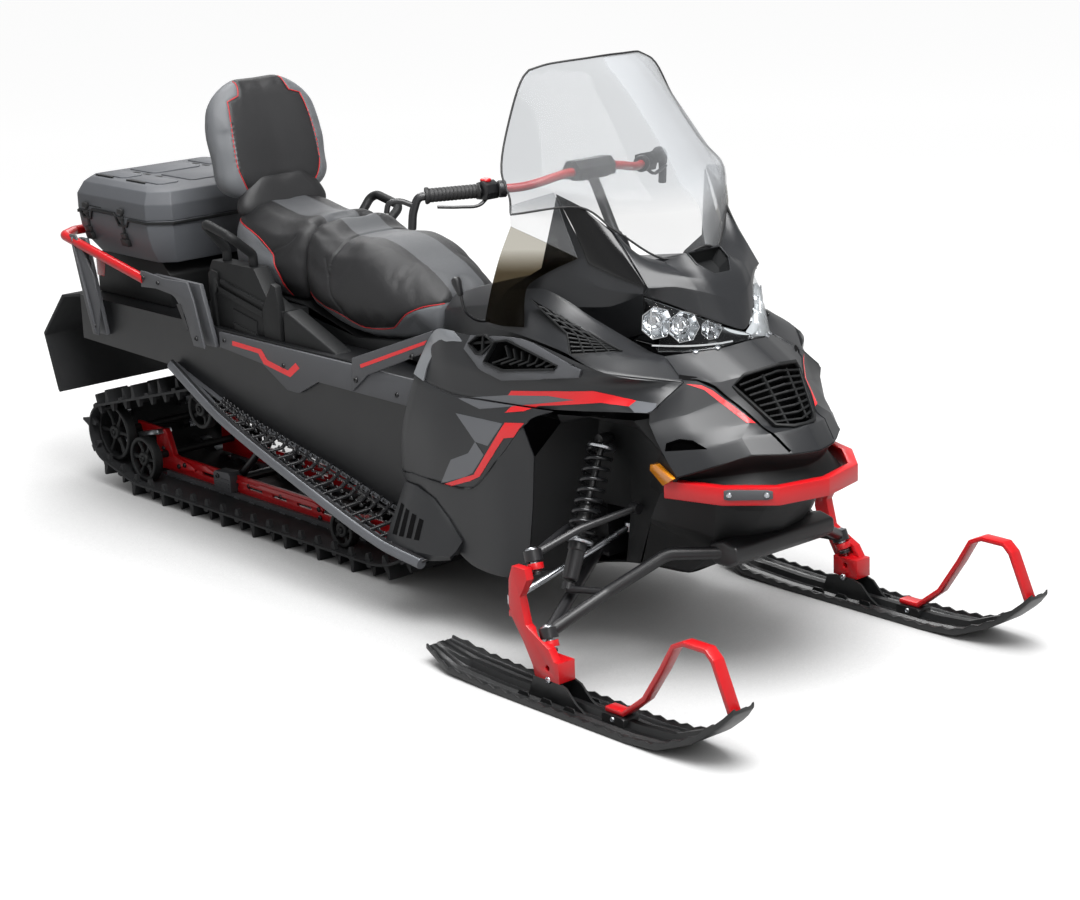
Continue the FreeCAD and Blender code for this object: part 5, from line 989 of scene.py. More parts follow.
def outward(shape: Shape, spine_z: float = 500.0) -> Shape:
    """Turn the faces of an open surface away from the machine's spine.

    The sum over the faces of (corner - spine) . normal is made positive.
    """
    first = np.array([f[:3] for f in shape.faces])
    a, b, c = (shape.points[first[:, k]] for k in range(3))
    away = a - np.stack([a[:, 0], np.zeros(len(a)), np.full(len(a), spine_z)], 1)
    return shape.turned() if np.sum(np.cross(b - a, c - a) * away) < 0 else shape


def both_sides(shapes: Iterable[Shape]) -> tuple[Shape, ...]:
    """List shapes, each followed by its reflection."""
    return tuple(one for shape in shapes for one in (shape, shape.mirrored()))


def drawn_in(grid: np.ndarray, gap: float) -> np.ndarray:
    """Pull a grid's border points a gap towards the next row or column inside."""
    out = grid.copy()
    for near, far in ((0, 1), (-1, -2)):
        for axis in (0, 1):
            edge, inner = np.take(out, near, axis), np.take(out, far, axis)
            step = inner - edge
            step /= np.maximum(np.linalg.norm(step, axis=-1, keepdims=True), 1e-6)
            out.swapaxes(0, axis)[near] = edge + step * gap
    return out


@dataclass(frozen=True)
class Panel:
    """A moulded panel on the right-hand side, as rows of points in its surface.

    The surface is a grid of cubic spans through the points, mixed with the flat
    facets between them by crown; rows and columns named as sharp stay creased.
    """

    rows: Rows
    per: int = 6
    crown: float = 0.8
    sharp_rows: tuple[int, ...] = ()
    sharp_columns: tuple[int, ...] = ()
    whole: bool = False
    gap: float = 1.2

    def grid(self) -> np.ndarray:
        """Work the surface out as points (rows, columns, 3)."""
        points = np.asarray(self.rows, float)
        columns = set(self.sharp_columns)
        if self.whole:
            points = both_halves(points)
            middle = len(self.rows[0]) - 1
            columns = {middle + k for k in columns} | {middle - k for k in columns}
        fine = eased_both(points, self.per, self.crown, set(self.sharp_rows), columns)
        return drawn_in(fine, self.gap)

    def skin(self) -> Shape:
        """Make the outer surface, facing outwards."""
        return outward(sheet_of(self.grid())).triangles()


def film_on(panel: Shape, outlines: list, lift: float = 0.7,
            way: Point = (0.0, 1.0, 0.0)) -> Shape:
    """Lay a thin film over part of a right-hand panel.

    The panel's own surface is cut along each side of each convex outline, as
    seen along a direction, and what is left is lifted along its normals.

    Args:
        panel: the panel's outer surface.
        outlines: convex outlines of (x, z) or (x, y, z) points that join into one film.
        lift: height of the film over the panel in mm.
        way: the direction along which the outlines are seen.

    Returns:
        The film's surface.
    """
    parts = []
    for outline in outlines:
        mesh = bpy.data.meshes.new("film")
        mesh.from_pydata(panel.points.tolist(), [], panel.faces)
        corners = np.asarray(outline, float)
        if corners.shape[1] == 2:
            corners = np.insert(corners, 1, 0.0, axis=1)
        middle = corners.mean(0)
        with edited(mesh) as work:
            bmesh.ops.remove_doubles(work, verts=work.verts, dist=0.01)
            work.normal_update()
            for start, end in zip(corners, np.roll(corners, -1, axis=0)):
                across = np.cross(end - start, way)
                side = across if across @ (start - middle) > 0 else -across
                everything = work.verts[:] + work.edges[:] + work.faces[:]
                bmesh.ops.bisect_plane(work, geom=everything, plane_co=start, plane_no=side,
                                       clear_outer=True)
            work.normal_update()
            shift = {v.index: v.normal.copy() for v in work.verts}
            for vertex in work.verts:
                vertex.co += shift[vertex.index] * lift
        points = np.empty(len(mesh.vertices) * 3)
        mesh.vertices.foreach_get("co", points)
        if len(mesh.polygons):
            parts.append(Shape(points.reshape(-1, 3), [tuple(p.vertices) for p in mesh.polygons]))
        bpy.data.meshes.remove(mesh)
    return join(*parts)


def add_film(name: str, finish: Finish, panel: Shape, outlines: list, lift: float = 0.7,
             way: Point = (0.0, 1.0, 0.0)) -> None:
    """Make one piece of the films that film_on lays on a panel, and of their reflections."""
    Piece(name, film_on(panel, outlines, lift, way).with_mirror(), finish, smooth=NO_CREASE).build()


@dataclass(frozen=True)
class Opening:
    """A hole in a panel: its corners in space and the direction out of it."""

    corners: tuple[Point, ...]
    out: Point

    def way(self) -> np.ndarray:
        """The direction out of the hole, of length one."""
        return unit(self.out)

    def cutter(self, reach: float = 60.0) -> Shape:
        """A prism through the panel, from the corners moved into one plane."""
        points, way = np.asarray(self.corners, float), self.way()
        flat = points - ((points - points.mean(0)) @ way)[:, None] * way
        return prism(flat - way * reach, flat + way * reach)

    def pocket(self, depth: float, taper: float = 0.85, sink: float = 3.0,
               grow: float = 1.03) -> Shape:
        """A blind tray behind the hole.

        Args:
            depth: how far down its floor lies.
            taper: size of its floor as a share of the hole.
            sink: how far down its mouth lies.
            grow: size of its mouth as a share of the hole.

        Returns:
            The tray, open at its mouth, with its faces towards the viewer.
        """
        points, way = np.asarray(self.corners, float), self.way()
        middle = points.mean(0)
        tray = prism(middle + (points - middle) * grow - way * sink,
                     middle + (points - middle) * taper - way * depth)
        tray.faces.pop(-2)
        a, b, c = (tray.points[tray.faces[-1][k]] for k in range(3))
        return tray.turned() if np.cross(b - a, c - a) @ way < 0 else tray

    def rim(self, width: float, height: float, sink: float = 1.0) -> Shape:
        """A raised lip round the hole, square in section."""
        ring = np.asarray(self.corners, float) + self.way() * (height / 2 - sink)
        return sweep(ring, rectangle(width, height), tuple(self.way()), closed=True)


def bars_between(first: np.ndarray, second: np.ndarray, count: int, width: float,
                 height: float, up: Point, ends: tuple[float, float] = (0.0, 1.0)) -> Shape:
    """Lay flat bars from one edge to another.

    Args:
        first: points along the first edge (k, 3), spread over the bars.
        second: points along the second edge (k, 3).
        count: number of bars.
        width: size across each bar.
        height: size along up.
        up: direction out of the opening.
        ends: where the first and last bar lie along the edges.

    Returns:
        The bars as one shape.
    """
    share = np.linspace(ends[0], ends[1], count)
    profile = rectangle(width, height)
    return join(*[sweep(np.linspace(a, b, 3), profile, up)
                  for a, b in zip(spots_along(first, share), spots_along(second, share))])


@dataclass
class Bodywork:
    """Moulded panels of the nose, the hood, the sides and the cowl."""

    wall: float = 3.5
    crease: float = 2.2
    louvre_way: Point = (0, -1, 0.2)
    side: Panel = Panel(SIDE_PANEL, crown=0.9)
    lower_side: Panel = Panel(LOWER_SIDE, crown=0.8, sharp_rows=(2,))
    shoulder: Panel = Panel(SHOULDER, crown=0.8, sharp_rows=(1,))
    vent: Panel = Panel(VENT_PANEL, crown=0.6)
    hood: Panel = Panel(HOOD, crown=0.3, sharp_rows=(1, 2, 3, 4), sharp_columns=(2, 3),
                        whole=True)
    nose: Panel = Panel(NOSE, crown=0.3, sharp_rows=(1, 2, 3), sharp_columns=(2,), whole=True)
    cowl: Panel = Panel(COWL, per=8, crown=0.75, sharp_rows=(1,), sharp_columns=(2,), whole=True)
    blade: Panel = Panel(BLADE, crown=0.5)
    chin: Panel = Panel(CHIN, crown=0.5, sharp_rows=(1,))
    mouth: Panel = Panel(MOUTH, crown=0.7, whole=True)
    pan: Panel = Panel(PAN, crown=0.6, whole=True)
    hexagon: Opening = Opening(((552, -333, 757), (583, -336, 736), (610, -340, 741),
                                (650, -336, 774), (612, -330, 786), (583, -329, 780)),
                               (0, -1, 0.25))
    louvre: Opening = Opening(((622, -346, 723), (691, -349, 714), (869, -338, 742),
                               (879, -331, 750), (697, -332, 786), (652, -334, 776)),
                              (0, -1, 0.25))
    mesh_vent: Opening = Opening(((763, -317, 892), (868, -299, 822), (905, -323, 780),
                                  (975, -277, 787), (1000, -247, 790), (954, -258, 807),
                                  (850, -273, 844)), (0.25, -0.8, 0.55))
    scoop: Opening = Opening(((1024, -54, 994), (1056, -54, 971), (1088, -27, 945),
                              (1088, 27, 945), (1056, 54, 971), (1024, 54, 994)),
                             (0.6, 0, 0.8))
    intake: Opening = Opening(((1164, -275, 583), (1164, -270, 602), (1184, -247, 611),
                               (1207, -226, 607), (1240, -211, 589)), (0.62, -0.7, 0.35))
    grille: Opening = Opening(((1262, 0, 752), (1234, -86, 738), (1222, -112, 714),
                               (1312, -64, 627), (1340, -34, 624), (1346, 0, 624),
                               (1340, 34, 624), (1312, 64, 627), (1222, 112, 714),
                               (1234, 86, 738)), (0.8, 0, 0.6))

    def build(self) -> None:
        """Make every panel and what fills its openings."""
        self.sides()
        self.shoulders()
        self.front()
        self.lamps()

    def paired(self, name: str, panel: Panel, finish: Finish, stands_for: tuple[str, ...],
               cuts: tuple[Shape, ...] = ()) -> Shape:
        """Make a panel and its reflection, and return the right-hand surface."""
        skin = panel.skin()
        Piece(name, skin.with_mirror(), finish, stands_for=stands_for, wall=self.wall,
              bevel=self.crease, cuts=both_sides(cuts)).build()
        return skin

    def sides(self) -> None:
        """Build the side panels with their graphics, and the lower sides."""
        skin = self.paired("side_panel_pair", self.side, SATIN_ABS, ("side_panels",))
        self.paired("lower_side_pair", self.lower_side, SATIN_ABS, ("lower_sides",))
        guard = outward(sheet_of(eased(np.array(FOOT_GUARD, float), 5, {2}, 0.7)))
        Piece("foot_guards", guard.with_mirror(), SATIN_ABS, wall=24.0, bevel=2.0).build()
        # The foot guard's slots are flat near-black film, not openings: painted shade where the
        # slots are.
        slot_shades = [[(270 + 32 * k, 300 - 6 * k), (288 + 32 * k, 298 - 6 * k),
                  (280 + 32 * k, 222 + 2 * k), (260 + 32 * k, 220 + 2 * k)] for k in range(4)]
        add_film("foot_guard_slot_shades", SHADOW_PP, guard, slot_shades, 0.8)
        grey = [[(441, 578), (437, 524), (586, 520), (619, 493), (677, 566), (693, 584)],
                [(440, 385), (490, 457), (558, 486), (572, 438), (539, 421)],
                [(558, 486), (586, 520), (619, 493), (572, 438)]]
        add_film("side_grey_film", GREY_FILM, skin, grey)
        red = [[(700, 588), (770, 599), (740, 559), (696, 549), (683, 566)],
               [(683, 566), (696, 549), (599, 434), (577, 436)],
               [(577, 436), (599, 434), (560, 415), (361, 342), (374, 358), (421, 377), (540, 421)]]
        add_film("side_red_film", RED_FILM, skin, red, 1.0)

    def shoulders(self) -> None:
        """Build the shoulder wings with the framed vents, and the vent panels."""
        skin = self.paired("shoulder_pair", self.shoulder, SATIN_ABS, ("shoulder_panels",),
                           (self.hexagon.cutter(), self.louvre.cutter()))
        wing = join(skin, self.side.skin())
        grey = [[(520, 618), (707, 656), (721, 631), (603, 605)],
                [(707, 656), (845, 675), (920, 675), (721, 631)],
                [(1081, 691), (1134, 690), (1140, 678), (1104, 661), (1067, 677)]]
        add_film("wing_grey_film", GREY_FILM, wing, grey)
        red = [[(704, 655), (716, 668), (864, 690), (842, 675)],
               [(864, 690), (971, 703), (992, 677), (920, 675), (842, 675)],
               [(971, 703), (1081, 691), (1067, 677), (992, 677)],
               [(698, 612), (721, 631), (808, 645), (767, 627)],
               [(721, 631), (920, 675), (992, 677), (808, 645)]]
        add_film("wing_red_film", RED_FILM, wing, red, 1.0)
        # A silver strip on each shoulder's rear edge: a painted highlight along that edge.
        outer = eased(np.array([(322, -331, 642), (330, -318, 676), (341, -301, 716),
                                (380, -315, 748), (430, -330, 774), (486, -330, 777)], float), 5)
        inner = eased(np.array([(366, -337, 634), (376, -329, 676), (398, -322, 712),
                                (428, -328, 736), (474, -334, 752), (520, -331, 757)], float), 5)
        strip = np.stack([outer + (-3, -2, 2), (outer + inner) / 2 + (0, -6, 3),
                          inner + (0, -3, 0)])
        Piece("shoulder_highlight_strips", outward(sheet_of(strip)).with_mirror(), HIGHLIGHT_SILVER_PP, wall=4,
              smooth=40).build()
        self.vents()
        self.paired("vent_panel_pair", self.vent, SATIN_ABS, ("vent_panels",),
                    (self.mesh_vent.cutter(),))

    def vents(self) -> None:
        """Fill the shoulder's two openings and the vent panel's mesh opening."""
        # The trays behind the openings are near-black: painted shade inside them.
        trays = join(self.hexagon.pocket(34), self.louvre.pocket(30), self.mesh_vent.pocket(22))
        Piece("vent_trays", trays.with_mirror(), SHADOW_PP, smooth=20).build()
        module = [[(536, 742), (556, 784), (640, 796), (760, 797), (950, 752), (944, 734),
                   (688, 690), (604, 705)]]
        Piece("vent_module", film_on(self.shoulder.skin(), module, 6.0).with_mirror(), GREY_PP,
              wall=6.0, bevel=2.5,
              cuts=both_sides((self.hexagon.cutter(), self.louvre.cutter()))).build()
        rims = join(self.hexagon.rim(5, 12), self.louvre.rim(5, 12), self.mesh_vent.rim(5, 4))
        Piece("vent_rims", rims.with_mirror(), MATTE_PP, bevel=1.6).build()
        low = np.array([(640, -343, 724), (865, -334, 744)])
        high = np.array([(660, -332, 772), (873, -328, 750)])
        bars = []
        for t in np.linspace(0.05, 0.86, 7):
            foot, top = low[0] + (low[1] - low[0]) * t, high[0] + (high[1] - high[0]) * t
            bend = foot + (top - foot) * 0.45 + (46 * (1 - t), 0, 0)
            bars.append(sweep(np.array([foot, bend, top + (18, 0, 0)]), rectangle(5, 16),
                              self.louvre_way))
        bars += [sweep(np.linspace(a, b, 2), rectangle(7, 14), self.louvre_way) for a, b in
                 (((556, -326, 757), (640, -328, 774)), ((600, -328, 782), (600, -334, 742)),
                  ((583, -330, 738), (632, -330, 760)))]
        first = np.array([(775, -312, 884), (868, -297, 822), (905, -318, 783)])
        second = np.array([(800, -290, 868), (954, -256, 806), (990, -246, 790)])
        bars.append(bars_between(first, second, 9, 4, 6, self.mesh_vent.out, (0.05, 0.95)))
        edge_a = np.array([(763, -315, 890), (868, -297, 824), (905, -320, 782)])
        edge_b = np.array([(850, -271, 844), (954, -256, 807), (1000, -246, 790)])
        bars += [sweep(edge_a + (edge_b - edge_a) * t, rectangle(4, 6), self.mesh_vent.out)
                 for t in (0.25, 0.5, 0.75)]
        Piece("vent_slats", join(*bars).with_mirror(), MATTE_PP, bevel=0.8).build()

    def front(self) -> None:
        """Build the hood, the nose, the cowl, the mouth and the pan."""
        hood = self.hood.skin()
        line = np.array([(1146, -204, 742), (1172, -176, 736), (1201, -147, 716),
                         (1245, -120, 678), (1288, -97, 639), (1330, -82, 603),
                         (1368, -73, 577)], float)
        way = (0.75, -0.35, 0.56)
        groove = sweep(line, rectangle(7, 60), way)
        cuts = (self.grille.cutter(), *both_sides((groove, self.intake.cutter(40))))
        Piece("hood_panel", hood, SATIN_ABS, stands_for=("hood",), wall=self.wall,
              bevel=self.crease, bevel_angle=12, smooth=13, cuts=cuts).build()
        # A near-black strip behind the groove and a near-black pocket behind the intake: painted
        # shade inside them.
        groove_shade = sweep(line - np.asarray(way) * 9, rectangle(20, 4), way)
        add_pair("hood_hollows", SHADOW_PP, groove_shade, self.intake.pocket(34, 0.7))
        stripe = [[(1160, -199, 728), (1183, -171, 723), (1201, -153, 710), (1189, -169, 713)],
                  [(1189, -169, 713), (1201, -153, 710), (1287, -101, 637), (1276, -119, 639)]]
        add_film("hood_red_film", RED_FILM, hood, stripe, 1.0, (0.728, -0.631, 0.266))
        add_pair("hood_screws", BRIGHT_ALLOY, screw((1119, -124, 783.5), (0.25, -0.25, 0.93), 7),
                 screw((1150, -82, 790), (0.35, -0.15, 0.93), 7))
        # The tray behind the grille is near-black: painted shade inside it.
        Piece("grille_tray", self.grille.pocket(45, 0.8), SHADOW_PP, smooth=20).build()
        Piece("grille_rim", self.grille.rim(8, 10), MATTE_PP, bevel=2).build()
        self.grille_bars()
        self.corners()
        Piece("nose_panel", self.nose.skin(), MATTE_PP, stands_for=("lower_nose",),
              wall=self.wall, bevel=self.crease, bevel_angle=12, smooth=13).build()
        self.cowling()
        Piece("mouth_mesh", self.mouth.skin(), MATTE_PP, stands_for=("front_mesh",),
              wall=self.wall, bevel=1).build()
        Piece("belly_pan_shell", self.pan.skin(), MATTE_PP, stands_for=("belly_pan",),
              wall=self.wall, bevel=self.crease).build()

    def corners(self) -> None:
        """Close the nose's corners, set reflectors in them, and fit the bumper's plate."""
        fill = np.array([(1198, -268, 523), (1170, -275, 562), (1138, -258, 570),
                         (1100, -236, 540), (1062, -226, 470), (1110, -238, 462),
                         (1150, -240, 484)], float)
        add_pair("nose_corners", MATTE_PP, prism(fill, fill + (-6, 14, 0)), bevel=1.5)
        amber = np.array([(1192, -276, 522), (1122, -262, 542), (1098, -258, 536),
                          (1096, -257, 522), (1146, -264, 495)], float)
        add_pair("front_reflectors", AMBER, prism(amber + (0.5, -3, 0), amber + (-4, 22, 0)),
                 bevel=1.5)
        start, way = np.array([1294.2, -222.4, 0.0]), np.array([0.738, 0.675, 0.0])
        side = np.array([0.675, -0.738, 0.0])
        flat = np.array([start + way * s + (0, 0, z) for s, z in
                         ((4, 503), (14, 505), (104, 504), (116, 501), (116, 484), (104, 481),
                          (14, 480), (4, 483))])
        add_solid("bumper_plate", GREY_PP, prism(flat + side * 3.5, flat - side * 1.5), bevel=1.2)
        add_solid("bumper_screws", BRIGHT_ALLOY,
                  *[screw(start + way * s + (0, 0, 493) + side * 3, side, 7) for s in (16, 102)])
        skid = plate([(1192, 312), (1214, 296), (1262, 296), (1288, 316), (1284, 348),
                      (1240, 358), (1198, 346)], -170, 170)
        add_solid("nose_skid", BLACK_COAT, skid, bevel=8, bevel_parts=3)

    def cowling(self) -> None:
        """Build the beak over the lamps with its scoop, and the black blades beside it."""
        beak = outward(self.cowl.skin(), 850)
        Piece("cowl_beak", beak, SATIN_ABS, stands_for=("cowl",), wall=self.wall,
              bevel=1.6, bevel_angle=14, smooth=24, cuts=(self.scoop.cutter(30),)).build()
        Piece("cowl_scoop", self.scoop.pocket(30, 0.72, 1.5), MATTE_PP, smooth=20).build()
        Piece("cowl_scoop_rim", self.scoop.rim(6, 5, 0.5), SATIN_ABS, bevel=1.2).build()
        Piece("cowl_blades", outward(self.blade.skin(), 850).with_mirror(), GLOSS_ABS,
              wall=self.wall, bevel=1.6).build()
        Piece("cowl_chins", outward(self.chin.skin(), 850).with_mirror(), SATIN_ABS,
              wall=self.wall, bevel=1.6, bevel_angle=14, smooth=20).build()

    def grille_bars(self) -> None:
        """Fill the hood's opening with bent cross slats and two upright ribs.

        Each slat runs from the right edge over the middle line to the left one.
        """
        edge = np.array([(1232, -98, 722), (1314, -56, 630)])
        spine = np.array([(1262, 0, 744), (1342, 0, 630)])
        share = np.linspace(0.04, 0.94, 8)[:, None]
        sides = edge[0] + (edge[1] - edge[0]) * share
        middle = spine[0] + (spine[1] - spine[0]) * share
        way = self.grille.way()
        slats = [sweep(np.array([s, m, s * MIRROR]) - way * 7, rectangle(5, 16), tuple(way))
                 for s, m in zip(sides, middle)]
        ribs = [sweep(np.array([(1255, y, 738), (1328, y * 0.8, 632)]) - way * 9,
                      rectangle(6, 12), tuple(way)) for y in (-40, 40)]
        Piece("grille_bars", join(*slats, *ribs), MATTE_PP, bevel=1).build()

    def lamps(self) -> None:
        """Build the headlamps: a dark bowl, chrome reflectors and a clear lens."""
        brow, hood = np.asarray(COWL[0], float), np.asarray(HOOD, float)
        rear = hood[-1]
        foot = np.vstack([rear[0], (rear[0] + rear[1]) / 2, rear[1], rear[2],
                          (rear[3] + np.asarray(VENT_PANEL[-1][-2], float)) / 2])
        rows = np.stack([brow + (2, 0, -4), np.array(LAMP_BULGE, float), foot + (0, 0, 3)])
        lens = outward(sheet_of(drawn_in(eased_both(rows, 8, 0.9), 1.5)), 800)
        Piece("lamp_lenses", lens.with_mirror(), LENS_PC, wall=2.0, stands_for=("headlamps",),
              smooth=50).build()
        back = (brow + foot) / 2 + np.array([(-40, 0, 0), (-52, 10, 0), (-62, 24, 0),
                                             (-66, 34, 0), (-40, 16, 0)])
        inner = eased_both(np.stack([brow, back, foot]), 6, 0.9)
        bowl = outward(sheet_of(drawn_in(inner, 2.0)), 800)
        Piece("lamp_bowls", bowl.with_mirror(), GLOSS_ABS, wall=2, smooth=40).build()
        bright, glasses = [], []
        axis = (0.84, -0.48, 0.12)
        for place, size in (((1032, -166, 848), 38), ((1070, -116, 836), 37),
                            ((1110, -64, 827), 25)):
            cup = np.array([(0.30, -0.9), (0.66, -0.6), (0.88, -0.2), (1.0, 0.25), (1.05, 0.25),
                            (0.95, -0.2), (0.36, -0.98)])
            bright.append(lathe(cup * size, place, axis, 7))
            glass = np.array([(0.46, -0.7), (0.46, -0.42), (0.34, -0.16), (0.16, -0.05),
                              (0.05 / size, 0.0)])
            glasses.append(lathe(glass * size, place, axis, 24))
            middle = np.asarray(place, float) + np.asarray(axis) * size * 0.1
            bright += [sweep(np.array([middle + (0, dy * 0.87, -size * 0.86), middle + (2, dy, 0),
                                       middle + (0, dy * 0.87, size * 0.86)]),
                             rectangle(2.2, 3.0), (1, 0, 0)) for dy in (-size * 0.5, size * 0.5)]
        strip = eased(np.stack([brow[1:], foot[1:]]).swapaxes(0, 1), 6)
        low = strip[:, 1] + (strip[:, 0] - strip[:, 1]) * 0.13 + (-14, 5, 0)
        add_pair("lamp_reflectors", CHROME, *bright, sweep(low, rectangle(16, 4)), smooth=20)
        Piece("lamp_projectors", join(*glasses).with_mirror(), LENS_PC, smooth=NO_CREASE).build()


@dataclass
class TrackDrive:
    """The rubber track with its lugs, and the wheels, rails and arms inside it."""

    width: float = 500.0
    belt: float = 8.0
    lug_height: float = 38.0
    pitch: float = 76.0
    wheel_y: float = 205.0
    wheel_width: float = 32.0
    circles: Outline = field(default_factory=lambda: [
        (-1185, 116, 70), (-40, 346, 300), (335, 315, 105), (-850, 330, 60), (-1341, 173, 88)])

    def course(self, count: int, offset: float) -> tuple[np.ndarray, np.ndarray]:
        """Walk round the wheels.

        The loop is the arcs on the circles, grown by an offset, joined by their
        common outer tangents. Its points are spread evenly along it.

        Args:
            count: number of points.
            offset: distance outside the wheels in mm.

        Returns:
            Points (count, 2) as x, z and the outward directions (count, 2).
        """
        rings = np.asarray(self.circles, float)
        ahead = np.roll(rings, -1, axis=0)
        gap = ahead[:, :2] - rings[:, :2]
        run = np.linalg.norm(gap, axis=1)
        angle = np.arctan2(gap[:, 1], gap[:, 0]) - np.arccos((rings[:, 2] - ahead[:, 2]) / run)
        turn = (angle - np.roll(angle, 1)) % (2 * math.pi)
        places, normals = [], []
        for (x, z, r), start, sweep_by in zip(rings, np.roll(angle, 1), turn):
            around = start + np.linspace(0, sweep_by, 60)
            way = np.stack([np.cos(around), np.sin(around)], 1)
            places.append(np.array([x, z]) + way * (r + offset))
            normals.append(way)
        line, way = np.vstack(places), np.vstack(normals)
        line, way = np.vstack([line, line[:1]]), np.vstack([way, way[:1]])
        along = np.concatenate([[0], np.cumsum(np.linalg.norm(np.diff(line, axis=0), axis=1))])
        want = np.arange(count) / count * along[-1]
        place = np.stack([np.interp(want, along, line[:, k]) for k in (0, 1)], 1)
        normal = np.stack([np.interp(want, along, way[:, k]) for k in (0, 1)], 1)
        return place, normal / np.linalg.norm(normal, axis=1, keepdims=True)

    def spread(self, block: Shape, count: int, offset: float, every: int = 1,
               first: int = 0) -> Shape:
        """Repeat a small block round the belt.

        The block is given as (along the belt, y, out of the belt).
        """
        place, normal = self.course(count, offset)
        place, normal = place[first::every], normal[first::every]
        along = np.stack([-normal[:, 1], normal[:, 0]], 1)
        u, y, w = block.points.T
        x = place[:, 0, None] + along[:, 0, None] * u + normal[:, 0, None] * w
        z = place[:, 1, None] + along[:, 1, None] * u + normal[:, 1, None] * w
        points = np.stack([x, np.broadcast_to(y, x.shape), z], 2).reshape(-1, 3)
        n = len(block.points)
        faces = [tuple(k + n * i for k in f) for i in range(len(place)) for f in block.faces]
        return Shape(points, faces)

    def lug(self, y_low: float, y_high: float, lean: float, tall: float = 1.0) -> Shape:
        """One rubber paddle with a tapered section, leaning along the belt at one end."""
        rows = []
        for y, shift in ((y_low, 0.0), ((y_low + y_high) / 2, lean), (y_high, 0.0)):
            high = self.lug_height * tall
            rows.append([(shift - 13, y, -1), (shift - 10, y, 7), (shift - 5, y, high * 0.86),
                         (shift - 3.5, y, high), (shift + 3.5, y, high),
                         (shift + 5, y, high * 0.86), (shift + 10, y, 7), (shift + 13, y, -1)])
        return loft(np.asarray(rows, float))

    def build(self, frame: dict) -> None:
        """Make the track, the wheels and what they run on."""
        self.track()
        self.wheels()
        self.rails()
        softened(frame, "slide_rails", RED_COAT, bevel=1.2)
        dress(frame, BLACK_COAT, "swing_arms", "drive_axle")
        dress(frame, SPRING_STEEL, "skid_shocks")
        dress(frame, GREY_PP, "rail_sliders")

    def track(self) -> None:
        """Make the belt with its rows of lugs, and the teeth and clips inside it."""
        place, normal = self.course(420, 0)
        half = self.width / 2
        section = np.array([(-half, 0.2), (-half, self.belt - 1.5), (-half + 3, self.belt),
                            (half - 3, self.belt), (half, self.belt - 1.5), (half, 0.2)])
        x = place[:, 0, None] + normal[:, 0, None] * section[:, 1]
        z = place[:, 1, None] + normal[:, 1, None] * section[:, 1]
        points = np.stack([x, np.broadcast_to(section[:, 0], x.shape), z], 2)
        belt = sheet_of(points, round_rows=True, round_columns=True)
        loop, _ = self.course(2000, 0)
        total = float(np.sum(np.linalg.norm(np.diff(np.vstack([loop, loop[:1]]), axis=0), axis=1)))
        count = 2 * round(total / self.pitch / 2)
        even = join(self.lug(-246, -168, 6), self.lug(-92, 92, -10), self.lug(168, 246, 6))
        odd = join(self.lug(-232, -100, -8, 0.92), self.lug(-40, 40, 6, 0.9),
                   self.lug(100, 232, -8, 0.92))
        bars = join(*[plate([(-12, -1), (12, -1), (8, 7), (-8, 7)], y0, y1)
                      for y0, y1 in ((-248, -150), (-90, 90), (150, 248))])
        lugs = join(self.spread(even, count, self.belt, 2),
                    self.spread(odd, count, self.belt, 2, 1), self.spread(bars, count, self.belt))
        add_solid("track_belt", TRACK_RUBBER, belt, lugs, stands_for=("track",), smooth=30,
                  merge=0.0005)
        teeth = join(self.studs([(-14, 1), (14, 1), (7, -17), (-7, -17)], 84, 9),
                     self.studs([(-12, 1), (12, 1), (4, -22), (-4, -22)], 236, 6))
        add_solid("track_inner_teeth", TRACK_RUBBER, self.spread(teeth, count, 0.0))
        clip = self.studs([(-13, 0.6), (-13, -1.6), (-9, -3.2), (9, -3.2), (13, -1.6),
                           (13, 0.6)], 120, 17)
        add_solid("track_clips", BRIGHT_ALLOY, self.spread(clip, count, 0.0))

    @staticmethod
    def studs(outline: Outline, y: float, half: float) -> Shape:
        """A pair of small blocks at y and -y, each twice half in width."""
        return join(*[plate(outline, at - half, at + half) for at in (-y, y)])

    def wheel(self, x: float, z: float, radius: float, side: int, spokes: int) -> Shape:
        """Make one wheel: a lathed rim and hub, with tapered spokes between them."""
        r, half = radius, self.wheel_width / 2
        centre = (x, side * self.wheel_y - half, z)
        rim = lathe([(r - 13, 4), (r - 13, 2), (r - 9, 0), (r - 3, 0), (r - 0.6, 3),
                     (r - 0.6, 2 * half - 3), (r - 3, 2 * half), (r - 9, 2 * half),
                     (r - 13, 2 * half - 2), (r - 13, 4)], centre, (0, 1, 0), 48)
        hub = lathe([(0, 3), (9, 3), (11, 1), (20, 1), (22, 4), (22, 2 * half - 4),
                     (20, 2 * half - 1), (11, 2 * half - 1), (9, 2 * half - 3),
                     (0, 2 * half - 3)], centre, (0, 1, 0), 32)
        arms = []
        for k in range(spokes):
            a = 2 * math.pi * k / spokes
            along = np.array([math.cos(a), 0, math.sin(a)])
            span = [(18, 9), (r * 0.5, 6), (r - 11, 10)]
            path = np.array([centre]) + (0, half, 0) + np.array([along * s for s, _ in span])
            wide = np.array([w for _, w in span]) / 8
            arms.append(sweep(path, rectangle(14, 15, 3), (0, -1, 0), wide))
        bolt = screw((x, side * (self.wheel_y + half - 2), z), (0, side, 0), 10)
        return join(rim, hub, bolt, *arms)

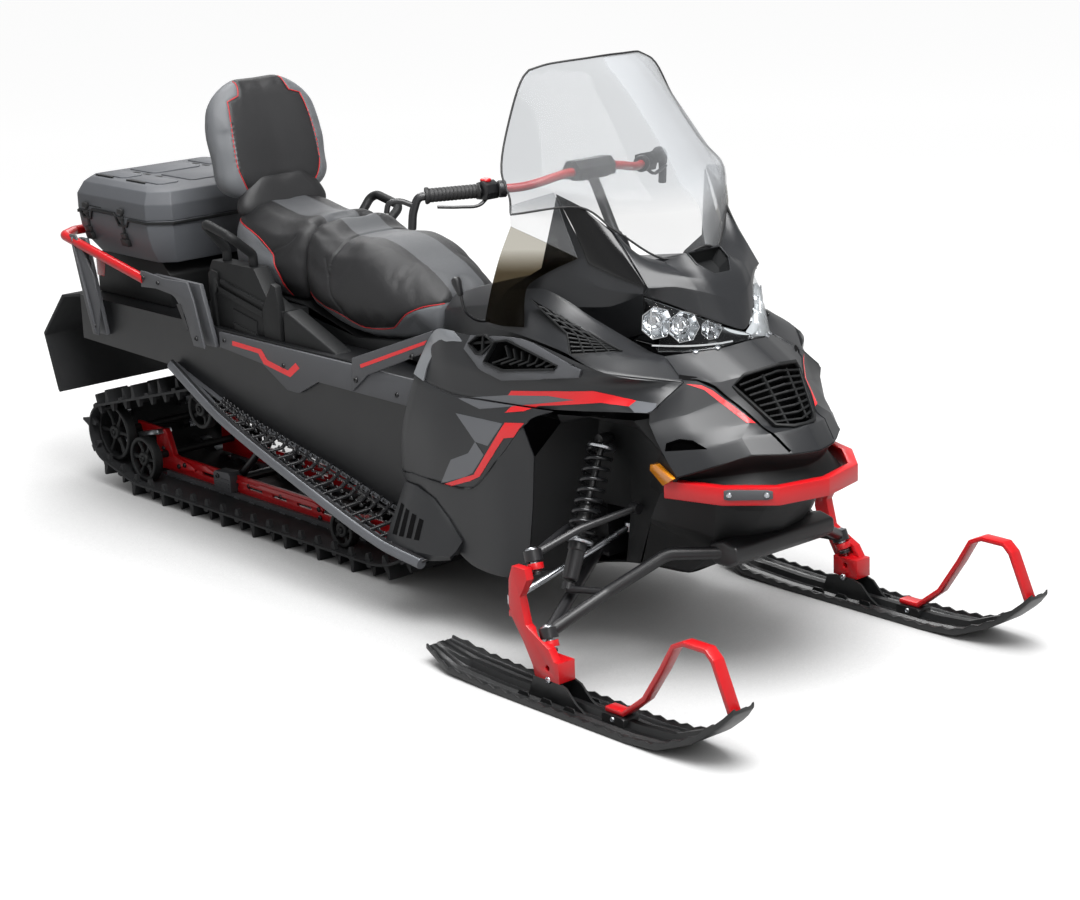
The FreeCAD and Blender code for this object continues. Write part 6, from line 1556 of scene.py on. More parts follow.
    def rails(self) -> None:
        """Fit the rails' rear brackets, clamps, stepped tops, adjusters and bolts."""
        bracket = plate([(-1236, 62), (-1224, 178), (-1212, 190), (-1188, 192), (-1178, 182),
                         (-1150, 116), (-1062, 102), (-1040, 94), (-1040, 84)], -131, -113)
        top = plate([(-1060, 92), (-1056, 103), (-1019, 110), (-980, 112), (-940, 100),
                     (-710, 100), (-700, 107), (-437, 107), (-400, 98), (-392, 90)], -128, -112)
        add_pair("rail_brackets", RED_COAT, bracket, top, bevel=1.5)
        clamp = plate([(-908, 62), (-910, 112), (-900, 120), (-830, 124), (-820, 112),
                       (-822, 64)], -150, -108)
        ribs = plates([[(-900, z), (-830, z + 1), (-830, z + 5), (-900, z + 4)]
                       for z in (74, 86, 98)], -153, -149)
        add_pair("rail_clamps", GREY_PP, clamp, ribs, bevel=2.0)
        adjuster = plate([(-1312, 150), (-1312, 166), (-1200, 192), (-1194, 178)], -150, -100)
        add_pair("track_adjusters", BRIGHT_ALLOY, adjuster, bevel=2.5)
        bolts = [side_screws(y, spots) for y, spots in
                 ((-131, ((-1122, 86), (-1201, 130), (-1090, 96))), (-150, ((-885, 106),)),
                  (-128, ((-411, 92),)), (-125, ((-760, 92), (-600, 92), (-411, 66))))]
        add_pair("rail_bolts", BLACK_COAT, *bolts)

    def wheels(self) -> None:
        """Make the four wheel sets with their axles."""
        for name, places in (("rear_wheels", ((-1341, 173, 87.5, 6),)),
                             ("idler_wheels", ((-1185, 116, 69.5, 6), (-188, 98, 51.5, 5),
                                               (-850, 330, 59.5, 5)))):
            parts = [self.wheel(x, z, r, side, n) for x, z, r, n in places for side in (-1, 1)]
            parts += [lathe([(0, 0), (11, 0), (11, 2 * self.wheel_y), (0, 2 * self.wheel_y)],
                            (x, -self.wheel_y, z), (0, 1, 0), 24) for x, z, _, _ in places]
            add_solid(f"{name}_moulded", MATTE_PP, *parts, stands_for=(name,), bevel=0.8,
                      bevel_parts=1)


@dataclass
class Chassis:
    """The tunnel with its trims, running boards, foot wells, engine and bulkhead."""

    tunnel_half: float = 272.0
    reach: float = 130.0
    tube_r: float = 15.0
    rungs: int = 30
    board: Outline = field(default_factory=lambda: [
        (400, 178), (260.5, 192.1), (-138.9, 280.9), (-576.4, 378.9), (-868, 477)])
    board_reach: tuple[float, ...] = (1.0, 1.0, 0.83, 0.45, 0.14)
    board_rise: tuple[float, ...] = (32.0, 32.0, 27.2, 11.2, 0.0)

    def build(self, frame: dict) -> None:
        """Make the chassis pieces."""
        dress(frame, TUNNEL_COAT, "tunnel")
        dress(frame, BLACK_COAT, "engine", "front_frame")
        softened(frame, "foot_wells", MATTE_PP, bevel=1.5)
        softened(frame, "inner_fenders", MATTE_PP, bevel=2.5)
        self.boards()
        self.trims()

    def boards(self) -> None:
        """Make the open tread boards with their saw-tooth bars and edge tubes.

        Outer and inner lines run along the tunnel; cross bars join them at equal
        steps, each with a row of teeth on top.
        """
        line = np.array([(x, -self.tunnel_half - self.reach * r, z) for (x, z), r in
                         zip(self.board, self.board_reach)])
        inner = np.array([(x, -self.tunnel_half - 0.6, z + rise) for (x, z), rise in
                          zip(self.board, self.board_rise)])
        rail = eased(line, 10, None, 0.6)
        near = eased(inner, 10, None, 0.6)
        edge = sweep(rail + (0, 0, -3), circle(self.tube_r, 18))
        ridge = sweep(rail + (0, 0, self.tube_r - 3.5), rectangle(9, 4))
        strip = sheet_of(np.stack([near, near + (0, -14, -1.5), near + (0, -14, -5),
                                   near + (0, 0, -5)]).swapaxes(0, 1), round_columns=True)
        kerb = sheet_of(np.stack([rail + (0, 24, 2), rail + (0, 8, 2), rail + (0, 8, -5),
                                  rail + (0, 24, -5)]).swapaxes(0, 1), round_columns=True)
        share = np.linspace(0.01, 0.80, self.rungs)
        a, b = spots_along(rail, share), spots_along(near, share)
        ahead = np.array([26.0, 0.0, 0.0])
        rungs = [sweep(np.array([p, (p + q) / 2 + ahead, q]), rectangle(11, 7))
                 for p, q in zip(a, b)]
        teeth = []
        for p, q in [*zip((a[:-1] + a[1:]) / 2, (b[:-1] + b[1:]) / 2), *zip(a, b)]:
            for t in (0.18, 0.42, 0.66, 0.88):
                foot = p + (q - p) * t + ahead * (1 - abs(2 * t - 1))
                teeth.append(plate([(foot[0] - 7, foot[2] + 1), (foot[0] + 7, foot[2] + 1),
                                    (foot[0] + 3, foot[2] + 10), (foot[0] - 1, foot[2] + 10)],
                                   foot[1] - 2, foot[1] + 2))
        length = [sweep(a + (b - a) * t, rectangle(5, 6)) for t in (0.22, 0.78)]
        add_pair("running_boards_open", BOARD_ALLOY, edge, strip, kerb,
                 stands_for=("running_boards",), bevel=0.6, bevel_parts=1)
        add_pair("board_treads", BLACK_COAT, ridge, *rungs, *teeth, *length, bevel=0.6,
                 bevel_parts=1)

    def trims(self) -> None:
        """Make the grey strips on the tunnel with their red zigzag and two screws."""
        top = self.tunnel_half + 0.6
        outline = [(300, 566), (272, 608), (-625, 606), (-625, 562), (-420, 545), (-310, 488),
                   (-255, 488), (-165, 534), (300, 532)]
        add_pair("tunnel_trim_pair", GREY_PP, plate(outline, -top - 10, -top),
                 stands_for=("tunnel_trims",), bevel=2.0)
        zigzag = [(-560, 590), (-420, 586), (-395, 560), (-300, 545), (-262, 572), (-245, 560),
                  (-290, 528), (-412, 546), (-436, 573), (-560, 577)]
        add_pair("tunnel_trim_film", RED_FILM, plate(zigzag, -top - 10.7, -top - 9.5))
        rise = [(3, 628), (350, 752), (322, 693), (190, 640), (68, 592), (0, 538)]
        add_pair("console_trim_pair", GREY_PP, plate(rise, -top - 18, -top - 6), bevel=2.5)
        dash = [(40, 617), (326, 724), (316, 711), (44, 608)]
        add_pair("console_trim_film", RED_FILM, plate(dash, -top - 19, -top - 17))
        add_pair("console_trim_screws", BLACK_COAT,
                 side_screws(-top - 18, ((18, 572), (262, 672))))
        add_pair("tunnel_trim_screws", BLACK_COAT,
                 side_screws(-top - 9, ((250, 560), (180, 556), (-320, 556), (-600, 585)), 7))


@dataclass
class FrontEnd:
    """Front suspension, spindles, skis, tie rods and the bumper."""

    stance: float = 1020.0
    steer_top: Point = (940, -490, 322)
    steer_low: Point = (1003, -506, 150)
    shock_top: Point = (903, -226, 556)
    shock_foot: Point = (949, -392, 246)
    ski_tail: float = 597.0
    ski_length: float = 1037.0
    ski_half: float = 72.0
    ski_rise: float = 138.0
    ski_notch: float = 22.0
    coils: float = 8.5
    ski_shares: Table = ((0.0, 0.25, 0.62), (0.10, 0.05, 0.95), (0.25, 0.0, 1.0),
                        (0.70, 0.0, 1.0), (0.80, 0.06, 0.97), (0.90, 0.36, 0.82),
                        (0.97, 0.76, 0.62), (1.0, 1.0, 0.45))

    def build(self, frame: dict) -> None:
        """Make the front end."""
        for side, body in (("right", Body.SKI_RIGHT), ("left", Body.SKI_LEFT)):
            softened(frame, f"spindle_{side}", RED_COAT, body, bevel=3.0)
            softened(frame, f"ski_loop_{side}", RED_COAT, body, bevel=3.5)
            dress(frame, BRIGHT_ALLOY, f"tie_rod_{side}")
            self.ski(side, body)
            self.ball_joints(side, body)
        dress(frame, BLACK_COAT, "upper_arms", "lower_arms")
        softened(frame, "front_bumper", RED_COAT, bevel=3.0)
        self.shocks()

    def ball_joints(self, side: str, body: Body) -> None:
        """Turn the bright studs and hexagon nuts that hold the arms to the spindle."""
        low, high = np.asarray(self.steer_low, float), np.asarray(self.steer_top, float)
        axis = unit(high - low)
        parts = []
        for base in (low, high):
            parts += [lathe([(0, -6), (12, -6), (14, -3), (14, 1), (11, 3), (0, 3)],
                            base - axis * 26, axis, 6),
                      lathe([(0, 0), (8.5, 0), (9.5, 2), (9.5, 9), (0, 9)],
                            base - axis * 10, axis, 20),
                      lathe([(0, 0), (15, 0), (17, 3), (17, 6), (12, 10), (0, 11)],
                            base + axis * 22, axis, 24)]
        shape = join(*parts)
        add_solid(f"ball_joints_{side}", BRIGHT_ALLOY,
                  shape if side == "right" else shape.mirrored(), body=body, smooth=25, bevel=0.6)

    def ski(self, side: str, body: Body) -> None:
        """Mould a ski: plate, notched rims, keel ribs and the saddle.

        Each cross-section runs from one rim over the plate to the other; the
        rims' height steps along the ski and the sides draw in at both ends.
        """
        table = np.asarray(self.ski_shares, float)
        tooth = np.arange(2, 46) * self.ski_notch
        station = np.concatenate([[0, 12, 26], tooth - 1.2, tooth + 1.2,
                                  [self.ski_length - 24, self.ski_length - 8, self.ski_length]])
        station = np.unique(np.clip(station, 0, self.ski_length))
        share = station / self.ski_length
        rise = np.interp(share, table[:, 0], table[:, 1]) * self.ski_rise
        half = np.interp(share, table[:, 0], table[:, 2]) * self.ski_half
        step = np.floor(station / self.ski_notch + 0.5)
        raised = (step % 2 == 0) & (share > 0.03) & (share < 0.96)
        rim = np.where(raised, 20.0, 14.5)
        taper = np.clip(np.minimum(share / 0.12, (1 - share) / 0.12), 0.15, 1)
        rib, keel = 9 * taper, 15 * taper
        one = np.ones_like(half)
        outer = [(12 * one, 0 * one), (half - 3, 0 * one), (half, 3 * one), (half, rim - 1.5),
                 (half - 1.5, rim), (half - 6, rim), (half - 8, 9 * one), (half - 14, 8 * one),
                 (half * 0.56 + 3, 8 * one), (half * 0.52, 8 + rib * 0.6),
                 (half * 0.48, 8 + rib * 0.6), (half * 0.44 - 3, 8 * one), (13 * one, 8 * one),
                 (8 * one, 8 + keel)]
        cross = outer + [(-a, b) for a, b in outer[::-1]]
        y = np.stack([a for a, _ in cross], 1)
        z = np.stack([b for _, b in cross], 1) + rise[:, None]
        x = np.broadcast_to(self.ski_tail + station[:, None], y.shape)
        middle = -self.stance / 2 if side == "right" else self.stance / 2
        body_shape = loft(np.stack([x, y + middle, z], 2))
        saddle = [plate([(955, 8), (975, 58), (1000, 62), (1060, 62), (1088, 54), (1120, 24),
                         (1150, 8)], middle + s * 23.5 - 3, middle + s * 23.5 + 3)
                  for s in (-1, 1)]
        clamp = plate([(1206, 6), (1206, 26), (1212, 30), (1272, 30), (1278, 26), (1278, 6)],
                      middle - 24, middle + 24)
        ribs = [plate([(x0, 6), (x0 + 46, 6), (x0 + 40, 20), (x0 + 12, 20)], middle + s * 40 - 2,
                      middle + s * 40 + 2) for x0 in (930, 1010, 1090) for s in (-1, 1)]
        add_solid(f"ski_{side}_moulded", SKI_PE, body_shape, clamp, *saddle, *ribs, body=body,
                  stands_for=(f"ski_{side}",), bevel=0.9, bevel_parts=1)
        bolts = [screw((x, middle + s * out, z), (0, s, 0), size)
                 for x, out, z, size in ((1030, 27, 62, 9), (1242, 23, 20, 7)) for s in (-1, 1)]
        add_solid(f"ski_{side}_bolts", BRIGHT_ALLOY, *bolts, body=body)

    def shocks(self) -> None:
        """Make the coil-over dampers: can, rod, round-wire spring and its seats.

        The spring is a circle carried along a helix about the line between the eyes.
        """
        low, high = np.asarray(self.shock_foot, float), np.asarray(self.shock_top, float)
        axis = high - low
        length = float(np.linalg.norm(axis))
        axis /= length
        side = np.cross(axis, (1, 0, 0))
        side /= np.linalg.norm(side)
        front = np.cross(axis, side)
        t = np.linspace(0, 1, 240)
        angle = t * self.coils * 2 * math.pi
        height = length * (0.30 + 0.62 * t)
        coil = (low + axis * height[:, None]
                + (np.cos(angle)[:, None] * side + np.sin(angle)[:, None] * front) * 29.5)
        add_pair("shock_springs", SPRING_STEEL, sweep(coil, circle(5.2, 10), tuple(axis)),
                 stands_for=("front_shocks",), smooth=NO_CREASE)
        can = lathe([(0, 6), (16, 6), (20, 10), (20, 78), (23, 80), (23, 96), (20, 100),
                     (17, 104), (17, 190), (8, 194), (8, length - 14), (15, length - 12),
                     (15, length + 6), (0, length + 8)], low, axis, 32)
        seat_low = lathe([(17, 96), (34, 98), (36, 104), (31, 110), (17, 112)], low, axis, 36)
        seat_high = lathe([(8, length - 26), (32, length - 26), (35, length - 20),
                           (30, length - 14), (8, length - 12)], low, axis, 36)
        eye = lathe([(0, -15), (15, -15), (15, 15), (0, 15)], high, (0, 1, 0), 28)
        pin = lathe([(0, 0), (8, 0), (8, 44), (0, 44)], (903, -240, 556), (0, 1, 0), 20)
        add_pair("shock_dampers", BLACK_COAT, can, eye, pin, bevel=0.8)
        add_pair("shock_seats", BRIGHT_ALLOY, seat_low, seat_high, bevel=0.6)


def vectors(items: bpy.types.bpy_prop_collection, what: str) -> np.ndarray:
    """Read one vector of each item of a mesh, as (n, 3)."""
    flat = np.empty(len(items) * 3)
    items.foreach_get(what, flat)
    return flat.reshape(-1, 3)


def set_points(made: bpy.types.Object, points: np.ndarray) -> None:
    """Write an object's vertices from points in mm."""
    made.data.vertices.foreach_set("co", (points * MM).ravel())
    made.data.update()


def on_surface(made: bpy.types.Object, starts: np.ndarray, way: np.ndarray) -> np.ndarray:
    """Drop points onto an object's surface along a direction.

    Args:
        made: the object.
        starts: points in mm, outside the surface.
        way: the direction of travel.

    Returns:
        The points that hit, in order.
    """
    tree = BVHTree.FromPolygons([v.co for v in made.data.vertices],
                                [p.vertices for p in made.data.polygons])
    hits = [tree.ray_cast(Vector(p * MM), Vector(way).normalized())[0] for p in starts]
    return np.array([tuple(h) for h in hits if h is not None]) / MM


@dataclass(frozen=True)
class Seam:
    """A line sewn into a cushion's cover.

    Attributes:
        line: points in mm, outside the cover.
        depth: how far the seam is pressed in, in mm.
        way: the direction that lays the line on the cover.
        corded: whether red piping lies along it.
        paired: whether the other side has its reflection.
    """

    line: np.ndarray
    depth: float
    way: Point = (0, 1, 0)
    corded: bool = False
    paired: bool = True

    def laid_on(self, made: bpy.types.Object) -> Iterator[tuple[np.ndarray, np.ndarray]]:
        """Drop the line and then its reflection onto a cover, each with its direction."""
        for flip in (np.ones(3), MIRROR)[:2 if self.paired else 1]:
            way = np.asarray(self.way, float) * flip
            yield on_surface(made, self.line * flip, way), way


@dataclass
class Cushion:
    """A padded seat part: a loft of cross-sections, swollen by cloth pressure.

    Attributes:
        name: the piece's name.
        stands_for: the CAD node that it stands for, if any.
        rings: cross-sections as points (rings, points, 3), which the loft joins.
        mask: gives each point's share of the grey vinyl, which is positive on grey parts.
        seams: what is sewn into the cover.
        fill: tightness, from 0 to 1; not used.
        swell: furthest that the pressure may move a point, in mm.
        voxel: size of the even mesh in mm.
        shrink: how far the loft is drawn in first, in mm.
        frames: steps of the cloth.
        taut: rounds of smoothing that pull the swollen cover tight.
        crease: width of a pressed seam in mm.
    """

    name: str
    stands_for: tuple[str, ...]
    rings: np.ndarray
    mask: Callable[[np.ndarray], np.ndarray]
    seams: tuple[Seam, ...] = ()
    fill: float = 0.9
    swell: float = 10.0
    voxel: float = 6.0
    shrink: float = 4.0
    frames: int = 20
    taut: int = 14
    crease: float = 5.0

    def build(self) -> None:
        """Loft, swell, sew and colour the cushion."""
        made = new_object(self.name, loft(self.rings))
        modifier(made, "DISPLACE", strength=-self.shrink * MM, mid_level=0)
        modifier(made, "REMESH", mode="VOXEL", voxel_size=self.voxel * MM)
        modifier(made, "SMOOTH", iterations=6, factor=0.5)
        apply_modifiers(made)
        self.inflate(made)
        self.sew(made)
        shade = made.data.attributes.new(GREY_PART, "FLOAT", "POINT")
        points = vectors(made.data.vertices, "co") / MM
        shade.data.foreach_set("value", np.asarray(self.mask(points), np.float32))
        made.data.materials.clear()
        made.data.materials.append(SEAT_VINYL.build())
        settle(made, NO_CREASE)
        hang(made, Body.CHASSIS, SEAT_VINYL.slot, self.stands_for)
        self.pipe(made)

    def inflate(self, made: bpy.types.Object) -> None:
        """Let cloth under pressure swell the cover, and cap how far it moves."""
        before = vectors(made.data.vertices, "co") / MM
        cloth = made.modifiers.new("cover", "CLOTH")
        cloth.settings.use_pressure = True
        cloth.settings.uniform_pressure_force = 4.0
        cloth.settings.effector_weights.gravity = 0.0
        cloth.settings.tension_stiffness = 25.0
        cloth.point_cache.frame_start, cloth.point_cache.frame_end = 1, self.frames
        for step in range(1, self.frames + 1):
            bpy.context.scene.frame_set(step)
        graph = bpy.context.evaluated_depsgraph_get()
        done = bpy.data.meshes.new_from_object(made.evaluated_get(graph))
        move = vectors(done.vertices, "co") / MM - before
        made.modifiers.remove(cloth)
        bpy.data.meshes.remove(done)
        bpy.context.scene.frame_set(1)
        far = np.linalg.norm(move, axis=1, keepdims=True)
        set_points(made, before + move * np.minimum(1, self.swell / np.maximum(far, 1e-6)))
        modifier(made, "SMOOTH", iterations=self.taut, factor=0.5)
        apply_modifiers(made)

    def sew(self, made: bpy.types.Object) -> None:
        """Press each seam in: depth falls off as exp(-(distance / crease)^2)."""
        modifier(made, "SUBSURF", levels=1, render_levels=1)
        apply_modifiers(made)
        for seam in self.seams:
            for path, _ in seam.laid_on(made):
                if len(path) < 2:
                    continue
                points = vectors(made.data.vertices, "co") / MM
                normals = vectors(made.data.vertex_normals, "vector")
                near = np.full(len(points), 1e9)
                for start in range(0, len(path), 20):
                    apart = points[:, None] - path[None, start:start + 20]
                    near = np.minimum(near, np.linalg.norm(apart, axis=2).min(1))
                press = seam.depth * np.exp(-(near / self.crease) ** 2)
                set_points(made, points - normals * press[:, None])

    def pipe(self, made: bpy.types.Object) -> None:
        """Lay thin cords along the edges of the colours."""
        cords = [sweep(path - way * 0.4, circle(1.5, 8), tuple(way))
                 for seam in self.seams if seam.corded
                 for path, way in seam.laid_on(made) if len(path) > 3]
        if cords:
            add_solid(f"{self.name}_piping", RED_CORD, *cords, smooth=NO_CREASE)


def above(line: Outline, points: np.ndarray) -> np.ndarray:
    """How far a line in (x, z) runs above points, in mm."""
    edge = np.asarray(line, float)
    return np.interp(points[:, 0], edge[:, 0], edge[:, 1]) - points[:, 2]


def from_side(spots: Outline, per: int, crown: float = 1.0) -> np.ndarray:
    """Ease a line through places (x, z), well outside the machine's right side."""
    return eased(np.insert(np.asarray(spots, float), 1, -400.0, axis=1), per, None, crown)


def lying_rings(table: Table, per: int) -> np.ndarray:
    """Cross-sections of a seat from rows of x, half width, underside and top."""
    s = np.asarray(SEAT_SECTION, float)
    return np.stack([np.stack([np.full(len(s), x), half * s[:, 0], low + (high - low) * s[:, 1]], 1)
                     for x, half, low, high in eased(np.asarray(table, float), per)])


def standing_rings(table: Table, per: int, section: Outline) -> np.ndarray:
    """Cross-sections of a backrest from rows of z, half width, rear x and front x."""
    s = np.asarray(section, float)
    return np.stack([np.stack([rear + (front - rear) * s[:, 1], half * s[:, 0],
                               np.full(len(s), z)], 1)
                     for z, half, rear, front in eased(np.asarray(table, float), per)])


def grey_sides(edge: Outline) -> Callable[[np.ndarray], np.ndarray]:
    """Make a mask that is positive below a line, away from the middle of a seat."""
    return lambda points: above(edge, points) * (np.abs(points[:, 1]) > 60)


@dataclass
class Rider:
    """Handlebar, console, seats, backrest and what surrounds them."""

    def build(self, frame: dict) -> None:
        """Make what the riders touch."""
        dress(frame, BLACK_COAT, "steering_post", "backrest_posts")
        softened(frame, "console", SATIN_ABS, bevel=6.0, bevel_parts=3)
        softened(frame, "seat_base", MATTE_PP, bevel=3.0)
        softened(frame, "grab_handles", MATTE_PP, bevel=0.5)
        self.bar()
        self.driver()
        self.pillion()
        self.back()
        self.lumbar()
        self.bins()

    def bar(self) -> None:
        """Make the bar: red middle, black ends with guard hooks, riser and clamp."""
        black, red, rubber = [], [], []
        for s in (-1, 1):
            end, bend, flat = (np.array(p) * (1, s, 1) for p in
                               ((478., 392., 1122.), (588., 215., 1128.), (638., 70., 1150.)))
            run = unit(bend - end)
            red.append(tube(np.array([flat * (1, 0.1, 1), flat, bend + run * 22,
                                      bend - run * 30]), 11, per=10))
            black.append(tube(np.array([bend - run * 28, end]), 11))
            out = end - run * 16 + (0, 0, -3)
            black.append(tube(np.array([end, out, out + (-8, s * 12, -28),
                                        out + (-14, s * 16, -76)]), 10.5, per=8))
            black.append(tube(np.array([out + (-6, s * 10, -20), out + (-34, s * 44, -6),
                                        out + (-46, s * 58, -12), out + (-52, s * 62, -34)]),
                              7, per=6))
            grip = [(11, -2), (20, -2), (21, 2), (20, 6), (17, 9)]
            for k in range(12):
                base = 12 + k * 9.4
                grip += [(17, base), (17.4, base + 2.4), (17.4, base + 6), (16.4, base + 7.4)]
            grip += [(17, 126), (19.5, 128), (20, 131), (11, 132)]
            rubber.append(lathe(grip, end, run, 28))
            black.append(self.controls(end, run, s))
        riser = lathe([(0, 0), (17, 0), (17, 12), (13, 18), (13, 158), (17, 166), (17, 190),
                       (0, 190)], (728, 0, 986), (-0.4812, 0, 0.8766), 28)
        clamps = [plate([(612, 1138), (622, 1126), (652, 1128), (664, 1142), (662, 1164),
                         (648, 1174), (622, 1172), (612, 1158)], y - 14, y + 14)
                  for y in (-34, 34)]
        pad = plate([(606, 1130), (664, 1134), (668, 1160), (650, 1178), (618, 1176),
                     (604, 1156)], -60, 60)
        stop = lathe([(0, 0), (8, 0), (9, 4), (13, 6), (14, 12), (11, 15), (0, 15)],
                     (553, -265, 1140), (0, 0, 1), 24)
        bar = Body.STEERING
        add_solid("handlebar_frame", BLACK_COAT, *black, riser, *clamps, pad, body=bar,
                  stands_for=("handlebar",), bevel=1.2)
        add_solid("handlebar_tube", RED_COAT, *red, body=bar)
        add_solid("handlebar_grips", GRIP_RUBBER, *rubber, body=bar, smooth=45)
        add_solid("stop_button", RED_COAT, stop, body=bar, bevel=0.8)

    def controls(self, end: np.ndarray, run: np.ndarray, side: int) -> Shape:
        """The switch block beside a grip, its clamp ring and the lever in front."""
        place = end + run * 150
        block = plate([(-20, -22), (18, -20), (24, -4), (20, 16), (2, 24), (-18, 18)], -19, 19)
        ring = lathe([(11, 0), (19, 0), (21, 3), (21, 17), (19, 20), (11, 20)],
                     end + run * 176, run, 24)
        lever = sweep(eased(np.array([place + (2, 0, -16), place + (0, side * 24, -32),
                                      place + (-22, side * 70, -34),
                                      place + (-48, side * 118, -30)]), 8),
                      rectangle(10, 7, 2))
        return join(block.moved(place), ring, lever)

    def driver(self) -> None:
        """Make the driver's seat: high bolster behind, narrow nose in front."""
        rings = lying_rings((
            (-372, 158, 700, 925), (-352, 172, 696, 932), (-310, 184, 686, 920),
            (-262, 190, 672, 893), (-200, 191, 655, 888), (-138, 190, 645, 893),
            (-60, 182, 642, 880), (20, 165, 647, 850), (90, 140, 655, 822), (135, 122, 659, 800),
            (158, 108, 662, 790)), 4)
        edge = [(-372, 640), (-366, 719), (-340, 740), (-310, 716), (-207, 706), (-103, 672),
                (10, 688), (66, 733), (160, 764)]
        line = from_side([(-345, 738), (-310, 718), (-207, 700), (-103, 672), (10, 686),
                          (66, 731), (110, 752), (150, 760)], 12, 0.5)
        side = from_side([(-262, 842), (-230, 790), (-200, 745), (-179, 712)], 14)
        bolster = eased(np.array([(-235, -172, 1100), (-232, -120, 1100), (-236, -60, 1100),
                                  (-240, 0, 1100), (-236, 60, 1100), (-232, 120, 1100),
                                  (-235, 172, 1100)], float), 14)
        Cushion("driver_cushion", ("driver_seat",), rings, grey_sides(edge),
                (Seam(side, 2.5), Seam(bolster, 4.0, (0, 0, -1), paired=False),
                 Seam(line, 1.5, corded=True))).build()

    def pillion(self) -> None:
        """Make the passenger's seat between the driver's bolster and the backrest."""
        rings = lying_rings((
            (-702, 160, 720, 934), (-680, 174, 719, 942), (-630, 186, 718, 938),
            (-560, 192, 712, 924), (-490, 193, 708, 914), (-430, 184, 703, 922),
            (-392, 172, 700, 930), (-378, 162, 700, 926)), 5)
        edge = [(-702, 905), (-607, 880), (-486, 828), (-459, 775), (-440, 700), (-378, 640)]
        line = from_side([(-690, 902), (-607, 880), (-540, 856), (-486, 826), (-459, 775),
                          (-442, 712)], 12, 0.6)
        seam = from_side([(-488, 840), (-440, 862), (-415, 883)], 12)
        Cushion("passenger_cushion", ("passenger_seat",), rings, grey_sides(edge),
                (Seam(seam, 2.0), Seam(line, 1.5, corded=True))).build()

    def back(self) -> None:
        """Make the tall backrest: a grey shell round a black middle panel."""
        table = ((948, 146, -742, -674), (965, 176, -752, -670), (990, 194, -759, -668),
                 (1060, 200, -770, -681), (1155, 202, -787, -706), (1215, 186, -794, -726),
                 (1262, 140, -798, -744), (1284, 98, -799, -752), (1292, 72, -799, -756))
        section = [(-0.84, 0), (-0.97, 0.14), (-1.0, 0.45), (-0.95, 0.8), (-0.82, 0.98),
                   (-0.5, 1.0), (0, 0.97), (0.5, 1.0), (0.82, 0.98), (0.95, 0.8),
                   (1.0, 0.45), (0.97, 0.14), (0.84, 0), (0.4, -0.02), (-0.4, -0.02)]
        outer = np.array([(948, 96), (1000, 128), (1037, 141), (1178, 134), (1227, 126),
                          (1240, 88), (1262, 80), (1300, 76)], float)
        curve = eased(outer * (1, -1), 10, {4, 5}, 0.7)
        line = np.stack([np.full(len(curve), -400.0), curve[:, 1], curve[:, 0]], 1)

        def shade(p: np.ndarray) -> np.ndarray:
            """Positive on the grey shell, negative on the black panel in front."""
            shell = np.asarray(table, float)
            over = np.abs(p[:, 1]) - np.interp(p[:, 2], outer[:, 0], outer[:, 1])
            middle = np.interp(p[:, 2], shell[:, 0], (shell[:, 2] + shell[:, 3]) / 2)
            return np.maximum(over, middle - p[:, 0])

        Cushion("backrest_cushion", ("backrest",), standing_rings(table, 5, section), shade,
                (Seam(line, 2.5, (-1, 0, 0), corded=True),), fill=0.85, swell=8).build()

    def lumbar(self) -> None:
        """Make the small raised cushion between the passenger's seat and the backrest."""
        table = ((902, 150, -700, -642), (925, 160, -702, -642), (960, 150, -702, -650),
                 (998, 122, -702, -660), (1020, 98, -700, -666), (1029, 84, -696, -672))
        section = [(-0.9, 0), (-1.0, 0.3), (-0.97, 0.7), (-0.86, 0.95), (-0.5, 1.0), (0, 1.0),
                   (0.5, 1.0), (0.86, 0.95), (0.97, 0.7), (1.0, 0.3), (0.9, 0), (0.4, 0),
                   (-0.4, 0)]
        Cushion("lumbar_cushion", (), standing_rings(table, 4, section),
                lambda points: np.full(len(points), -1.0), swell=5).build()

    def bins(self) -> None:
        """Detail the storage bins, and add the side pockets and the console's lever."""
        outlines = ([(-696, 600), (-696, 762), (-684, 774), (-654, 770), (-650, 728),
                     (-670, 704), (-664, 596)],
                    [(-392, 770), (-372, 764), (-359, 700), (-360, 566), (-436, 576),
                     (-440, 690), (-426, 716)],
                    [(-650, 728), (-440, 686), (-440, 668), (-650, 710)],
                    [(-640, 752), (-434, 710), (-434, 698), (-640, 739)],
                    [(-588, 636), (-480, 616), (-480, 600), (-496, 588), (-572, 602)])
        door = [(-590, 674), (-478, 652), (-478, 566), (-590, 584)]
        add_pair("bin_frames", MATTE_PP, plates(outlines, -258, -236), plate(door, -254, -236),
                 bevel=3.0)
        pocket = [(-350, 549), (-350, 690), (-336, 700), (-118, 616), (-108, 600), (-132, 560),
                  (-244, 549)]
        add_pair("side_pockets", MATTE_PP, plate(pocket, -254, -196), bevel=7.0, bevel_parts=3)
        stalk = tube([(446, -165, 772), (434, -212, 778), (420, -236, 800), (406, -240, 846)], 4,
                     per=6)
        knob = lathe([(0, 0), (7, 2), (9, 12), (13, 36), (12, 46), (8, 50), (0, 50)],
                     (408, -240, 840), (-0.4, 0, 0.92), 20)
        add_solid("console_lever", BLACK_COAT, stalk, knob, bevel=0.6)


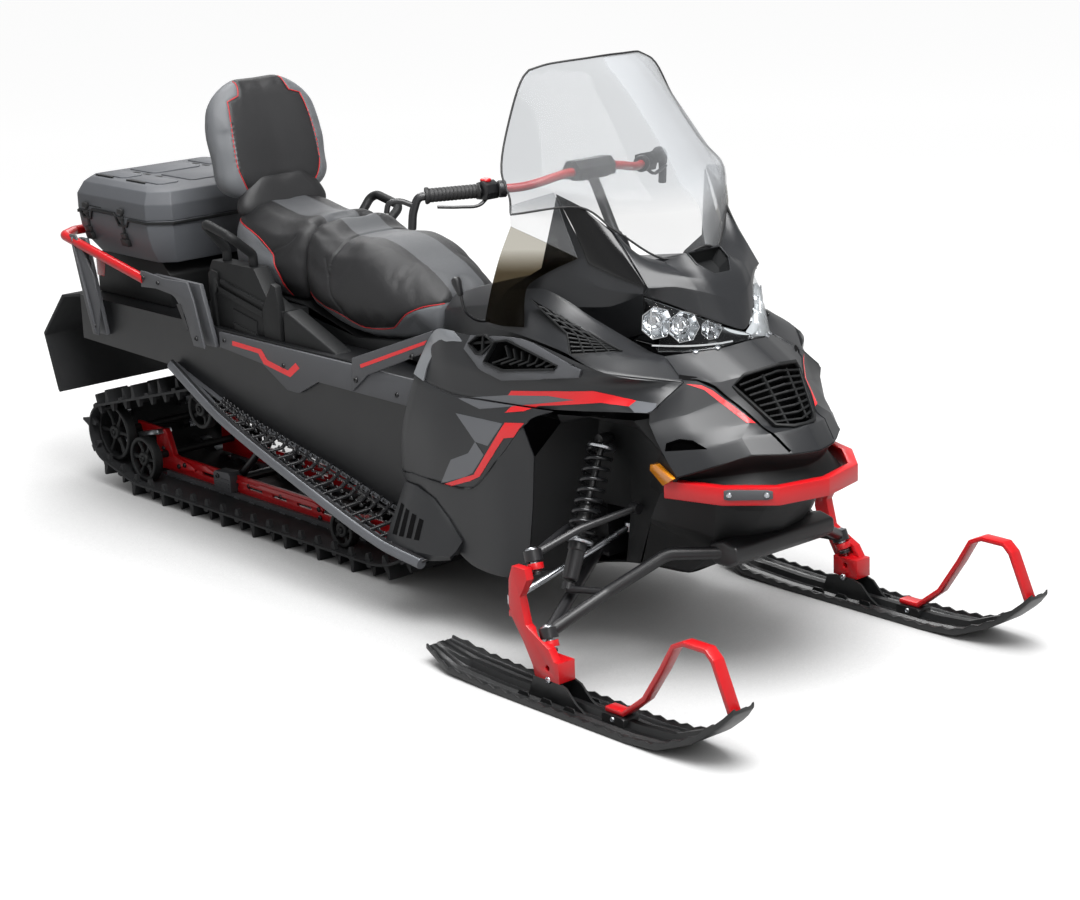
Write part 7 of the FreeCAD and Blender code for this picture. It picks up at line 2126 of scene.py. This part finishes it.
@dataclass
class Cargo:
    """The luggage box with its lid, the rear rail, its brackets and the tail."""

    rack_out: float = 305.0
    rear: float = -1411.0
    front: float = -927.0
    corner: float = 212.0

    def build(self, frame: dict) -> None:
        """Make the rear of the machine."""
        softened(frame, "cargo_box", BOX_PP, bevel=9.0, bevel_parts=4)
        softened(frame, "cargo_lid", BOX_PP, Body.LID, bevel=10.0, bevel_parts=4)
        softened(frame, "rear_rack", RED_COAT, bevel=0.4)
        softened(frame, "rack_brackets", GREY_PP, bevel=2.5)
        softened(frame, "tail_housing", MATTE_PP, bevel=5.0)
        softened(frame, "snow_flap", TRACK_RUBBER, bevel=1.0)
        self.latches()
        self.lid_top()
        self.brackets()
        self.lights()

    def wall(self, z: np.ndarray | float) -> np.ndarray | float:
        """Half width of the box and the lid at a height, without their rounding."""
        return np.interp(z, [752, 790, 830, 878, 925, 959, 972],
                         [236, 252, 263, 268, 268, 249, 228])

    def latches(self) -> None:
        """Make the seal that zigzags round the parting, and the rubber latches on it.

        Each part is a polygon in (x, z) whose y follows the box's sloping wall.
        """
        line = np.array([(-1352, 872), (-1334, 872), (-1322, 856), (-1286, 856), (-1272, 884),
                         (-1150, 884), (-1130, 852), (-1090, 852), (-1076, 872), (-986, 872)],
                        float)
        side = np.stack([line[:, 0], -self.wall(line[:, 1]) - 1, line[:, 1]], 1)
        side = np.vstack([(self.rear, -self.corner, 872), side, (self.front, -self.corner, 872)])
        ring = np.vstack([side, (side * MIRROR)[::-1]])
        add_solid("box_seal", MATTE_PP, sweep(ring, rectangle(9, 8), closed=True), bevel=1.0)
        parts = []
        for x in (-1304, -1110):
            for wide, low, high, out in ((10, 812, 900, 7), (24, 888, 902, 11), (17, 868, 880, 10),
                                         (24, 812, 830, 10), (34, 790, 812, 14)):
                foot, top = self.wall(low), self.wall(high)
                ring = np.array([(x - wide / 2, -foot, low), (x + wide / 2, -foot, low),
                                 (x + wide / 2, -top, high), (x - wide / 2, -top, high)])
                parts.append(prism(ring + (0, 3, 0), ring - (0, out, 0)))
        add_pair("box_latches", GRIP_RUBBER, *parts, bevel=1.5)

    def lid_top(self) -> None:
        """Mould the lid's raised pads, and the dark plates on its top and sides that paint the
        shade of its recesses.
        """
        pads = []
        for x0, x1, y0, y1 in ((-1350, -1205, -196, -120), (-1180, -1010, -196, -120),
                               (-1350, -1205, -88, 88), (-1180, -1000, -88, 88),
                               (-1350, -1205, 120, 196), (-1180, -1010, 120, 196)):
            middle = ((x0 + x1) / 2, (y0 + y1) / 2)
            pads.append(plate(rectangle(x1 - x0, y1 - y0, 14) + middle, 970, 976, "z"))
        # Dark plates on the top and a dark triangle on each side stand for the lid's recesses:
        # painted shade.
        recess_shades = [plate([(x0, -214), (x1, -214), (x1 - 12, -202), (x0 + 12, -202)], 968, 977.5, "z")
                 for x0, x1 in ((-1330, -1235), (-1160, -1060))]
        recess_shades += [plate([(x - 18, -110), (x + 18, -110), (x + 12, -98), (x - 12, -98)], 970,
                        973.5, "z") for x in (-1270, -1215, -1150)]
        hollow = np.array([(-1262, 950), (-1222, 892), (-1290, 892)], float)
        ring = np.stack([hollow[:, 0], -self.wall(hollow[:, 1]) - 0.8, hollow[:, 1]], 1)
        add_solid("lid_pads", BOX_PP, *pads, body=Body.LID, bevel=2.5)
        add_pair("lid_recess_shades", MATTE_PP, *recess_shades, prism(ring, ring + (0, 4, 0)), body=Body.LID,
                 bevel=1.2)

    def brackets(self) -> None:
        """Plate the rail's brackets: broad folded sheets with screws, and a thin black plate that
        paints the shade of a slot.
        """
        rear = [(-1352, 806), (-1318, 806), (-1236, 700), (-1212, 610), (-1232, 512),
                (-1262, 512), (-1296, 610)]
        front = [(-972, 742), (-940, 742), (-850, 734), (-730, 738), (-705, 690), (-664, 556),
                 (-718, 556), (-752, 640), (-800, 690), (-880, 700), (-972, 694)]
        out = self.rack_out
        fold = sweep(np.array([(-1335, -out - 4, 800), (-1262, -out - 10, 610),
                               (-1240, -out - 4, 516)]), rectangle(6, 10), (0, 1, 0))
        add_pair("bracket_plates", GREY_PP, plates((rear, front), -out - 4, -out + 3), fold,
                 bevel=2.0)
        heads = side_screws(-out - 4, ((-955, 724), (-880, 718), (-700, 580), (-1246, 540)), 7)
        # A thin black plate where the bracket has a slot: painted shade.
        slot = plate([(-790, 668), (-770, 672), (-738, 604), (-746, 596)], -out - 4.8, -out - 3)
        add_pair("bracket_screws", BLACK_COAT, heads, slot)

    def lights(self) -> None:
        """Make the tail lamps and the reflectors."""
        tail = [(-1382, 660), (-1382, 726), (-1352, 740), (-1330, 700), (-1340, 660)]
        add_pair("tail_lamps", RED_LENS, plate(tail, -206.5, -120), bevel=4)
        amber = [(-1352, 590), (-1300, 578), (-1300, 560), (-1340, 566)]
        add_pair("rear_reflectors", AMBER, plate(amber, -273.6, -272.3))


@dataclass(frozen=True)
class Softbox:
    """A square studio lamp that looks at one point."""

    name: str
    place: Point
    target: Point
    size: float
    power: float

    def build(self) -> None:
        """Hang the lamp."""
        lamp = bpy.data.lights.new(self.name, "AREA")
        lamp.shape = "SQUARE"
        lamp.size = self.size
        lamp.energy = self.power
        made = bpy.data.objects.new(self.name, lamp)
        made.location = self.place
        way = Vector(self.target) - Vector(self.place)
        made.rotation_euler = way.to_track_quat("-Z", "Y").to_euler()
        bpy.context.scene.collection.objects.link(made)


@dataclass
class Stage:
    """Pale floor, plain light and the camera at the photograph's angle."""

    eye: Point = (5.14587, -4.10596, 2.12147)
    azimuth: float = 49.0735
    elevation: float = 15.4348
    roll: float = -2.1547
    focal_share: float = 2493.6 / 1080
    sensor: float = 36.0
    sky: float = 0.22
    upper_sky: float = 0.34
    floor_half: float = 150.0
    lamps: tuple[Softbox, ...] = (
        Softbox("top_softbox", (2.4, -0.9, 4.7), (1.2, -0.2, 0.7), 3.2, 500.0),
        Softbox("rear_top_softbox", (-2.4, 0.6, 4.6), (-1.2, 0.0, 0.7), 1.6, 130.0),
        Softbox("key_softbox", (5.0, -2.4, 2.6), (0.6, 0.0, 0.6), 1.8, 45.0),
        Softbox("side_softbox", (-1.6, -5.2, 2.2), (-0.3, 0.0, 0.5), 2.2, 22.0),
        Softbox("rear_softbox", (-4.2, 3.6, 3.0), (0.0, 0.0, 0.8), 2.4, 45.0))

    def build(self) -> None:
        """Set up the camera, the lamps, the world and the floor."""
        self.camera()
        for lamp in self.lamps:
            lamp.build()
        self.world()
        self.floor()
        bpy.context.scene.view_settings.view_transform = "Standard"

    def camera(self) -> None:
        """Place the camera by its azimuth, elevation and roll."""
        a, e, r = (math.radians(v) for v in (self.azimuth, self.elevation, self.roll))
        back = Vector((math.sin(a) * math.cos(e), -math.cos(a) * math.cos(e), math.sin(e)))
        level = Vector((math.cos(a), math.sin(a), 0.0))
        up = back.cross(level)
        right = level * math.cos(r) + up * math.sin(r)
        top = up * math.cos(r) - level * math.sin(r)
        lens = bpy.data.cameras.new("camera")
        lens.sensor_width = self.sensor
        lens.lens = self.focal_share * self.sensor
        lens.clip_end = 500.0
        made = bpy.data.objects.new("camera", lens)
        turn = Matrix((right, top, back)).transposed().to_4x4()
        made.matrix_world = Matrix.Translation(self.eye) @ turn
        bpy.context.scene.collection.objects.link(made)
        bpy.context.scene.camera = made

    def world(self) -> None:
        """Soft light from everywhere, seen as white low down and greyer overhead."""
        sky = bpy.data.worlds.new("studio")
        bpy.context.scene.world = sky
        sky.use_nodes = True
        tree = sky.node_tree
        tree.nodes.clear()
        way = add_node(tree, "ShaderNodeTexCoord").outputs["Generated"]
        height = add_node(tree, "ShaderNodeSeparateXYZ", None, {"Vector": way}).outputs["Z"]
        shade = remap(tree, height, {"From Min": 0.2, "From Max": 0.6, "To Min": 1.0,
                                     "To Max": self.upper_sky})
        camera = add_node(tree, "ShaderNodeLightPath").outputs["Is Camera Ray"]
        level = add_node(tree, "ShaderNodeMapRange", {"To Min": self.sky},
                         {"Value": seen_rays(tree),
                          "To Max": combine(tree, "MAXIMUM", camera, shade)})
        light = add_node(tree, "ShaderNodeBackground", {"Color": WHITE},
                         {"Strength": level.outputs["Result"]})
        add_node(tree, "ShaderNodeOutputWorld", None, {"Surface": light.outputs["Background"]})

    def floor(self) -> None:
        """Lay a wide pale floor just under the track."""
        corners = np.insert(rectangle(2, 2), 2, 0.0, axis=1) * self.floor_half / MM
        made = new_object("studio_floor", Shape(corners, [(0, 1, 2, 3)]), recalculate=False)
        made.data.materials.append(FLOOR.build())


def windows() -> None:
    """Make the windscreen with its black edge, and the smoked side deflectors."""
    grid = eased_both(both_halves(np.asarray(SCREEN, float)), 6, 0.9, None, {2, 6})
    wing = eased(np.asarray(SCREEN_WING, float), 4)
    clear = join(outward(sheet_of(grid), 1000), outward(sheet_of(wing), 1000).with_mirror())
    Piece("windscreen_bubble", clear, SCREEN_PC, stands_for=("windscreen",), wall=3.0,
          smooth=50).build()
    edge = np.concatenate([grid[:, 0], grid[-1, 1:-1], grid[::-1, -1], grid[0, -2:0:-1]])
    trim = sweep(edge, circle(2.6, 8), closed=True)
    add_solid("windscreen_edge", GRIP_RUBBER, trim, smooth=NO_CREASE)
    smoked = outward(sheet_of(eased_both(np.asarray(DEFLECTOR, float), 6, 0.8)))
    Piece("deflector_pair", smoked.with_mirror(), SMOKE_PC, stands_for=("deflectors",), wall=3.5,
          smooth=50).build()


def main() -> None:
    logging.basicConfig(level=logging.INFO, format="%(message)s")
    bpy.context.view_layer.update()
    Stage().build()
    Bodywork().build()
    for part in (TrackDrive(), Chassis(), FrontEnd(), Rider(), Cargo()):
        part.build(frame)
    windows()


if __name__ == "__main__":
    main()
